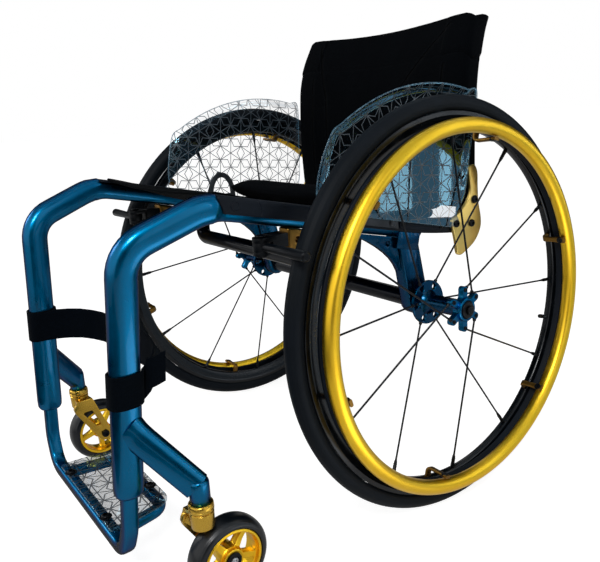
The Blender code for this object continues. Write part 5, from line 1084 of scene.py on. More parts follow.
def footrest():
    """The U of square tube from foot to foot, the round loop behind its bar, and the plate's screws."""
    down = STEP - FRONT_TUBE * FOOT_TUBE_STRAIGHT
    corner = place(FOOT_CORNER_X, FOOT_BAR_FORWARD, FOOT_BAR_CENTRE_HEIGHT)
    half = [STEP + FRONT_TUBE * FOOT_INSERT * 0.8, down, corner]
    corners = half + [Vector((-p.x, p.y, p.z)) for p in reversed(half)]
    radii = [FOOT_KNUCKLE_R, FOOT_BEND_R, FOOT_BEND_R, FOOT_KNUCKLE_R]
    shape = Shape().skin(foot_rings(resampled(rounded_path(corners, radii, 14), 0.005)))
    inner = FOOT_BAR_FORWARD - FOOT_BAR_DEPTH / 4
    rear = FOOT_BAR_FORWARD - FOOT_LOOP_REACH
    height = FOOT_BAR_TOP - FOOT_LOOP_R
    corners = [
        place(FOOT_LOOP_FRONT_X, inner, height),
        place(FOOT_LOOP_REAR_X, rear, height),
        place(-FOOT_LOOP_REAR_X, rear, height),
        place(-FOOT_LOOP_FRONT_X, inner, height),
    ]
    path = resampled(rounded_path(corners, [FOOT_LOOP_BEND_R] * 2, 12), 0.005)
    section = circle(FOOT_LOOP_R, 24)
    shape.skin([section_ring(p, Z.cross(heading(path, i)), Z, section) for i, p in enumerate(path)])
    bead = ((0.0, 0.0), (0.0012, 0.0011), (0.0024, 0.0012), (0.0036, 0.0008), (0.0044, 0.0))
    for side in (1, -1):
        spot = place(side * FOOT_LOOP_FRONT_X, FOOT_BAR_FORWARD + FOOT_COLLAR_AHEAD, height)
        shape.turned([(along, FOOT_LOOP_R + proud) for along, proud in bead], 24, Y, spot)
    tubes = piece("footrest_tubes", shape, [BLUE], NODE_BODY["footrest_frame"])
    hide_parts("footrest_frame")
    screws = Shape()
    washer = [(0.0001, 0.003), (0.0001, 0.0082), (0.0007, 0.0085), (0.001, 0.008), (0.001, 0.003)]
    for x, forward in plate_screw_places():
        spot = place(x, forward, FOOT_BAR_TOP + GAP + PLATE_THICK)
        screws.screw(spot, Z)
        screws.turned(washer, 24, Z, spot)
    piece("footplate_screws", screws, [BLACK], "frame")


def footplate():
    """The clear plate, with rounded corners and polished edges."""
    front = FOOT_BAR_FORWARD + PLATE_FRONT_MARGIN
    rear = FOOT_BAR_FORWARD - FOOT_LOOP_REACH - FOOT_LOOP_R
    front_x = FOOT_LOOP_FRONT_X + PLATE_SIDE_MARGIN
    rear_x = FOOT_LOOP_REAR_X + FOOT_LOOP_R
    corners = ((0, front), (front_x, front), (rear_x, rear), (-rear_x, rear), (-front_x, front), (0, front))
    radii = [0.008, PLATE_CORNER_R, PLATE_CORNER_R, 0.008]
    outline = rounded_path([place(x, forward, 0) for x, forward in corners], radii, 8)[:-1]
    low = FOOT_BAR_TOP + GAP

    def lay(deep, x, y):
        return Vector((x, y, low + deep))

    shape = Shape().slab([(p.x, p.y) for p in outline], 0, PLATE_THICK, edge=0.0008, lay=lay)
    dress("footplate", "_sheet", shape, [CLEAR_FLAT])


def caster_arm(name, mirrored):
    """The ridged arm out to the caster's barrel, flowing out of the front tube."""
    start_x, start_forward = front_tube_centre(ARM_START_HEIGHT)
    start = place(start_x + ARM_START_OUT, start_forward, ARM_START_HEIGHT)
    end = place(CASTER_X, CASTER_FORWARD, ARM_END_HEIGHT)
    ahead = (end - start).normalized()
    side = ahead.cross(Z).normalized()
    up = side.cross(ahead)
    half_w = ARM_WIDTH / 2
    half_h = ARM_HEIGHT / 2
    corners = [
        (-half_w, -half_h * 0.62),
        (-half_w * 0.55, -half_h),
        (half_w * 0.55, -half_h),
        (half_w, -half_h * 0.62),
        (half_w, half_h * 0.40),
        (half_w * 0.35, half_h),
        (-half_w * 0.55, half_h),
        (-half_w, half_h * 0.55),
    ]
    loop = [Vector((u, v, 0)) for u, v in corners]
    middle = [(a + b) / 2 for a, b in zip(loop, loop[1:] + loop[:1])]
    section = []
    for i, corner in enumerate(loop):
        for step in range(5):
            t = step / 5
            p = middle[i - 1] * (1 - t) ** 2 + corner * 2 * t * (1 - t) + middle[i] * t * t
            section.append((p.x, p.y))
    rings = []
    for i in range(29):
        share = i / 28
        flare = ARM_FLARE * math.exp(-((share / ARM_FLARE_REACH) ** 2))
        widen = 1.14 - 0.16 * share + flare * 0.4
        scale = 1.10 + 0.02 * share + flare * 0.55
        centre = start.lerp(end, share * 0.97)
        rings.append([centre + side * u * widen + up * v * scale for u, v in section])
    shape = Shape().skin(rings)
    low = CASTER_BARREL_BOTTOM
    top = low + CASTER_BARREL_HEIGHT
    r = CASTER_BARREL_R
    barrel = [(low, r * 0.5), (low, r - 0.0008), (low + 0.0008, r), (top - 0.0045, r)]
    barrel += [(top - 0.002, r - 0.0008), (top - 0.0005, r - 0.0024), (top, r - 0.005)]
    shape.turned(barrel, 40, Z, place(CASTER_X, CASTER_FORWARD, 0), solid=True)
    dress(name, "_forging", shape, [BLUE], mirrored, 50)


def camber_tube():
    """The tube between the wheels, with a fine groove near each end."""
    end = CAMBER_TUBE_HALF
    r = CAMBER_TUBE_R
    half = [(end - CAMBER_GROOVE_INSET + along, r - deep) for along, deep in CAMBER_GROOVE]
    half += [(end - 0.0008, r), (end, r - 0.0008), (end, CAMBER_TUBE_BORE_R)]
    profile = [(-x, radius) for x, radius in reversed(half)] + half
    shape = Shape().turned(profile, 48, X, Vector((0, AXLE_Y, CAMBER_TUBE_Z)), solid=True)
    dress("camber_tube", "_turned", shape, [DARK_TUBE])


def cross_bar():
    """The dropped bar between the seat tubes, with a bead round each end."""
    down = Vector((0, -math.sin(SEAT_SLOPE), -math.cos(SEAT_SLOPE)))
    top = place(CROSS_BAR_X, CROSS_BAR_FORWARD, seat_line(CROSS_BAR_FORWARD)) + down * 0.0003
    low = top + down * CROSS_BAR_DROP
    corners = [top, low, Vector((-low.x, low.y, low.z)), Vector((-top.x, top.y, top.z))]
    path = resampled(rounded_path(corners, [CROSS_BAR_BEND_R] * 2, 14), 0.005)
    shape = Shape().skin(swept(path, circle(CROSS_BAR_R, 32), Y))
    bead = [(0, 0), (0.0004, 0.0018), (0.0016, 0.0014), (0.0026, 0)]
    for side in (1, -1):
        centre = Vector((side * top.x, top.y, top.z)) + down * 0.001
        shape.turned([(along, CROSS_BAR_R + proud) for along, proud in bead], 32, down, centre)
    dress("cross_bar", "_tube", shape, [DARK_TUBE])


def rail_front(above):
    """How far the rail's front edge stands back at a height, so that it grips the tube in a curve."""
    low = SEAT_TUBE_HEIGHT + RAIL_WALL - RAIL_HEIGHT
    share = (above - low) / RAIL_HEIGHT
    return RAIL_FRONT_CURVE * (1 - smooth(share * 1.15))


def seat_rail(name, mirrored):
    """The moulded cover on the seat tube, with its seam and its plug."""
    top = SEAT_TUBE_HEIGHT + GAP + RAIL_WALL
    bottom = top - RAIL_HEIGHT
    inner = SEAT_TUBE_X - SEAT_TUBE_WIDTH / 2 - RAIL_INNER_OVERHANG
    wall_x = RAIL_OUTER_X - RAIL_WALL
    under = top - RAIL_WALL
    corners = [(inner, under), (inner, top), (RAIL_OUTER_X, top), (RAIL_OUTER_X, bottom)]
    corners += [(wall_x, bottom), (wall_x, under), (inner, under)]
    radii = [0.0012, 0.0042, 0.0012, 0.0006, 0.0006]
    line = rounded_path([Vector((x, z, 0)) for x, z in corners], radii, 5)
    section = [(p.x, p.y) for p in resampled(line[:-1], 0.0017)]
    front = RAIL_FRONT_FORWARD - 2 * SHOULDER
    span = RAIL_FRONT_FORWARD - RAIL_REAR_FORWARD - 2 * SHOULDER
    seam = [RAIL_SEAM + step for step in (-0.0010, -0.0003, 0.0003, 0.0010)]
    sunk_at = {0.0: 0.0012, 0.0010: 0.0003, seam[1]: 0.0006, seam[2]: 0.0006, span: 0.0010}
    marks = {0.0, 0.0010, 0.0030, *seam} | {0.008 + 0.009 * k for k in range(5)}
    marks |= {0.06 + 0.012 * k for k in range(30)}
    rings = []
    for back in sorted(m for m in marks if m < span - 0.003) + [span - 0.0015, span]:
        sunk = sunk_at.get(back, 0.0)
        ring = []
        for x, above in section:
            u = x + (-sunk if x > RAIL_OUTER_X - RAIL_WALL / 2 else 0.0)
            v = above + (-sunk if above > top - RAIL_WALL / 2 else 0.0)
            bend = rail_front(above) * (1 - smooth(back / 0.12))
            curve = 0.0
            if 0.045 < back < 0.058:
                curve = 0.004 * math.sin(math.pi * (above - bottom) / RAIL_HEIGHT)
            ring.append(seat_point(u, front - back - bend - curve, v))
        rings.append(ring)
    shape = Shape().skin(rings)
    middle = top - RAIL_HEIGHT / 2 - 0.0002
    plug = [(-0.001, 0.0062), (0.0004, 0.0062), (0.0008, 0.0056), (0.0008, 0.0050), (0.0003, 0.0046)]
    spot = seat_point(RAIL_OUTER_X, RAIL_FRONT_FORWARD - RAIL_PLUG_BACK, middle)
    shape.turned(plug + [(0.0003, 0.0005)], 28, X, spot, solid=True)
    dress(name, "_cover", shape, [PLASTIC], mirrored)
    grip_bar(name, middle, mirrored)


def grip_bar(name, middle, mirrored):
    """The ribbed bar with round ends on the rail's outer side, and its two screws."""
    bar_ends = (GRIP_BAR_FRONT - GRIP_BAR_HALF, GRIP_BAR_REAR + GRIP_BAR_HALF)
    outline = []
    for end, first in zip(bar_ends, (-90, 90)):
        for forward, above in arc((end, 0.0), GRIP_BAR_HALF, first, first + 180, 12):
            outline.append((forward, above))
    half_way = (GRIP_BAR_FRONT + GRIP_BAR_REAR) / 2
    faces = [(-0.0008, 1.0), (GRIP_BAR_PROUD - 0.0007, 1.0)]
    faces += [(GRIP_BAR_PROUD - 0.0002, 0.95), (GRIP_BAR_PROUD, 0.88)]
    rows = []
    for proud, size in faces:
        row = []
        for forward, above in outline:
            kept = forward - math.copysign(GRIP_BAR_HALF * (1 - size), forward - half_way)
            row.append(seat_point(RAIL_OUTER_X + proud, kept, middle + above * size))
        rows.append(row)
    bar = Shape().skin(rows)
    face = RAIL_OUTER_X + GRIP_BAR_PROUD
    section = ((0.0, -0.0007), (0.0, 0.0007), (0.0006, 0.0004), (0.0006, -0.0004))
    for above in GRIP_RIBS:
        rib = []
        for forward in (GRIP_BAR_FRONT - GRIP_RIB_INSET, GRIP_BAR_REAR + GRIP_RIB_INSET):
            rib.append([seat_point(face + a, forward, middle + above + b) for a, b in section])
        bar.skin(rib)
    piece(name + "_grip", bar, [PLASTIC], "frame", mirrored)
    screws = Shape()
    for forward in bar_ends:
        screws.screw(seat_point(face, forward, middle), X, 0.0036, 0.0016)
    piece(name + "_screws", screws, [BLACK], "frame", mirrored)


# ---- Rear wheels


def on_wheel(shape):
    """Moves a shape from the hub's own axes to the left wheel's place."""
    shape.points = [WHEEL_PLACE @ point for point in shape.points]
    return shape


def rear_tyre(name, mirrored):
    """A slick tyre: a round crown with fine lines, a step at each shoulder and a bead line."""
    r = TYRE_THICK / 2
    half_seat = math.sqrt(r * r - (TYRE_RING_R - TYRE_SEAT_R) ** 2)
    profile = [(half_seat, TYRE_SEAT_R)]
    for degrees in range(-36, 217, 6):
        angle = math.radians(degrees)
        here = r
        if degrees in (42, 138, 72, 108):
            here = r - 0.00035
        if degrees in (-12, 192):
            here = r - 0.0003
        if abs(degrees - 90) <= 12:
            here = r + 0.00005
        profile.append((here * math.cos(angle), TYRE_RING_R + here * math.sin(angle)))
    profile.append((-half_seat, TYRE_SEAT_R))
    dress(name, "_rubber", on_wheel(Shape().turned(profile, 160)), [TYRE], mirrored, 60)


def rear_rim(name, mirrored):
    """The deep black rim with its hooked edges, and its valve."""
    half = RIM_WIDTH / 2
    nose = RIM_NOSE_WIDTH / 2
    outer = RIM_OUTER_R
    profile = [
        (half - 0.0022, outer - 0.0004),
        (half - 0.0006, outer),
        (half, outer - 0.0008),
        (half + 0.0001, outer - 0.0060),
        (half - 0.0006, outer - 0.0072),
        (half - 0.0016, outer - 0.0100),
        (nose + 0.0024, RIM_INNER_R + 0.0032),
        (nose + 0.0006, RIM_INNER_R + 0.0009),
        (nose - 0.0012, RIM_INNER_R),
    ]
    profile += [(-x, radius) for x, radius in reversed(profile)]
    shape = Shape().turned(profile, 160)
    stem = [(-0.004, 0.0030), (0.010, 0.0030), (0.0102, 0.0027), (0.012, 0.0027), (0.0122, 0.0034)]
    stem += [(0.020, 0.0033), (VALVE_LENGTH - 0.0006, 0.0026), (VALVE_LENGTH, 0.0012)]
    spot = polar(VALVE_ANGLE, RIM_INNER_R)
    shape.turned(stem, 16, -polar(VALVE_ANGLE, 1.0), spot, solid=True)
    dress(name, "_hoop", on_wheel(shape), [RIM_BLACK], mirrored, 28)


def spoke_lines(phase):
    """Hub end and rim end of each spoke: straight ones to the disc, crossing ones to the star."""
    rim_r = RIM_INNER_R - NIPPLE_GAP
    lines = []
    for i in range(SPOKES_PER_SIDE):
        angle = math.tau * (i + 0.5) / SPOKES_PER_SIDE + phase
        start = polar(angle, FLANGE_R - SPOKE_SEAT, -HUB_INNER - FLANGE_THICK / 2)
        lines.append((start, polar(angle, rim_r)))
    for i in range(SPOKES_PER_SIDE):
        turn = 1 if i % 2 else -1
        pad = star_pad(i + turn, phase)
        pad.x += turn * STAR_THICK / 4
        rim_end = polar(math.tau * i / SPOKES_PER_SIDE + phase, rim_r)
        lines.append((pad + (rim_end - pad).normalized() * (STAR_ARM_R - SPOKE_SEAT), rim_end))
    return lines


def star_pad(index, phase):
    angle = math.tau * index / SPOKES_PER_SIDE + phase
    return polar(angle, FLANGE_R - STAR_ARM_R, HUB_OUTER - STAR_THICK / 2)


def spokes(letter, phase, mirrored):
    """Each spoke with its thicker head, and its nipple with two fine rings."""
    shape = Shape()
    for start, end in spoke_lines(phase):
        ahead = (end - start).normalized()
        length = (end - start).length
        nipple = length - NIPPLE_LENGTH
        profile = [(0, SPOKE_R * 1.9), (0.004, SPOKE_R * 1.9), (0.006, SPOKE_R), (nipple - 0.004, SPOKE_R)]
        profile += [(nipple, SPOKE_R * 1.25), (nipple + 0.0015, NIPPLE_R * 0.85)]
        profile += [(length - 0.006, NIPPLE_R), (length - 0.004, NIPPLE_R * 1.12), (length, NIPPLE_R * 1.12)]
        shape.turned(profile, 12, ahead, start, solid=True)
        ring = [(0, 0.8), (0.0004, 1.03), (0.0012, 1.03), (0.0016, 0.8)]
        ring = [(along, NIPPLE_R * share) for along, share in ring]
        for reach in (nipple + 0.004, nipple + 0.007):
            shape.turned(ring, 12, ahead, start + ahead * reach)
    piece("spokes_" + letter, on_wheel(shape), [SPOKE_BLACK], "wheel_" + letter, mirrored)


def hub_star(phase):
    """The hub's six-armed star, and the raised ring round the axle's cap."""
    outline = []
    for i in range(SPOKES_PER_SIDE):
        angle = math.tau * i / SPOKES_PER_SIDE + phase
        centre = star_pad(i, phase)
        for j in range(13):
            turn = angle - math.radians(100) + math.radians(200) * j / 12
            outline.append(centre + polar(turn, STAR_ARM_R))
        valley = angle + math.pi / SPOKES_PER_SIDE
        for j in range(-3, 4):
            spread = math.radians(5.5) * j
            outline.append(polar(valley + spread, BARREL_R + 0.0014 + 0.00045 * j * j, centre.x))
    pads = [star_pad(i, phase) for i in range(SPOKES_PER_SIDE)]
    rings = []
    for deep, inset in ((-0.5, 0.94), (-0.42, 1.0), (0.42, 1.0), (0.5, 0.94)):
        ring = []
        for p in outline:
            near = min(pads, key=lambda c: (c - p).length)
            q = near + (p - near) * inset if (p - near).length < STAR_ARM_R * 1.2 else p
            ring.append(Vector((q.x + deep * (STAR_THICK - 0.0004), q.y, q.z)))
        rings.append(ring)
    start = HUB_OUTER - CAP_RING_SUNK
    end = HUB_OUTER + CAP_RING_PROUD
    inner = CAP_RING_R - CAP_RING_WALL
    ring = [(start, inner), (start, CAP_RING_R), (end - 0.0010, CAP_RING_R)]
    ring += [(end, CAP_RING_R - 0.0010), (end, inner + 0.0006), (end - 0.0006, inner)]
    return Shape().skin(rings).turned(ring, 64)


def hub(name, phase, mirrored):
    """The hub: a drilled disc inside, a waisted barrel, and a star with a screw in each arm."""
    bore = AXLE_R + 0.0004
    waist = BARREL_R * 0.86
    disc_out = -HUB_INNER
    disc_in = disc_out - FLANGE_THICK
    star_in = HUB_OUTER - STAR_THICK
    profile = [(disc_in, bore), (HUB_OUTER, bore), (HUB_OUTER, BARREL_R - 0.0008)]
    profile += [(HUB_OUTER - 0.0008, BARREL_R), (star_in, BARREL_R), (star_in - 0.004, waist + 0.0006)]
    profile += [(star_in - 0.008, waist), (disc_out + 0.012, waist), (disc_out + 0.004, BARREL_R)]
    barrel = Shape().turned(profile + [(disc_out, BARREL_R * 1.25)], 64)
    for i in range(SPOKES_PER_SIDE):
        pad = star_pad(i, phase)
        barrel.screw(Vector((HUB_OUTER - 0.0002, pad.y, pad.z)), X, 0.0032, 0.0014, 1)
    edge = [(disc_out, BARREL_R), (disc_out, FLANGE_R - 0.0008), (disc_out - 0.0008, FLANGE_R)]
    edge += [(disc_in + 0.0008, FLANGE_R), (disc_in, FLANGE_R - 0.0008)]
    edge += [(disc_in, BARREL_R - 0.003), (disc_out, BARREL_R - 0.003)]
    disc = on_wheel(Shape().turned(edge, 96))
    drill = Shape()
    for i in range(FLANGE_HOLES):
        centre = polar(math.tau * (i + 0.5) / FLANGE_HOLES, (FLANGE_R + BARREL_R * 1.15) / 2)
        hole = [(end, FLANGE_HOLE_R) for end in (disc_in - 0.01, disc_out + 0.01)]
        drill.turned(hole, 24, X, centre, solid=True)
    plate = piece(name + "_disc", disc, [BLUE_SHADED], NODE_BODY[name], mirrored)
    cut(plate, on_wheel(drill), mirrored)
    dress(name, "_barrel", on_wheel(barrel), [BLUE_SHADED, BLACK], mirrored)
    piece(name + "_star", on_wheel(hub_star(phase)), [BLUE], NODE_BODY[name], mirrored)


def hand_rim(name, mirrored):
    profile = arc((HANDRIM_OFFSET, HANDRIM_R), HANDRIM_TUBE_R, 0, 352.5, 47)
    dress(name, "_tube", on_wheel(Shape().turned(profile, 200)), [GOLD], mirrored)


def hand_rim_mounts(name, mirrored):
    """The dark grip ring with fine ribs, and six brackets between the hand rim and the wheel rim."""
    outer = HANDRIM_OFFSET - HANDRIM_TUBE_R - GAP
    inner = outer - GRIP_WIDTH
    half = GRIP_HEIGHT / 2
    profile = [
        (outer, -0.6),
        (outer, 0.6),
        (outer - 0.0008, 0.78),
        (outer - 0.0030, 0.93),
        (outer - 0.0034, 0.86),
        (outer - 0.0042, 0.97),
        (inner + 0.001, 1),
        (inner, 0.9),
        (inner, -0.9),
        (inner + 0.001, -1),
    ]
    profile = [(along, HANDRIM_R + half * share) for along, share in profile]
    dress(name, "_grip", on_wheel(Shape().turned(profile, 160)), [PLASTIC], mirrored, 30)
    brackets = Shape()
    seat = HANDRIM_R - HANDRIM_TUBE_R - GAP
    foot = RIM_NOSE_WIDTH / 2 - 0.001 - 0.003
    line = ((foot, RIM_INNER_R - GAP), (foot, seat - 0.0045), (HANDRIM_OFFSET + 0.004, seat - 0.0030))
    section = superellipse(TAB_WIDTH, TAB_THICK, 5.0, 20)
    eyelet = [(-0.0030, 0.0050), (0.0002, 0.0050), (0.0008, 0.0044)]
    eyelet += [(0.0008, 0.0024), (0.0004, 0.0020), (0.0004, 0.0002)]
    for i in range(TAB_COUNT):
        angle = TAB_START + math.tau * i / TAB_COUNT
        path = rounded_path([polar(angle, radius, along) for along, radius in line], [0.005], 6)
        path = resampled(path, 0.002)
        rings = []
        for k, (point, side, out) in enumerate(path_frames(path, polar(angle + math.pi / 2, 1.0))):
            swell = 1.0 + 0.12 * math.cos(math.tau * (k / (len(path) - 1)))
            rings.append([point + side * u * swell + out * v for u, v in section])
        brackets.skin(rings)
        spot = polar(angle, seat - 0.0054, HANDRIM_OFFSET - 0.003)
        brackets.turned(eyelet, 20, -polar(angle, 1.0), spot, 1, solid=True)
    piece(name + "_brackets", on_wheel(brackets), [BRONZE, BLACK], NODE_BODY[name], mirrored)


# ---- Casters


def caster_tyre(name, spin, mirrored):
    """A wide, smooth caster tyre with a round crown, one shoulder line and a bead beside the rim."""
    inner = CASTER_R - CASTER_TYRE_DEPTH
    half = (CASTER_OUTER_HALF + CASTER_INNER_HALF) / 2
    middle = (CASTER_OUTER_HALF - CASTER_INNER_HALF) / 2
    profile = [(middle + half - 0.0030, inner), (middle + half - 0.0008, inner + 0.0003)]
    for i in range(33):
        angle = math.radians(180 * i / 32)
        across = math.copysign(abs(math.cos(angle)) ** CASTER_TYRE_POWER, math.cos(angle))
        rise = math.sin(angle) ** CASTER_TYRE_POWER if 0 < i < 32 else 0.0
        sunk = 0.0003 if i in (7, 25) else 0.0
        radius = inner + 0.0008 + (CASTER_TYRE_DEPTH - 0.0008 - sunk) * rise
        profile.append((middle + (half - sunk) * across, radius))
    profile += [(middle - half + 0.0008, inner + 0.0003), (middle - half + 0.0030, inner)]
    dress(name, "_rubber", Shape().turned(profile, 120, X, spin), [CASTER_RUBBER], mirrored, 50)


def caster_rim(name, spin, mirrored):
    """The caster's machined wheel centre: a hub, five tapered spokes and a rim with a round lip."""
    outer = CASTER_R - CASTER_TYRE_DEPTH - GAP
    inner = outer - CASTER_RIM_DEPTH
    lip = CASTER_OUTER_HALF + 0.0004
    back = -(CASTER_INNER_HALF - 0.0012)
    face = CASTER_WEB_X + CASTER_WEB_THICK / 2
    rear = CASTER_WEB_X - CASTER_WEB_THICK / 2
    hub_out = CASTER_OUTER_HALF - CASTER_FACE_INSET
    hub_in = -CASTER_HUB_WIDTH / 2
    r = CASTER_HUB_R
    profile = [(hub_out, CASTER_BORE_R), (hub_out, r - 0.0026), (hub_out + 0.0006, r - 0.0020)]
    profile += [(hub_out + 0.0006, r - 0.0008), (hub_out, r), (face + 0.0030, r + 0.0004)]
    profile += [(face + 0.0012, r + 0.0018), (face, (r + inner) / 2), (face + 0.0010, inner - 0.0016)]
    profile += [(face + 0.0030, inner), (lip - 0.0020, inner + 0.0003), (lip - 0.0006, inner + 0.0010)]
    profile += [(lip, inner + 0.0022), (lip - 0.0003, outer - 0.0012), (lip - 0.0012, outer - 0.0003)]
    profile += [(lip - 0.0030, outer), (back, outer), (back, inner + 0.0008), (back + 0.0010, inner)]
    profile += [(rear - 0.0020, inner), (rear, inner - 0.0016), (rear, r + 0.0016)]
    profile += [(rear - 0.0016, r - 0.0010), (hub_in + 0.0006, r - 0.0012), (hub_in, r - 0.0020)]
    profile.append((hub_in, CASTER_BORE_R))
    obj = dress(name, "_centre", Shape().turned(profile, 96, X, spin), [GOLD], mirrored)
    low = r + 0.0016
    high = inner - 0.0004
    windows = Shape()
    for i in range(CASTER_SPOKES):
        middle = math.tau * i / CASTER_SPOKES
        corners = []
        for radius, wide, order in ((high, 0.5, (-1, -0.4, 0.4, 1)), (low, 0.7, (1, 0, -1))):
            reach = math.pi / CASTER_SPOKES - CASTER_SPOKE_WIDTH * wide / radius
            corners += [polar(middle + sign * reach, radius) for sign in order]
        outline = rounded_path([corners[-1], *corners, corners[0]], [0.0026] * 7, 4)[1:-1]
        windows.skin([[spin + p - X * 0.03 for p in outline], [spin + p + X * 0.03 for p in outline]])
    cut(obj, windows, mirrored)
    soften(obj, 0.0007)


def caster_fork(name, swivel, mirrored):
    """The one-sided fork: a round head, and a pierced plate inboard of the wheel."""
    top = CASTER_BARREL_BOTTOM - COLLAR_HEIGHT - 2 * GAP
    bottom = top - FORK_HEAD_HEIGHT
    head = [(bottom, FORK_HEAD_R - 0.0012), (top - 0.0012, FORK_HEAD_R - 0.0004)]
    head = Shape().turned(head + [(top, FORK_HEAD_R - 0.002)], 48, Z, swivel, solid=True)
    obj = dress(name, "_forging", head, [BRASS], mirrored)
    plate_x = -CASTER_WIDTH / 2 - FORK_CLEARANCE - FORK_PLATE_THICK
    low = bottom + 0.001
    high = top - 0.004
    half = FORK_PLATE_TOP_WIDTH / 2
    rings = []
    for x, front, rear, high_front, high_rear in (
        (plate_x, -half, half, -half + 0.006, half - 0.004),
        (0, -0.011, 0.011, -0.011, 0.011),
    ):
        corners = ((x, front, low), (x, rear, low), (x, high_rear, high), (x, high_front, high))
        rings.append([swivel + Vector(corner) for corner in corners])
    cut(obj, Shape().skin(rings), mirrored, "UNION")
    outline = [(half - 0.003, high - 0.002), *arc((-half + 0.012, high - 0.015), 0.012, 90, 180, 8)]
    outline.append((-half + 0.0015, low - 0.005))
    outline += arc((CASTER_TRAIL, CASTER_R), FORK_BOSS_R, 205, 405, 24)
    plate = [(swivel.y + y, z) for y, z in outline]
    cut(obj, Shape().slab(plate, swivel.x + plate_x, FORK_PLATE_THICK), mirrored, "UNION")
    under = low - 0.006
    over = CASTER_R + 0.019
    window = ((-0.006, under), (0.011, under), (0.024, over), (0.014, over))
    corners = [Vector((swivel.y + y, z, 0)) for y, z in window]
    outline = rounded_path([corners[-1], *corners, corners[0]], [0.0025] * 4, 5)[1:-1]
    hole = [(p.x, p.y) for p in outline]
    cut(obj, Shape().slab(hole, swivel.x + plate_x - 0.01, FORK_PLATE_THICK + 0.02), mirrored)
    soften(obj, 0.0020, 3, 32)


def caster_collar(name, swivel, mirrored):
    """The collar under the barrel, with a groove round it."""
    top = CASTER_BARREL_BOTTOM - GAP
    low = top - COLLAR_HEIGHT
    r = COLLAR_R
    profile = [(low, r - 0.004), (low, r - 0.0012), (low + 0.0010, r - 0.0002), (low + 0.0035, r)]
    profile += [(low + 0.0040, r - 0.0006), (low + 0.0046, r - 0.0006), (low + 0.0051, r)]
    profile += [(top - 0.0020, r - 0.0003), (top - 0.0006, r - 0.0012), (top, r - 0.0024), (top, r - 0.006)]
    dress(name, "_ring", Shape().turned(profile, 56, Z, swivel, solid=True), [BRASS], mirrored)


def caster_bolt(name, swivel, mirrored):
    """A black cap with a bright screw in it outside, and a plain head inside."""
    spin = swivel + Vector((0, CASTER_TRAIL, CASTER_R))
    face = CASTER_OUTER_HALF - CASTER_FACE_INSET + GAP
    cap = [(0, CASTER_CAP_R), (0.0014, CASTER_CAP_R), (0.0022, CASTER_CAP_R - 0.0010)]
    cap += [(0.0020, 0.0066), (0.0008, 0.0058), (0.0006, 0.0002)]
    cap = [(face + along, radius) for along, radius in cap]
    shape = Shape().turned(cap, 40, X, spin, solid=True)
    shape.screw(spin + X * (face + 0.0007), X, 0.0050, 0.0026, 1)
    inner = -CASTER_WIDTH / 2 - FORK_CLEARANCE - FORK_PLATE_THICK - GAP
    shape.screw(spin + X * inner, -X, 0.0065, 0.004)
    dress(name, "_heads", shape, [BLACK, STEEL], mirrored)


# ---- Guards, brackets and brakes


def refined(node, materials, width):
    """A copy of a node's shape with its flat faces joined again and its edges rounded."""
    mesh = frame["nodes"][node].data.copy()
    mesh.name = node + "_fine"
    work = bmesh.new()
    work.from_mesh(mesh)
    bmesh.ops.remove_doubles(work, verts=work.verts, dist=1e-6)
    bmesh.ops.dissolve_limit(work, angle_limit=math.radians(1.0), verts=work.verts, edges=work.edges)
    work.to_mesh(mesh)
    work.free()
    mesh.materials.clear()
    obj = add_object(node + "_fine", mesh, materials)
    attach(obj, NODE_BODY[node])
    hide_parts(node)
    soften(obj, width, 2, 30)
    return obj


def spline(points, steps):
    """A curve through points, from the second one up to the last but one, which it leaves out."""
    points = [Vector(point) for point in points]
    made = []
    for a, b, c, d in zip(points, points[1:], points[2:], points[3:]):
        for step in range(steps):
            t = step / steps
            square = (2 * a - 5 * b + 4 * c - d) * t * t
            cube = (3 * b - a - 3 * c + d) * t**3
            made.append((2 * b + (c - a) * t + square + cube) / 2)
    return made


def guard_edge():
    """The guard's edge as (forward, height, share of the flare), from the front foot to the rear one."""
    above = SEAT_TUBE_HEIGHT + GUARD_FOOT_LIFT
    front = seat_line(GUARD_FOOT_FRONT, above)
    rear = seat_line(GUARD_FOOT_REAR, above)
    crown = []
    for i in range(15):
        angle = GUARD_FRONT_ANGLE - (GUARD_FRONT_ANGLE + GUARD_REAR_ANGLE) * i / 14
        crown.append(Vector((GUARD_R * math.sin(angle), AXLE_Z + GUARD_R * math.cos(angle), 1.0)))
    points = [Vector((GUARD_FOOT_FRONT, front, 0.0))]
    rise = crown[0].y - front
    points += [Vector((forward, front + rise * share, flare)) for forward, share, flare in GUARD_FRONT_EDGE]
    points += crown
    rise = crown[-1].y - rear
    points += [Vector((forward, rear + rise * share, flare)) for forward, share, flare in GUARD_REAR_EDGE]
    points.append(Vector((GUARD_FOOT_REAR, rear, 0.0)))
    foot = [points[-1].lerp(points[0], i / 24) for i in range(24)]
    return spline([points[-1], *points, points[0]], 6) + foot


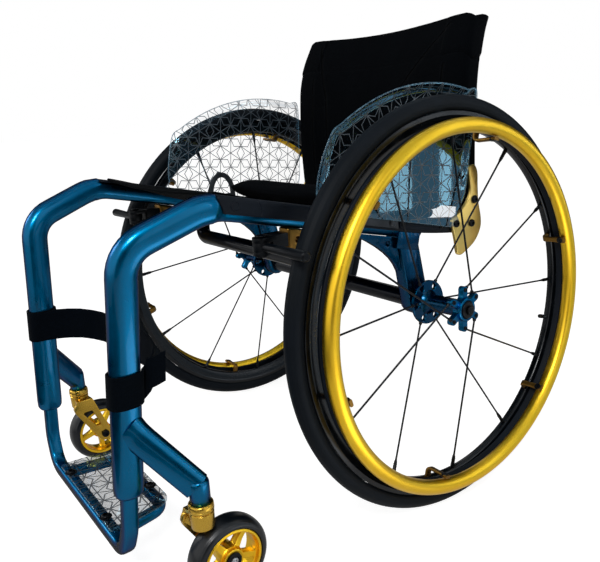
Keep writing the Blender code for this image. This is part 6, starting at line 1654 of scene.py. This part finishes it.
def side_guard(name, mirrored):
    """The clear guard: flat beside the wheel, with its upper edge flaring out over the tyre. Its inner
    face is plain, its edge gathers light and its outer face has the stars."""
    inner_x = RAIL_OUTER_X + 2 * GAP + GUARD_BRACKET_THICK
    middle = Vector((GUARD_MIDDLE_FORWARD, seat_line(GUARD_MIDDLE_FORWARD) + GUARD_MIDDLE_RISE))
    edge = guard_edge()
    shares = (1.12, 1.0, 0.86, 0.7, 0.54, 0.38, 0.22, 0.08)

    def ring(share, deep):
        made = []
        for point in edge:
            flat = Vector((point.x, point.y))
            inward = flat + (middle - flat).normalized() * (GUARD_FLARE_BAND * share)
            flare = GUARD_FLARE * point.z * (1 - smooth(share)) if share < 1 else 0.0
            made.append(place(inner_x + deep + flare, inward.x, inward.y))
        return made

    edges = ((0.03, 0.0002), (0.0, 0.0009), (0.0, GUARD_THICK - 0.0009), (0.03, GUARD_THICK - 0.0002))
    rings = [ring(share, 0.0) for share in shares] + [ring(*spot) for spot in edges]
    rings += [ring(share, GUARD_THICK) for share in reversed(shares)]
    shape = Shape().skin(rings)
    count = len(edge)
    for i in range(len(shares) - 1, len(rings) - 1):
        slot = 1 if i < len(shares) + len(edges) else 2
        shape.slots[i * count : (i + 1) * count] = [slot] * count
    shape.slots[-1] = 2
    dress(name, "_sheet", shape, [CLEAR, CLEAR_EDGE, CLEAR_STARS[name[-1]]], mirrored, 60)


def back_bracket(name, mirrored):
    """The hook-shaped plate that carries the backrest on the end of the rail."""
    bolt_forward = RAIL_REAR_FORWARD + BRACKET_BOLT_INSET
    foot = seat_line(bolt_forward, RAIL_HEIGHT - SEAT_TUBE_HEIGHT / 8)
    rise = BACK_PIVOT_HEIGHT - foot
    corners = [
        (AXLE_Y - BACK_PIVOT_FORWARD - ahead, foot + rise * share + above)
        for ahead, share, above in BRACKET_OUTLINE
    ]
    outline = [(p.x, p.y) for p in spline([corners[-1], *corners, *corners[:2]], 5)]
    start = RAIL_OUTER_X + GAP
    plate = Shape().slab(outline, start, BRACKET_THICK, edge=0.0015)
    dress(name, "_plate", plate, [CHAMPAGNE], mirrored)
    screws = Shape()
    face = start + BRACKET_THICK
    screws.screw(place(face, BACK_PIVOT_FORWARD + 0.006, foot + rise * BACK_STOP_SHARE), X)
    screws.screw(place(face, bolt_forward + 0.005, foot + BRACKET_SCREW_RISE), X)
    piece(name + "_screws", screws, [BLACK], "frame", mirrored)


def pivot_bolt(name, mirrored):
    """The spacer between the cane and the bracket, and the knurled head outside."""
    outer = RAIL_OUTER_X + BRACKET_THICK + 2 * GAP
    crown = CANE_X + CANE_R + GAP
    pivot = place(0, BACK_PIVOT_FORWARD, BACK_PIVOT_HEIGHT)
    spacer = [(crown, 0.003), (crown, SPACER_R), (RAIL_OUTER_X, SPACER_R), (RAIL_OUTER_X, 0.003)]
    knob = [(0, 0), (0.0005, 0.0006), (0.0012, 0.0006), (0.0017, 0)]
    knob = [(outer + along, BOLT_HEAD_R + proud) for along, proud in knob]
    shape = Shape().turned(spacer, 28, X, pivot).turned(knob + [(outer + 0.0017, 0.0032)], 28, X, pivot)
    shape.screw(pivot + X * outer, X, BOLT_HEAD_R * 0.94, BOLT_HEAD_THICK)
    dress(name, "_fine", shape, [BLACK], mirrored)


# ---- Backrest and seat


def back_bend(height):
    """How strongly the top of the backrest leans back and draws in at a height, from 0 to 1."""
    return max(0.0, min(1.0, (height - BACK_TOP + BACK_BEND) / BACK_BEND)) ** 2


def back_forward(height):
    """How far in front of the axle the canes' centre line lies at a height."""
    share = (height - BACK_PIVOT_HEIGHT) / (BACK_TOP - BACK_PIVOT_HEIGHT)
    lean = BACK_LEAN * (3 * share * share - 2 * share)
    return BACK_PIVOT_FORWARD - lean - BACK_BEND_LEAN * back_bend(height)


def back_cane(name, mirrored):
    """The back's tube, which leans back and draws in at its top, with a sleeve at its foot."""
    heights = [BACK_PIVOT_HEIGHT - CANE_TAIL]
    heights += [BACK_PIVOT_HEIGHT + (CANE_TOP - BACK_PIVOT_HEIGHT) * i / 32 for i in range(33)]
    points = []
    for height in heights:
        x = CANE_X - BACK_BEND_TAPER * back_bend(height)
        points.append(place(x, back_forward(max(height, BACK_PIVOT_HEIGHT)), height))
    sleeve = [(0, 0.004), (0, CANE_R - 0.0008), (0.0008, CANE_R), (0.008, CANE_R), (0.008, 0.004)]
    shape = Shape().turned(sleeve, 32, Z, points[0])
    shape.skin(swept(points, circle(CANE_R, 32), X))
    dress(name, "_tube", shape, [BLUE_SHADED], mirrored)


def cloth_noise(point, scale, seed):
    return noise.noise(Vector((point.x * scale + seed, point.y * scale, point.z * scale)))


def back_section():
    """The cloth's line round the canes, as (sideways, forward)."""
    front = CANE_R + 2 * GAP + BACK_CLOTH
    back = -(CANE_R + 2 * GAP) - BACK_CLOTH
    outer = BACK_HALF_WIDTH
    middle = CANE_X - BACK_POCKET_INNER
    corner = BACK_CORNER_R
    across = [middle * (1 - 2 * i / BACK_COLUMNS) for i in range(BACK_COLUMNS + 1)]
    across += [sign * (PANEL_INNER + step) for sign in (-1, 1) for step in (-0.0008, 0.0008)]
    line = [
        (x, front + 0.0006 - BACK_BOW * (1 - (x / middle) ** 2)) for x in sorted(across, reverse=True)
    ]
    wrap = [(middle + 0.010, front + 0.0008), (CANE_X, front + 0.0006), (outer - corner, front)]
    wrap += arc((outer - corner, front - corner), corner, 75, 0, 5)
    wrap.append((outer, 0.0))
    wrap += arc((outer - corner, back + corner), corner, 0, -90, 6)
    wrap += [(CANE_X, back), (middle + 0.012, back), (middle, back)]
    return list(reversed(wrap)) + line + [(-x, f) for x, f in wrap]


def back_upholstery():
    """The tensioned cloth of the backrest: a bowed front sheet, wrapped round both canes."""
    outer = BACK_HALF_WIDTH
    middle = CANE_X - BACK_POCKET_INNER
    section = back_section()
    rings = []
    for i in range(len(BACK_FALLS) + BACK_ROWS):
        ring = []
        for x, f in section:
            high = BACK_TOP + BACK_PROUD_TOP - BACK_TOP_DIP * (1 - (x / outer) ** 2)
            edge = max(0.0, abs(x) - (outer - BACK_TOP_CORNER)) / BACK_TOP_CORNER
            high -= BACK_TOP_CORNER_DROP * (1 - math.sqrt(max(0.0, 1 - edge * edge)))
            if i < len(BACK_FALLS):
                height = high - BACK_FALLS[i]
            else:
                last = high - BACK_FALLS[-1]
                low = BACK_BOTTOM - BACK_LOOSE_END * max(0.0, 1 - (abs(x) / middle) ** 8)
                height = last + (low - last) * (i - len(BACK_FALLS) + 1) / BACK_ROWS
            fall = high - height
            draw = 1 - BACK_BEND_TAPER * back_bend(height) / outer
            point = place(x * draw, back_forward(max(height, BACK_PIVOT_HEIGHT)) + f, height)
            inside = max(0.0, 1 - (abs(x) / middle) ** 4) if f > 0 else 0.0
            fold = cloth_noise(point, 14, 3.1) * 0.5 + cloth_noise(point, 38, 9.7) * 0.22
            sweep = math.sin(x * 30 + height * 55 + 2.0 * cloth_noise(point, 6, 1.3)) * 0.25
            point.y -= (fold + sweep) * BACK_FOLD * inside
            proud = 0.0008 * math.exp(-((fall / 0.010) ** 2))
            if abs(x) > PANEL_INNER and fall < PANEL_DROP:
                proud += PANEL_THICK
            away = Vector((0.0, -1.0))
            if abs(x) > middle:
                away = Vector((x - math.copysign(CANE_X, x), -f)).normalized()
            ring.append(point + Vector((away.x, away.y, 0)) * proud)
        rings.append(ring)
    shape = Shape().skin(list(reversed(rings)), closed=False)
    obj = dress("back_upholstery", "_cloth", shape, [BACK_FINISH], sharp=None)
    modifier = obj.modifiers.new("thickness", "SOLIDIFY")
    modifier.thickness = BACK_SHEET
    modifier.offset = 1.0
    settle(obj)
    return obj


def brake_shoe(name):
    """The brake's arm, with its bar as thick as the photograph shows it."""
    obj = refined(name, [BLACK], 0.0006)
    middle = place(0, BRAKE_BAR_FORWARD, seat_line(BRAKE_LINE_FORWARD) - BRAKE_BAR_DROP)
    for corner in obj.data.vertices:
        out = abs(corner.co.x) - BRAKE_BAR_X
        swell = 1 + (BRAKE_BAR_SWELL - 1) * smooth(out / 0.006) * (1.1 - 3 * out)
        corner.co.y = middle.y + (corner.co.y - middle.y) * swell
        corner.co.z = middle.z + (corner.co.z - middle.z) * swell


def post_cap(name, mirrored):
    """The block that joins the post's top to the seat tube and covers the tube's end."""
    rear, front = POST_CAP_FORWARD
    rings = []
    for forward, inset in ((rear, 0.0016), (rear + 0.0010, 0.0004), (rear + 0.0026, 0), (front, 0)):
        low = seat_point(0, forward, -POST_CAP_DROP)
        high = seat_point(0, forward, POST_CAP_RISE - inset)
        half = POST_CAP_HALF - inset
        corners = ((-half, low), (half, low), (half, high), (-half, high))
        rings.append([Vector((SEAT_TUBE_X + side, p.y, p.z)) for side, p in corners])
    block = piece(name, Shape().skin(rings), [BLUE_SHADED], "frame", mirrored)
    soften(block, 0.0014, 3, 32)


def build_guards_and_back():
    for letter, sign in SIDES:
        mirrored = sign < 0
        side_guard("side_guard_" + letter, mirrored)
        refined("guard_bracket_" + letter, [GREY], 0.0007)
        back_bracket("back_bracket_" + letter, mirrored)
        pivot_bolt("back_pivot_bolt_" + letter, mirrored)
        back_cane("back_cane_" + letter, mirrored)
        refined("rear_post_" + letter, [BLUE_SHADED], 0.0012)
        post_cap("post_cap_" + letter, mirrored)
        refined("brake_clamp_" + letter, [BRONZE], 0.0010)
        refined("brake_base_" + letter, [BLACK], 0.0010)
        refined("brake_pin_" + letter, [BLACK], 0.0006)
        brake_shoe("brake_shoe_" + letter)
        refined("brake_lever_" + letter, [BLACK], 0.0008)
        refined("wheel_axle_" + letter, [BLACK], 0.0005)
        refined("axle_button_" + letter, [BLACK], 0.0004)


# ---- Seat cloths and strap


def open_curve(points, steps):
    """A smooth curve through points, with its own ends."""
    points = [Vector(point) for point in points]
    before = points[0] * 2 - points[1]
    after = points[-1] * 2 - points[-2]
    return spline([before, *points, after], steps) + [points[-1]]


def swollen(obj, voxel, reach, frames=20):
    """Remeshes a pad and blows it up a little as cloth, with no point moving further than its reach."""
    modifier = obj.modifiers.new("even mesh", "REMESH")
    modifier.mode = "VOXEL"
    modifier.voxel_size = voxel
    modifier.use_smooth_shade = True
    settle(obj)
    start = [vertex.co.copy() for vertex in obj.data.vertices]
    settings = obj.modifiers.new("cloth", "CLOTH").settings
    settings.quality = 5
    settings.mass = 0.3
    settings.tension_stiffness = 15
    settings.compression_stiffness = 15
    settings.bending_stiffness = 0.8
    settings.use_pressure = True
    settings.uniform_pressure_force = 4.0
    settings.effector_weights.gravity = 0.0
    for number in range(1, frames + 1):
        bpy.context.scene.frame_set(number)
    settle(obj)
    bpy.context.scene.frame_set(1)
    for vertex, first in zip(obj.data.vertices, start):
        move = vertex.co - first
        if move.length > reach:
            vertex.co = first + move * (reach / move.length)
    smoother = obj.modifiers.new("smooth", "SMOOTH")
    smoother.factor = 0.5
    smoother.iterations = 4
    finer = obj.modifiers.new("finer", "SUBSURF")
    finer.levels = 1
    finer.render_levels = 1
    settle(obj)


def sling_sag(x):
    return SLING_SAG * (1 - (x / (RAIL_INNER_X - GAP)) ** 2)


def there_and_back(columns):
    """Shares across a cloth's top and back along its underside, and if each is on the underside."""
    shares = [i / columns for i in range(columns + 1)]
    return [(share, False) for share in shares] + [(1 - share, True) for share in shares]


def seat_sling():
    """The sling between the rails: sagging cloth with turned hems and a few soft creases."""
    half = RAIL_INNER_X - GAP
    top = SEAT_TUBE_HEIGHT + GAP + RAIL_WALL - 0.0005
    length = SLING_FRONT_FORWARD - SLING_REAR_FORWARD
    ends = [0.0, 0.0006, 0.0018, 0.004, 0.008, 0.0115, SLING_HEM, 0.016]
    backs = ends + [0.016 + (length - 0.032) * i / SLING_ROWS for i in range(1, SLING_ROWS)]
    backs += [length - end for end in reversed(ends)]
    rings = []
    for back in backs:
        margin = min(back, length - back)
        hem = SLING_HEM_THICK * smooth((SLING_HEM - margin) / 0.001)
        thin = 0.0011 * (1 - min(1.0, margin / 0.0018)) ** 2
        forward = SLING_FRONT_FORWARD - back
        raised = 1 - smooth(back / 0.06)
        ring = []
        for share, lower in there_and_back(SLING_COLUMNS):
            x = half * (2 * share - 1)
            above = top - sling_sag(x) * (1 - 0.4 * raised) - (SLING_THICK - thin if lower else thin)
            above += SLING_FRONT_RISE * raised
            free = (1 - (x / half) ** 6) * min(1.0, margin / 0.03)
            spot = Vector((x, forward, 0))
            crease = math.sin(forward * 34 + 3 * cloth_noise(spot, 9, 2.2)) * abs(x / half) ** 2
            crease += cloth_noise(spot, 16, 5.5) * 0.8
            above += SLING_CREASE * crease * free + (hem if lower else 0.0) * -0.5
            ring.append(seat_point(x, forward, above))
        rings.append(ring)
    return dress("seat_sling", "_cloth", Shape().skin(rings), [CLOTH], sharp=50)


def back_flap():
    """The padded lower end of the backrest, thin and lifted along its front edge."""
    half = FLAP_HALF_WIDTH - FLAP_SWELL / 3
    rail_top = SEAT_TUBE_HEIGHT + GAP + RAIL_WALL
    last = len(FLAP_TOPS) - 1
    rings = []
    for number in range(FLAP_ROWS + 1):
        share = number / FLAP_ROWS
        spot = min(share * last, last - 1e-6)
        k = int(spot)
        t = spot - k
        high = FLAP_TOPS[k] * (1 - t) + FLAP_TOPS[k + 1] * t - FLAP_SWELL / 4
        low = FLAP_UNDERS[k] * (1 - t) + FLAP_UNDERS[k + 1] * t + FLAP_SWELL / 8
        forward = FLAP_FRONT_FORWARD - 0.002 + (FLAP_REAR_FORWARD - FLAP_FRONT_FORWARD + 0.004) * share
        ring = []
        for across, lower in there_and_back(FLAP_COLUMNS):
            x = half * (2 * across - 1)
            edge = (x / half) ** 6
            below = rail_top - sling_sag(x) + 0.0008 + low * (1 - 0.3 * edge)
            above = max(rail_top + high * (1 - 0.42 * edge) - 0.25 * sling_sag(x), below + 0.005)
            round_off = 0.010 * edge * (0.5 - share)
            ring.append(seat_point(x, forward + round_off, below if lower else above))
        rings.append(ring)
    obj = dress("back_flap", "_pad", Shape().skin(rings), [FLAP_FINISH], sharp=None)
    swollen(obj, FLAP_VOXEL, FLAP_SWELL)
    for vertex in obj.data.vertices:
        x = max(-RAIL_INNER_X, min(RAIL_INNER_X, vertex.co.x))
        rest = seat_point(x, AXLE_Y - vertex.co.y, rail_top - sling_sag(x) + 0.0010).z
        vertex.co.z = max(vertex.co.z, rest)
    for polygon in obj.data.polygons:
        polygon.use_smooth = True
    return obj


def band(line, height, thick):
    """Flat webbing that stands on edge along a line of (sideways, forward, height) points. It leans as
    the front tubes do, and is narrower round the near one."""
    mid_x, mid_forward = front_tube_centre(STRAP_CENTRE_HEIGHT)
    edge = [(-0.5, -0.22), (-0.487, -0.5), *((-0.5 + i / 10, -0.5) for i in range(1, 10))]
    edge += [(0.487, -0.5), (0.5, -0.22)]
    section = edge + [(-a, -b) for a, b in edge]
    rings = []
    for i, point in enumerate(line):
        ahead = heading([Vector((p[0], p[1])) for p in line], i)
        high = height * (1 - STRAP_NARROWER * max(0.0, min(1.0, (point[0] - 0.08) / 0.06)))
        side = max(-1.0, min(1.0, point[0] / 0.1))
        ring = []
        for across, deep in section:
            z = point[2] + across * high
            shift_x, shift_forward = front_tube_centre(z)
            x = point[0] + (shift_x - mid_x) * side + ahead.y * deep * thick
            ring.append(place(x, point[1] + shift_forward - mid_forward - ahead.x * deep * thick, z))
        rings.append(ring)
    return rings


def calf_strap():
    """The webbing behind the calves, wrapped round both front tubes, with its free tail."""
    clearance = 2 * GAP + STRAP_THICK / 2
    wide = TUBE_WIDTH + 2 * clearance
    wrap = superellipse(wide, TUBE_DEPTH + 2 * clearance, TUBE_SQUARENESS, TUBE_SIDES)
    mid_x, mid_forward = front_tube_centre(STRAP_CENTRE_HEIGHT)
    level = STRAP_CENTRE_HEIGHT
    near_loop = [wrap[i % TUBE_SIDES] for i in range(26, -12, -1)]
    far_loop = [wrap[i % TUBE_SIDES] for i in range(20, -21, -1)]
    line = [(mid_x + u, mid_forward + v, level) for u, v in near_loop]
    line += [(mid_x + u, mid_forward - STRAP_REACH * share, level + rise) for u, share, rise in STRAP_RUN]
    run = [(0.0, STRAP_REACH + 0.004, -0.001), (-0.050, STRAP_REACH_FAR, -0.006)]
    run += [(-0.095, STRAP_REACH_FAR, -0.007), (-0.128, 0.048, -0.003), (-mid_x + 0.0215, 0.016, 0.0)]
    line += [(x, mid_forward - reach, level + rise) for x, reach, rise in run]
    line += [(-mid_x - u, mid_forward + v, level) for u, v in far_loop]
    path = open_curve(line, 2)
    shape = Shape().skin(band(path, STRAP_HEIGHT, STRAP_THICK - 0.0006))
    strap = dress("calf_strap", "_webbing", shape, [WEBBING], sharp=50)
    tail = [(0.010, -STRAP_TAIL_START), (0.0145, -0.0247), (0.0182, -0.030), (0.0202, -0.038)]
    tail = [
        (mid_x + u, mid_forward + v, level + STRAP_TAIL_RISE - STRAP_TAIL_FALL * (v + STRAP_TAIL_START))
        for u, v in tail + [(0.0212, -STRAP_TAIL)]
    ]
    end = open_curve(tail, 6)
    shape = Shape().skin(band(end, STRAP_TAIL_HEIGHT, STRAP_THICK - 0.0009))
    return path, strap, end, piece("calf_strap_tail", shape, [WEBBING], "frame", sharp=50)


def path_length(points):
    return sum((Vector(b) - Vector(a)).length for a, b in zip(points, points[1:]))


def build_cloths():
    back = back_upholstery()
    sling = seat_sling()
    pad = back_flap()
    path, strap, end, loose = calf_strap()
    width = path_length(back_section())
    path_length(path)
    path_length(end)


# ---- The whole chair


def finish_cad_nodes():
    """Gives each node that stays in sight the finish of its slot in the record."""
    for obj in frame["nodes"].values():
        for number, made in enumerate(obj.data.materials):
            obj.data.materials[number] = SLOT_FINISH.get(made.name.split(".")[0], BLACK)


def build_chair():
    footrest()
    footplate()
    camber_tube()
    cross_bar()
    swivel = place(CASTER_X, CASTER_FORWARD, 0)
    spin = swivel + Vector((0, CASTER_TRAIL, CASTER_R))
    for letter, sign in SIDES:
        mirrored = sign < 0
        side_tube("side_frame_" + letter, mirrored)
        caster_arm("caster_arm_" + letter, mirrored)
        seat_rail("seat_rail_" + letter, mirrored)
        phase = SPOKE_TURN + (SPOKE_PHASE_R if mirrored else 0.0)
        rear_tyre("rear_tyre_" + letter, mirrored)
        rear_rim("rear_rim_" + letter, mirrored)
        spokes(letter, phase, mirrored)
        hub("spoked_hub_" + letter, phase, mirrored)
        hand_rim("handrim_" + letter, mirrored)
        hand_rim_mounts("handrim_mounts_" + letter, mirrored)
        caster_tyre("caster_tyre_" + letter, spin, mirrored)
        caster_rim("caster_rim_" + letter, spin, mirrored)
        caster_fork("caster_fork_" + letter, swivel, mirrored)
        caster_collar("caster_collar_" + letter, swivel, mirrored)
        caster_bolt("caster_bolt_" + letter, swivel, mirrored)


# ---- Camera, light and floor

CAMERA_SPOT = (0.8215, -0.59235, 0.5774)
CAMERA_YAW = 0.9414
CAMERA_PITCH = 0.2582
CAMERA_ROLL = -0.0593
CAMERA_LENS = 37.7636
CAMERA_SHIFT = (0.00962, -0.00358)
LAMP_AIM = (0, 0, 0.35)
WORLD_LEVEL = 0.30
FLOOR_GLOW = 0.86
FLOOR_SHINE = 0.25
FLOOR_REACH = 30.0
BOARD_LOW = 0.003
BOARD_HIGH = 2.7
# Where the bright panes on the right start, and how wide they are, as shares of the board
RIGHT_PANES = ((0.30, 0.035), (0.41, 0.08), (0.56, 0.03), (0.66, 0.08), (0.80, 0.04))
TOP_PANES = (-0.7, 0.35, 1.15)


def camera():
    """The photograph's camera, as its solving gave it."""
    yaw = CAMERA_YAW
    pitch = CAMERA_PITCH
    ahead = Vector((-math.sin(yaw) * math.cos(pitch), math.cos(yaw) * math.cos(pitch), -math.sin(pitch)))
    level = Vector((math.cos(yaw), math.sin(yaw), 0))
    upright = level.cross(ahead)
    right = level * math.cos(CAMERA_ROLL) + upright * math.sin(CAMERA_ROLL)
    up = upright * math.cos(CAMERA_ROLL) - level * math.sin(CAMERA_ROLL)
    data = bpy.data.cameras.new("camera")
    data.lens = CAMERA_LENS
    data.sensor_width = 36
    data.sensor_fit = "HORIZONTAL"
    data.shift_x, data.shift_y = CAMERA_SHIFT
    data.clip_start = 0.01
    obj = bpy.data.objects.new("camera", data)
    turn = Matrix((right, up, -ahead)).transposed().to_4x4()
    obj.matrix_world = Matrix.Translation(CAMERA_SPOT) @ turn
    bpy.context.scene.collection.objects.link(obj)
    bpy.context.scene.camera = obj


def lamp(name, spot, size, level):
    """A soft square lamp. Its level is the brightness that it gives a white card at its aim."""
    data = bpy.data.lights.new(name, "AREA")
    spot = Vector(spot)
    ray = Vector(LAMP_AIM) - spot
    data.shape = "SQUARE"
    data.size = size
    data.energy = level * math.pi**2 * ray.length_squared
    obj = bpy.data.objects.new(name, data)
    obj.location = spot
    obj.rotation_euler = ray.to_track_quat("-Z", "Y").to_euler()
    bpy.context.scene.collection.objects.link(obj)


def stage_face(name, corners, made):
    """One flat face, which isn't part of the chair."""
    mesh = bpy.data.meshes.new(name)
    mesh.from_pydata(corners, [], [(0, 1, 2, 3)])
    mesh.materials.append(made)
    obj = bpy.data.objects.new(name, mesh)
    bpy.context.scene.collection.objects.link(obj)
    return obj


def flat_corners(start, end, height):
    return [(*start, height), (end[0], start[1], height), (*end, height), (start[0], end[1], height)]


def studio():
    """A white world and a floor that look white to the camera and in gloss, and three soft lamps."""
    world = bpy.data.worlds.new("studio")
    bpy.context.scene.world = world
    world.use_nodes = True
    sky = Nodes(world.node_tree)
    seen = sky.math("MAXIMUM", sky.ray("Transmission"), sky.ray("Glossy"))
    seen = sky.math("MAXIMUM", sky.ray("Camera"), seen)
    shader = world.node_tree.nodes["Background"]
    sky.feed(shader.inputs["Strength"], sky.ramp(seen, 0.0, 1.0, WORLD_LEVEL, 1.0))
    sky.feed(shader.inputs["Color"], (1, 1, 1, 1))
    lamp("key", (1.6, -1.5, 2.2), 0.7, 0.42)
    lamp("fill", (2.2, 1.2, 1.3), 1.0, 0.16)
    lamp("left", (-2.0, -1.6, 1.6), 0.9, 0.16)
    bpy.context.scene.view_settings.view_transform = "Standard"
    made = Finish("floor", (0.5, 0.5, 0.5, 1), 0.9, Specular_IOR_Level=0.1, Emission_Color=(1, 1, 1, 1))
    shine = made.math("MULTIPLY", made.ray("Glossy"), FLOOR_SHINE)
    seen = made.math("MAXIMUM", made.ray("Camera"), shine)
    made.give("Emission Strength", made.math("MULTIPLY", seen, FLOOR_GLOW))
    corners = flat_corners((-FLOOR_REACH, -FLOOR_REACH), (FLOOR_REACH, FLOOR_REACH), 0)
    stage_face("floor", corners, made.material)


def card(name, corners, made):
    """A board of the studio, seen only in reflections."""
    obj = stage_face(name, corners, made)
    obj.visible_camera = False
    obj.visible_diffuse = False
    obj.visible_shadow = False
    obj.visible_transmission = False


def glow(name, colour, level):
    made = Finish(name, tone(0, 0, 0), 0.9, Specular_IOR_Level=0.0, Emission_Color=colour)
    made.give("Emission Strength", level)
    return made.material


def upright(name, start, end, foot, top, made):
    card(name, [(*start, foot), (*end, foot), (*end, top), (*start, top)], made)


def studio_cards():
    """Dark boards and narrow bright panes round the set, as metal and gloss show them."""
    dark = Finish("dark board", tone(24, 28, 34), 0.9, Specular_IOR_Level=0.0).material
    pane = glow("bright pane", tone(245, 250, 255), 2.2)
    veil = glow("half bright board", tone(190, 215, 235), 0.5)
    bright = glow("bright sheet", tone(245, 250, 255), 2.6)
    shade = glow("ceiling", tone(180, 205, 225), 0.32)
    start = Vector((1.30, 0.30))
    end = Vector((0.78, 1.62))
    upright("board_right", start, end, 0.0, 1.7, veil)
    nearer = Vector((-0.03, -0.012))
    for number, (share, wide) in enumerate(RIGHT_PANES):
        sides = [start.lerp(end, place_on) + nearer for place_on in (share, share + wide)]
        upright("pane_right_%d" % number, *sides, 0.25, 1.6, pane)
    upright("board_near", (2.2, -2.6), (2.4, -0.6), 0.0, 2.6, dark)
    upright("board_left", (-2.6, -1.2), (-2.6, 2.4), 0.0, 2.4, dark)
    upright("board_back", (-2.4, 2.6), (1.2, 2.6), 0.0, 2.4, dark)
    card("board_top", flat_corners((-2.6, -2.4), (2.4, 2.6), BOARD_HIGH), shade)
    for number, x in enumerate(TOP_PANES):
        corners = flat_corners((x, -2.3), (x + 0.12, 2.4), BOARD_HIGH - 0.05)
        card("pane_top_%d" % number, corners, bright)
    card("sheet_near", flat_corners((0.50, -0.22), (0.95, 0.20), BOARD_LOW), bright)
    card("sheet_rear", flat_corners((-0.1, 0.5), (0.5, 1.1), BOARD_LOW), veil)
    card("board_front", flat_corners((-0.8, -2.2), (1.1, -0.72), BOARD_LOW), dark)


def main():
    camera()
    studio_cards()
    studio()
    finish_cad_nodes()
    build_chair()
    build_guards_and_back()
    build_cloths()


main()
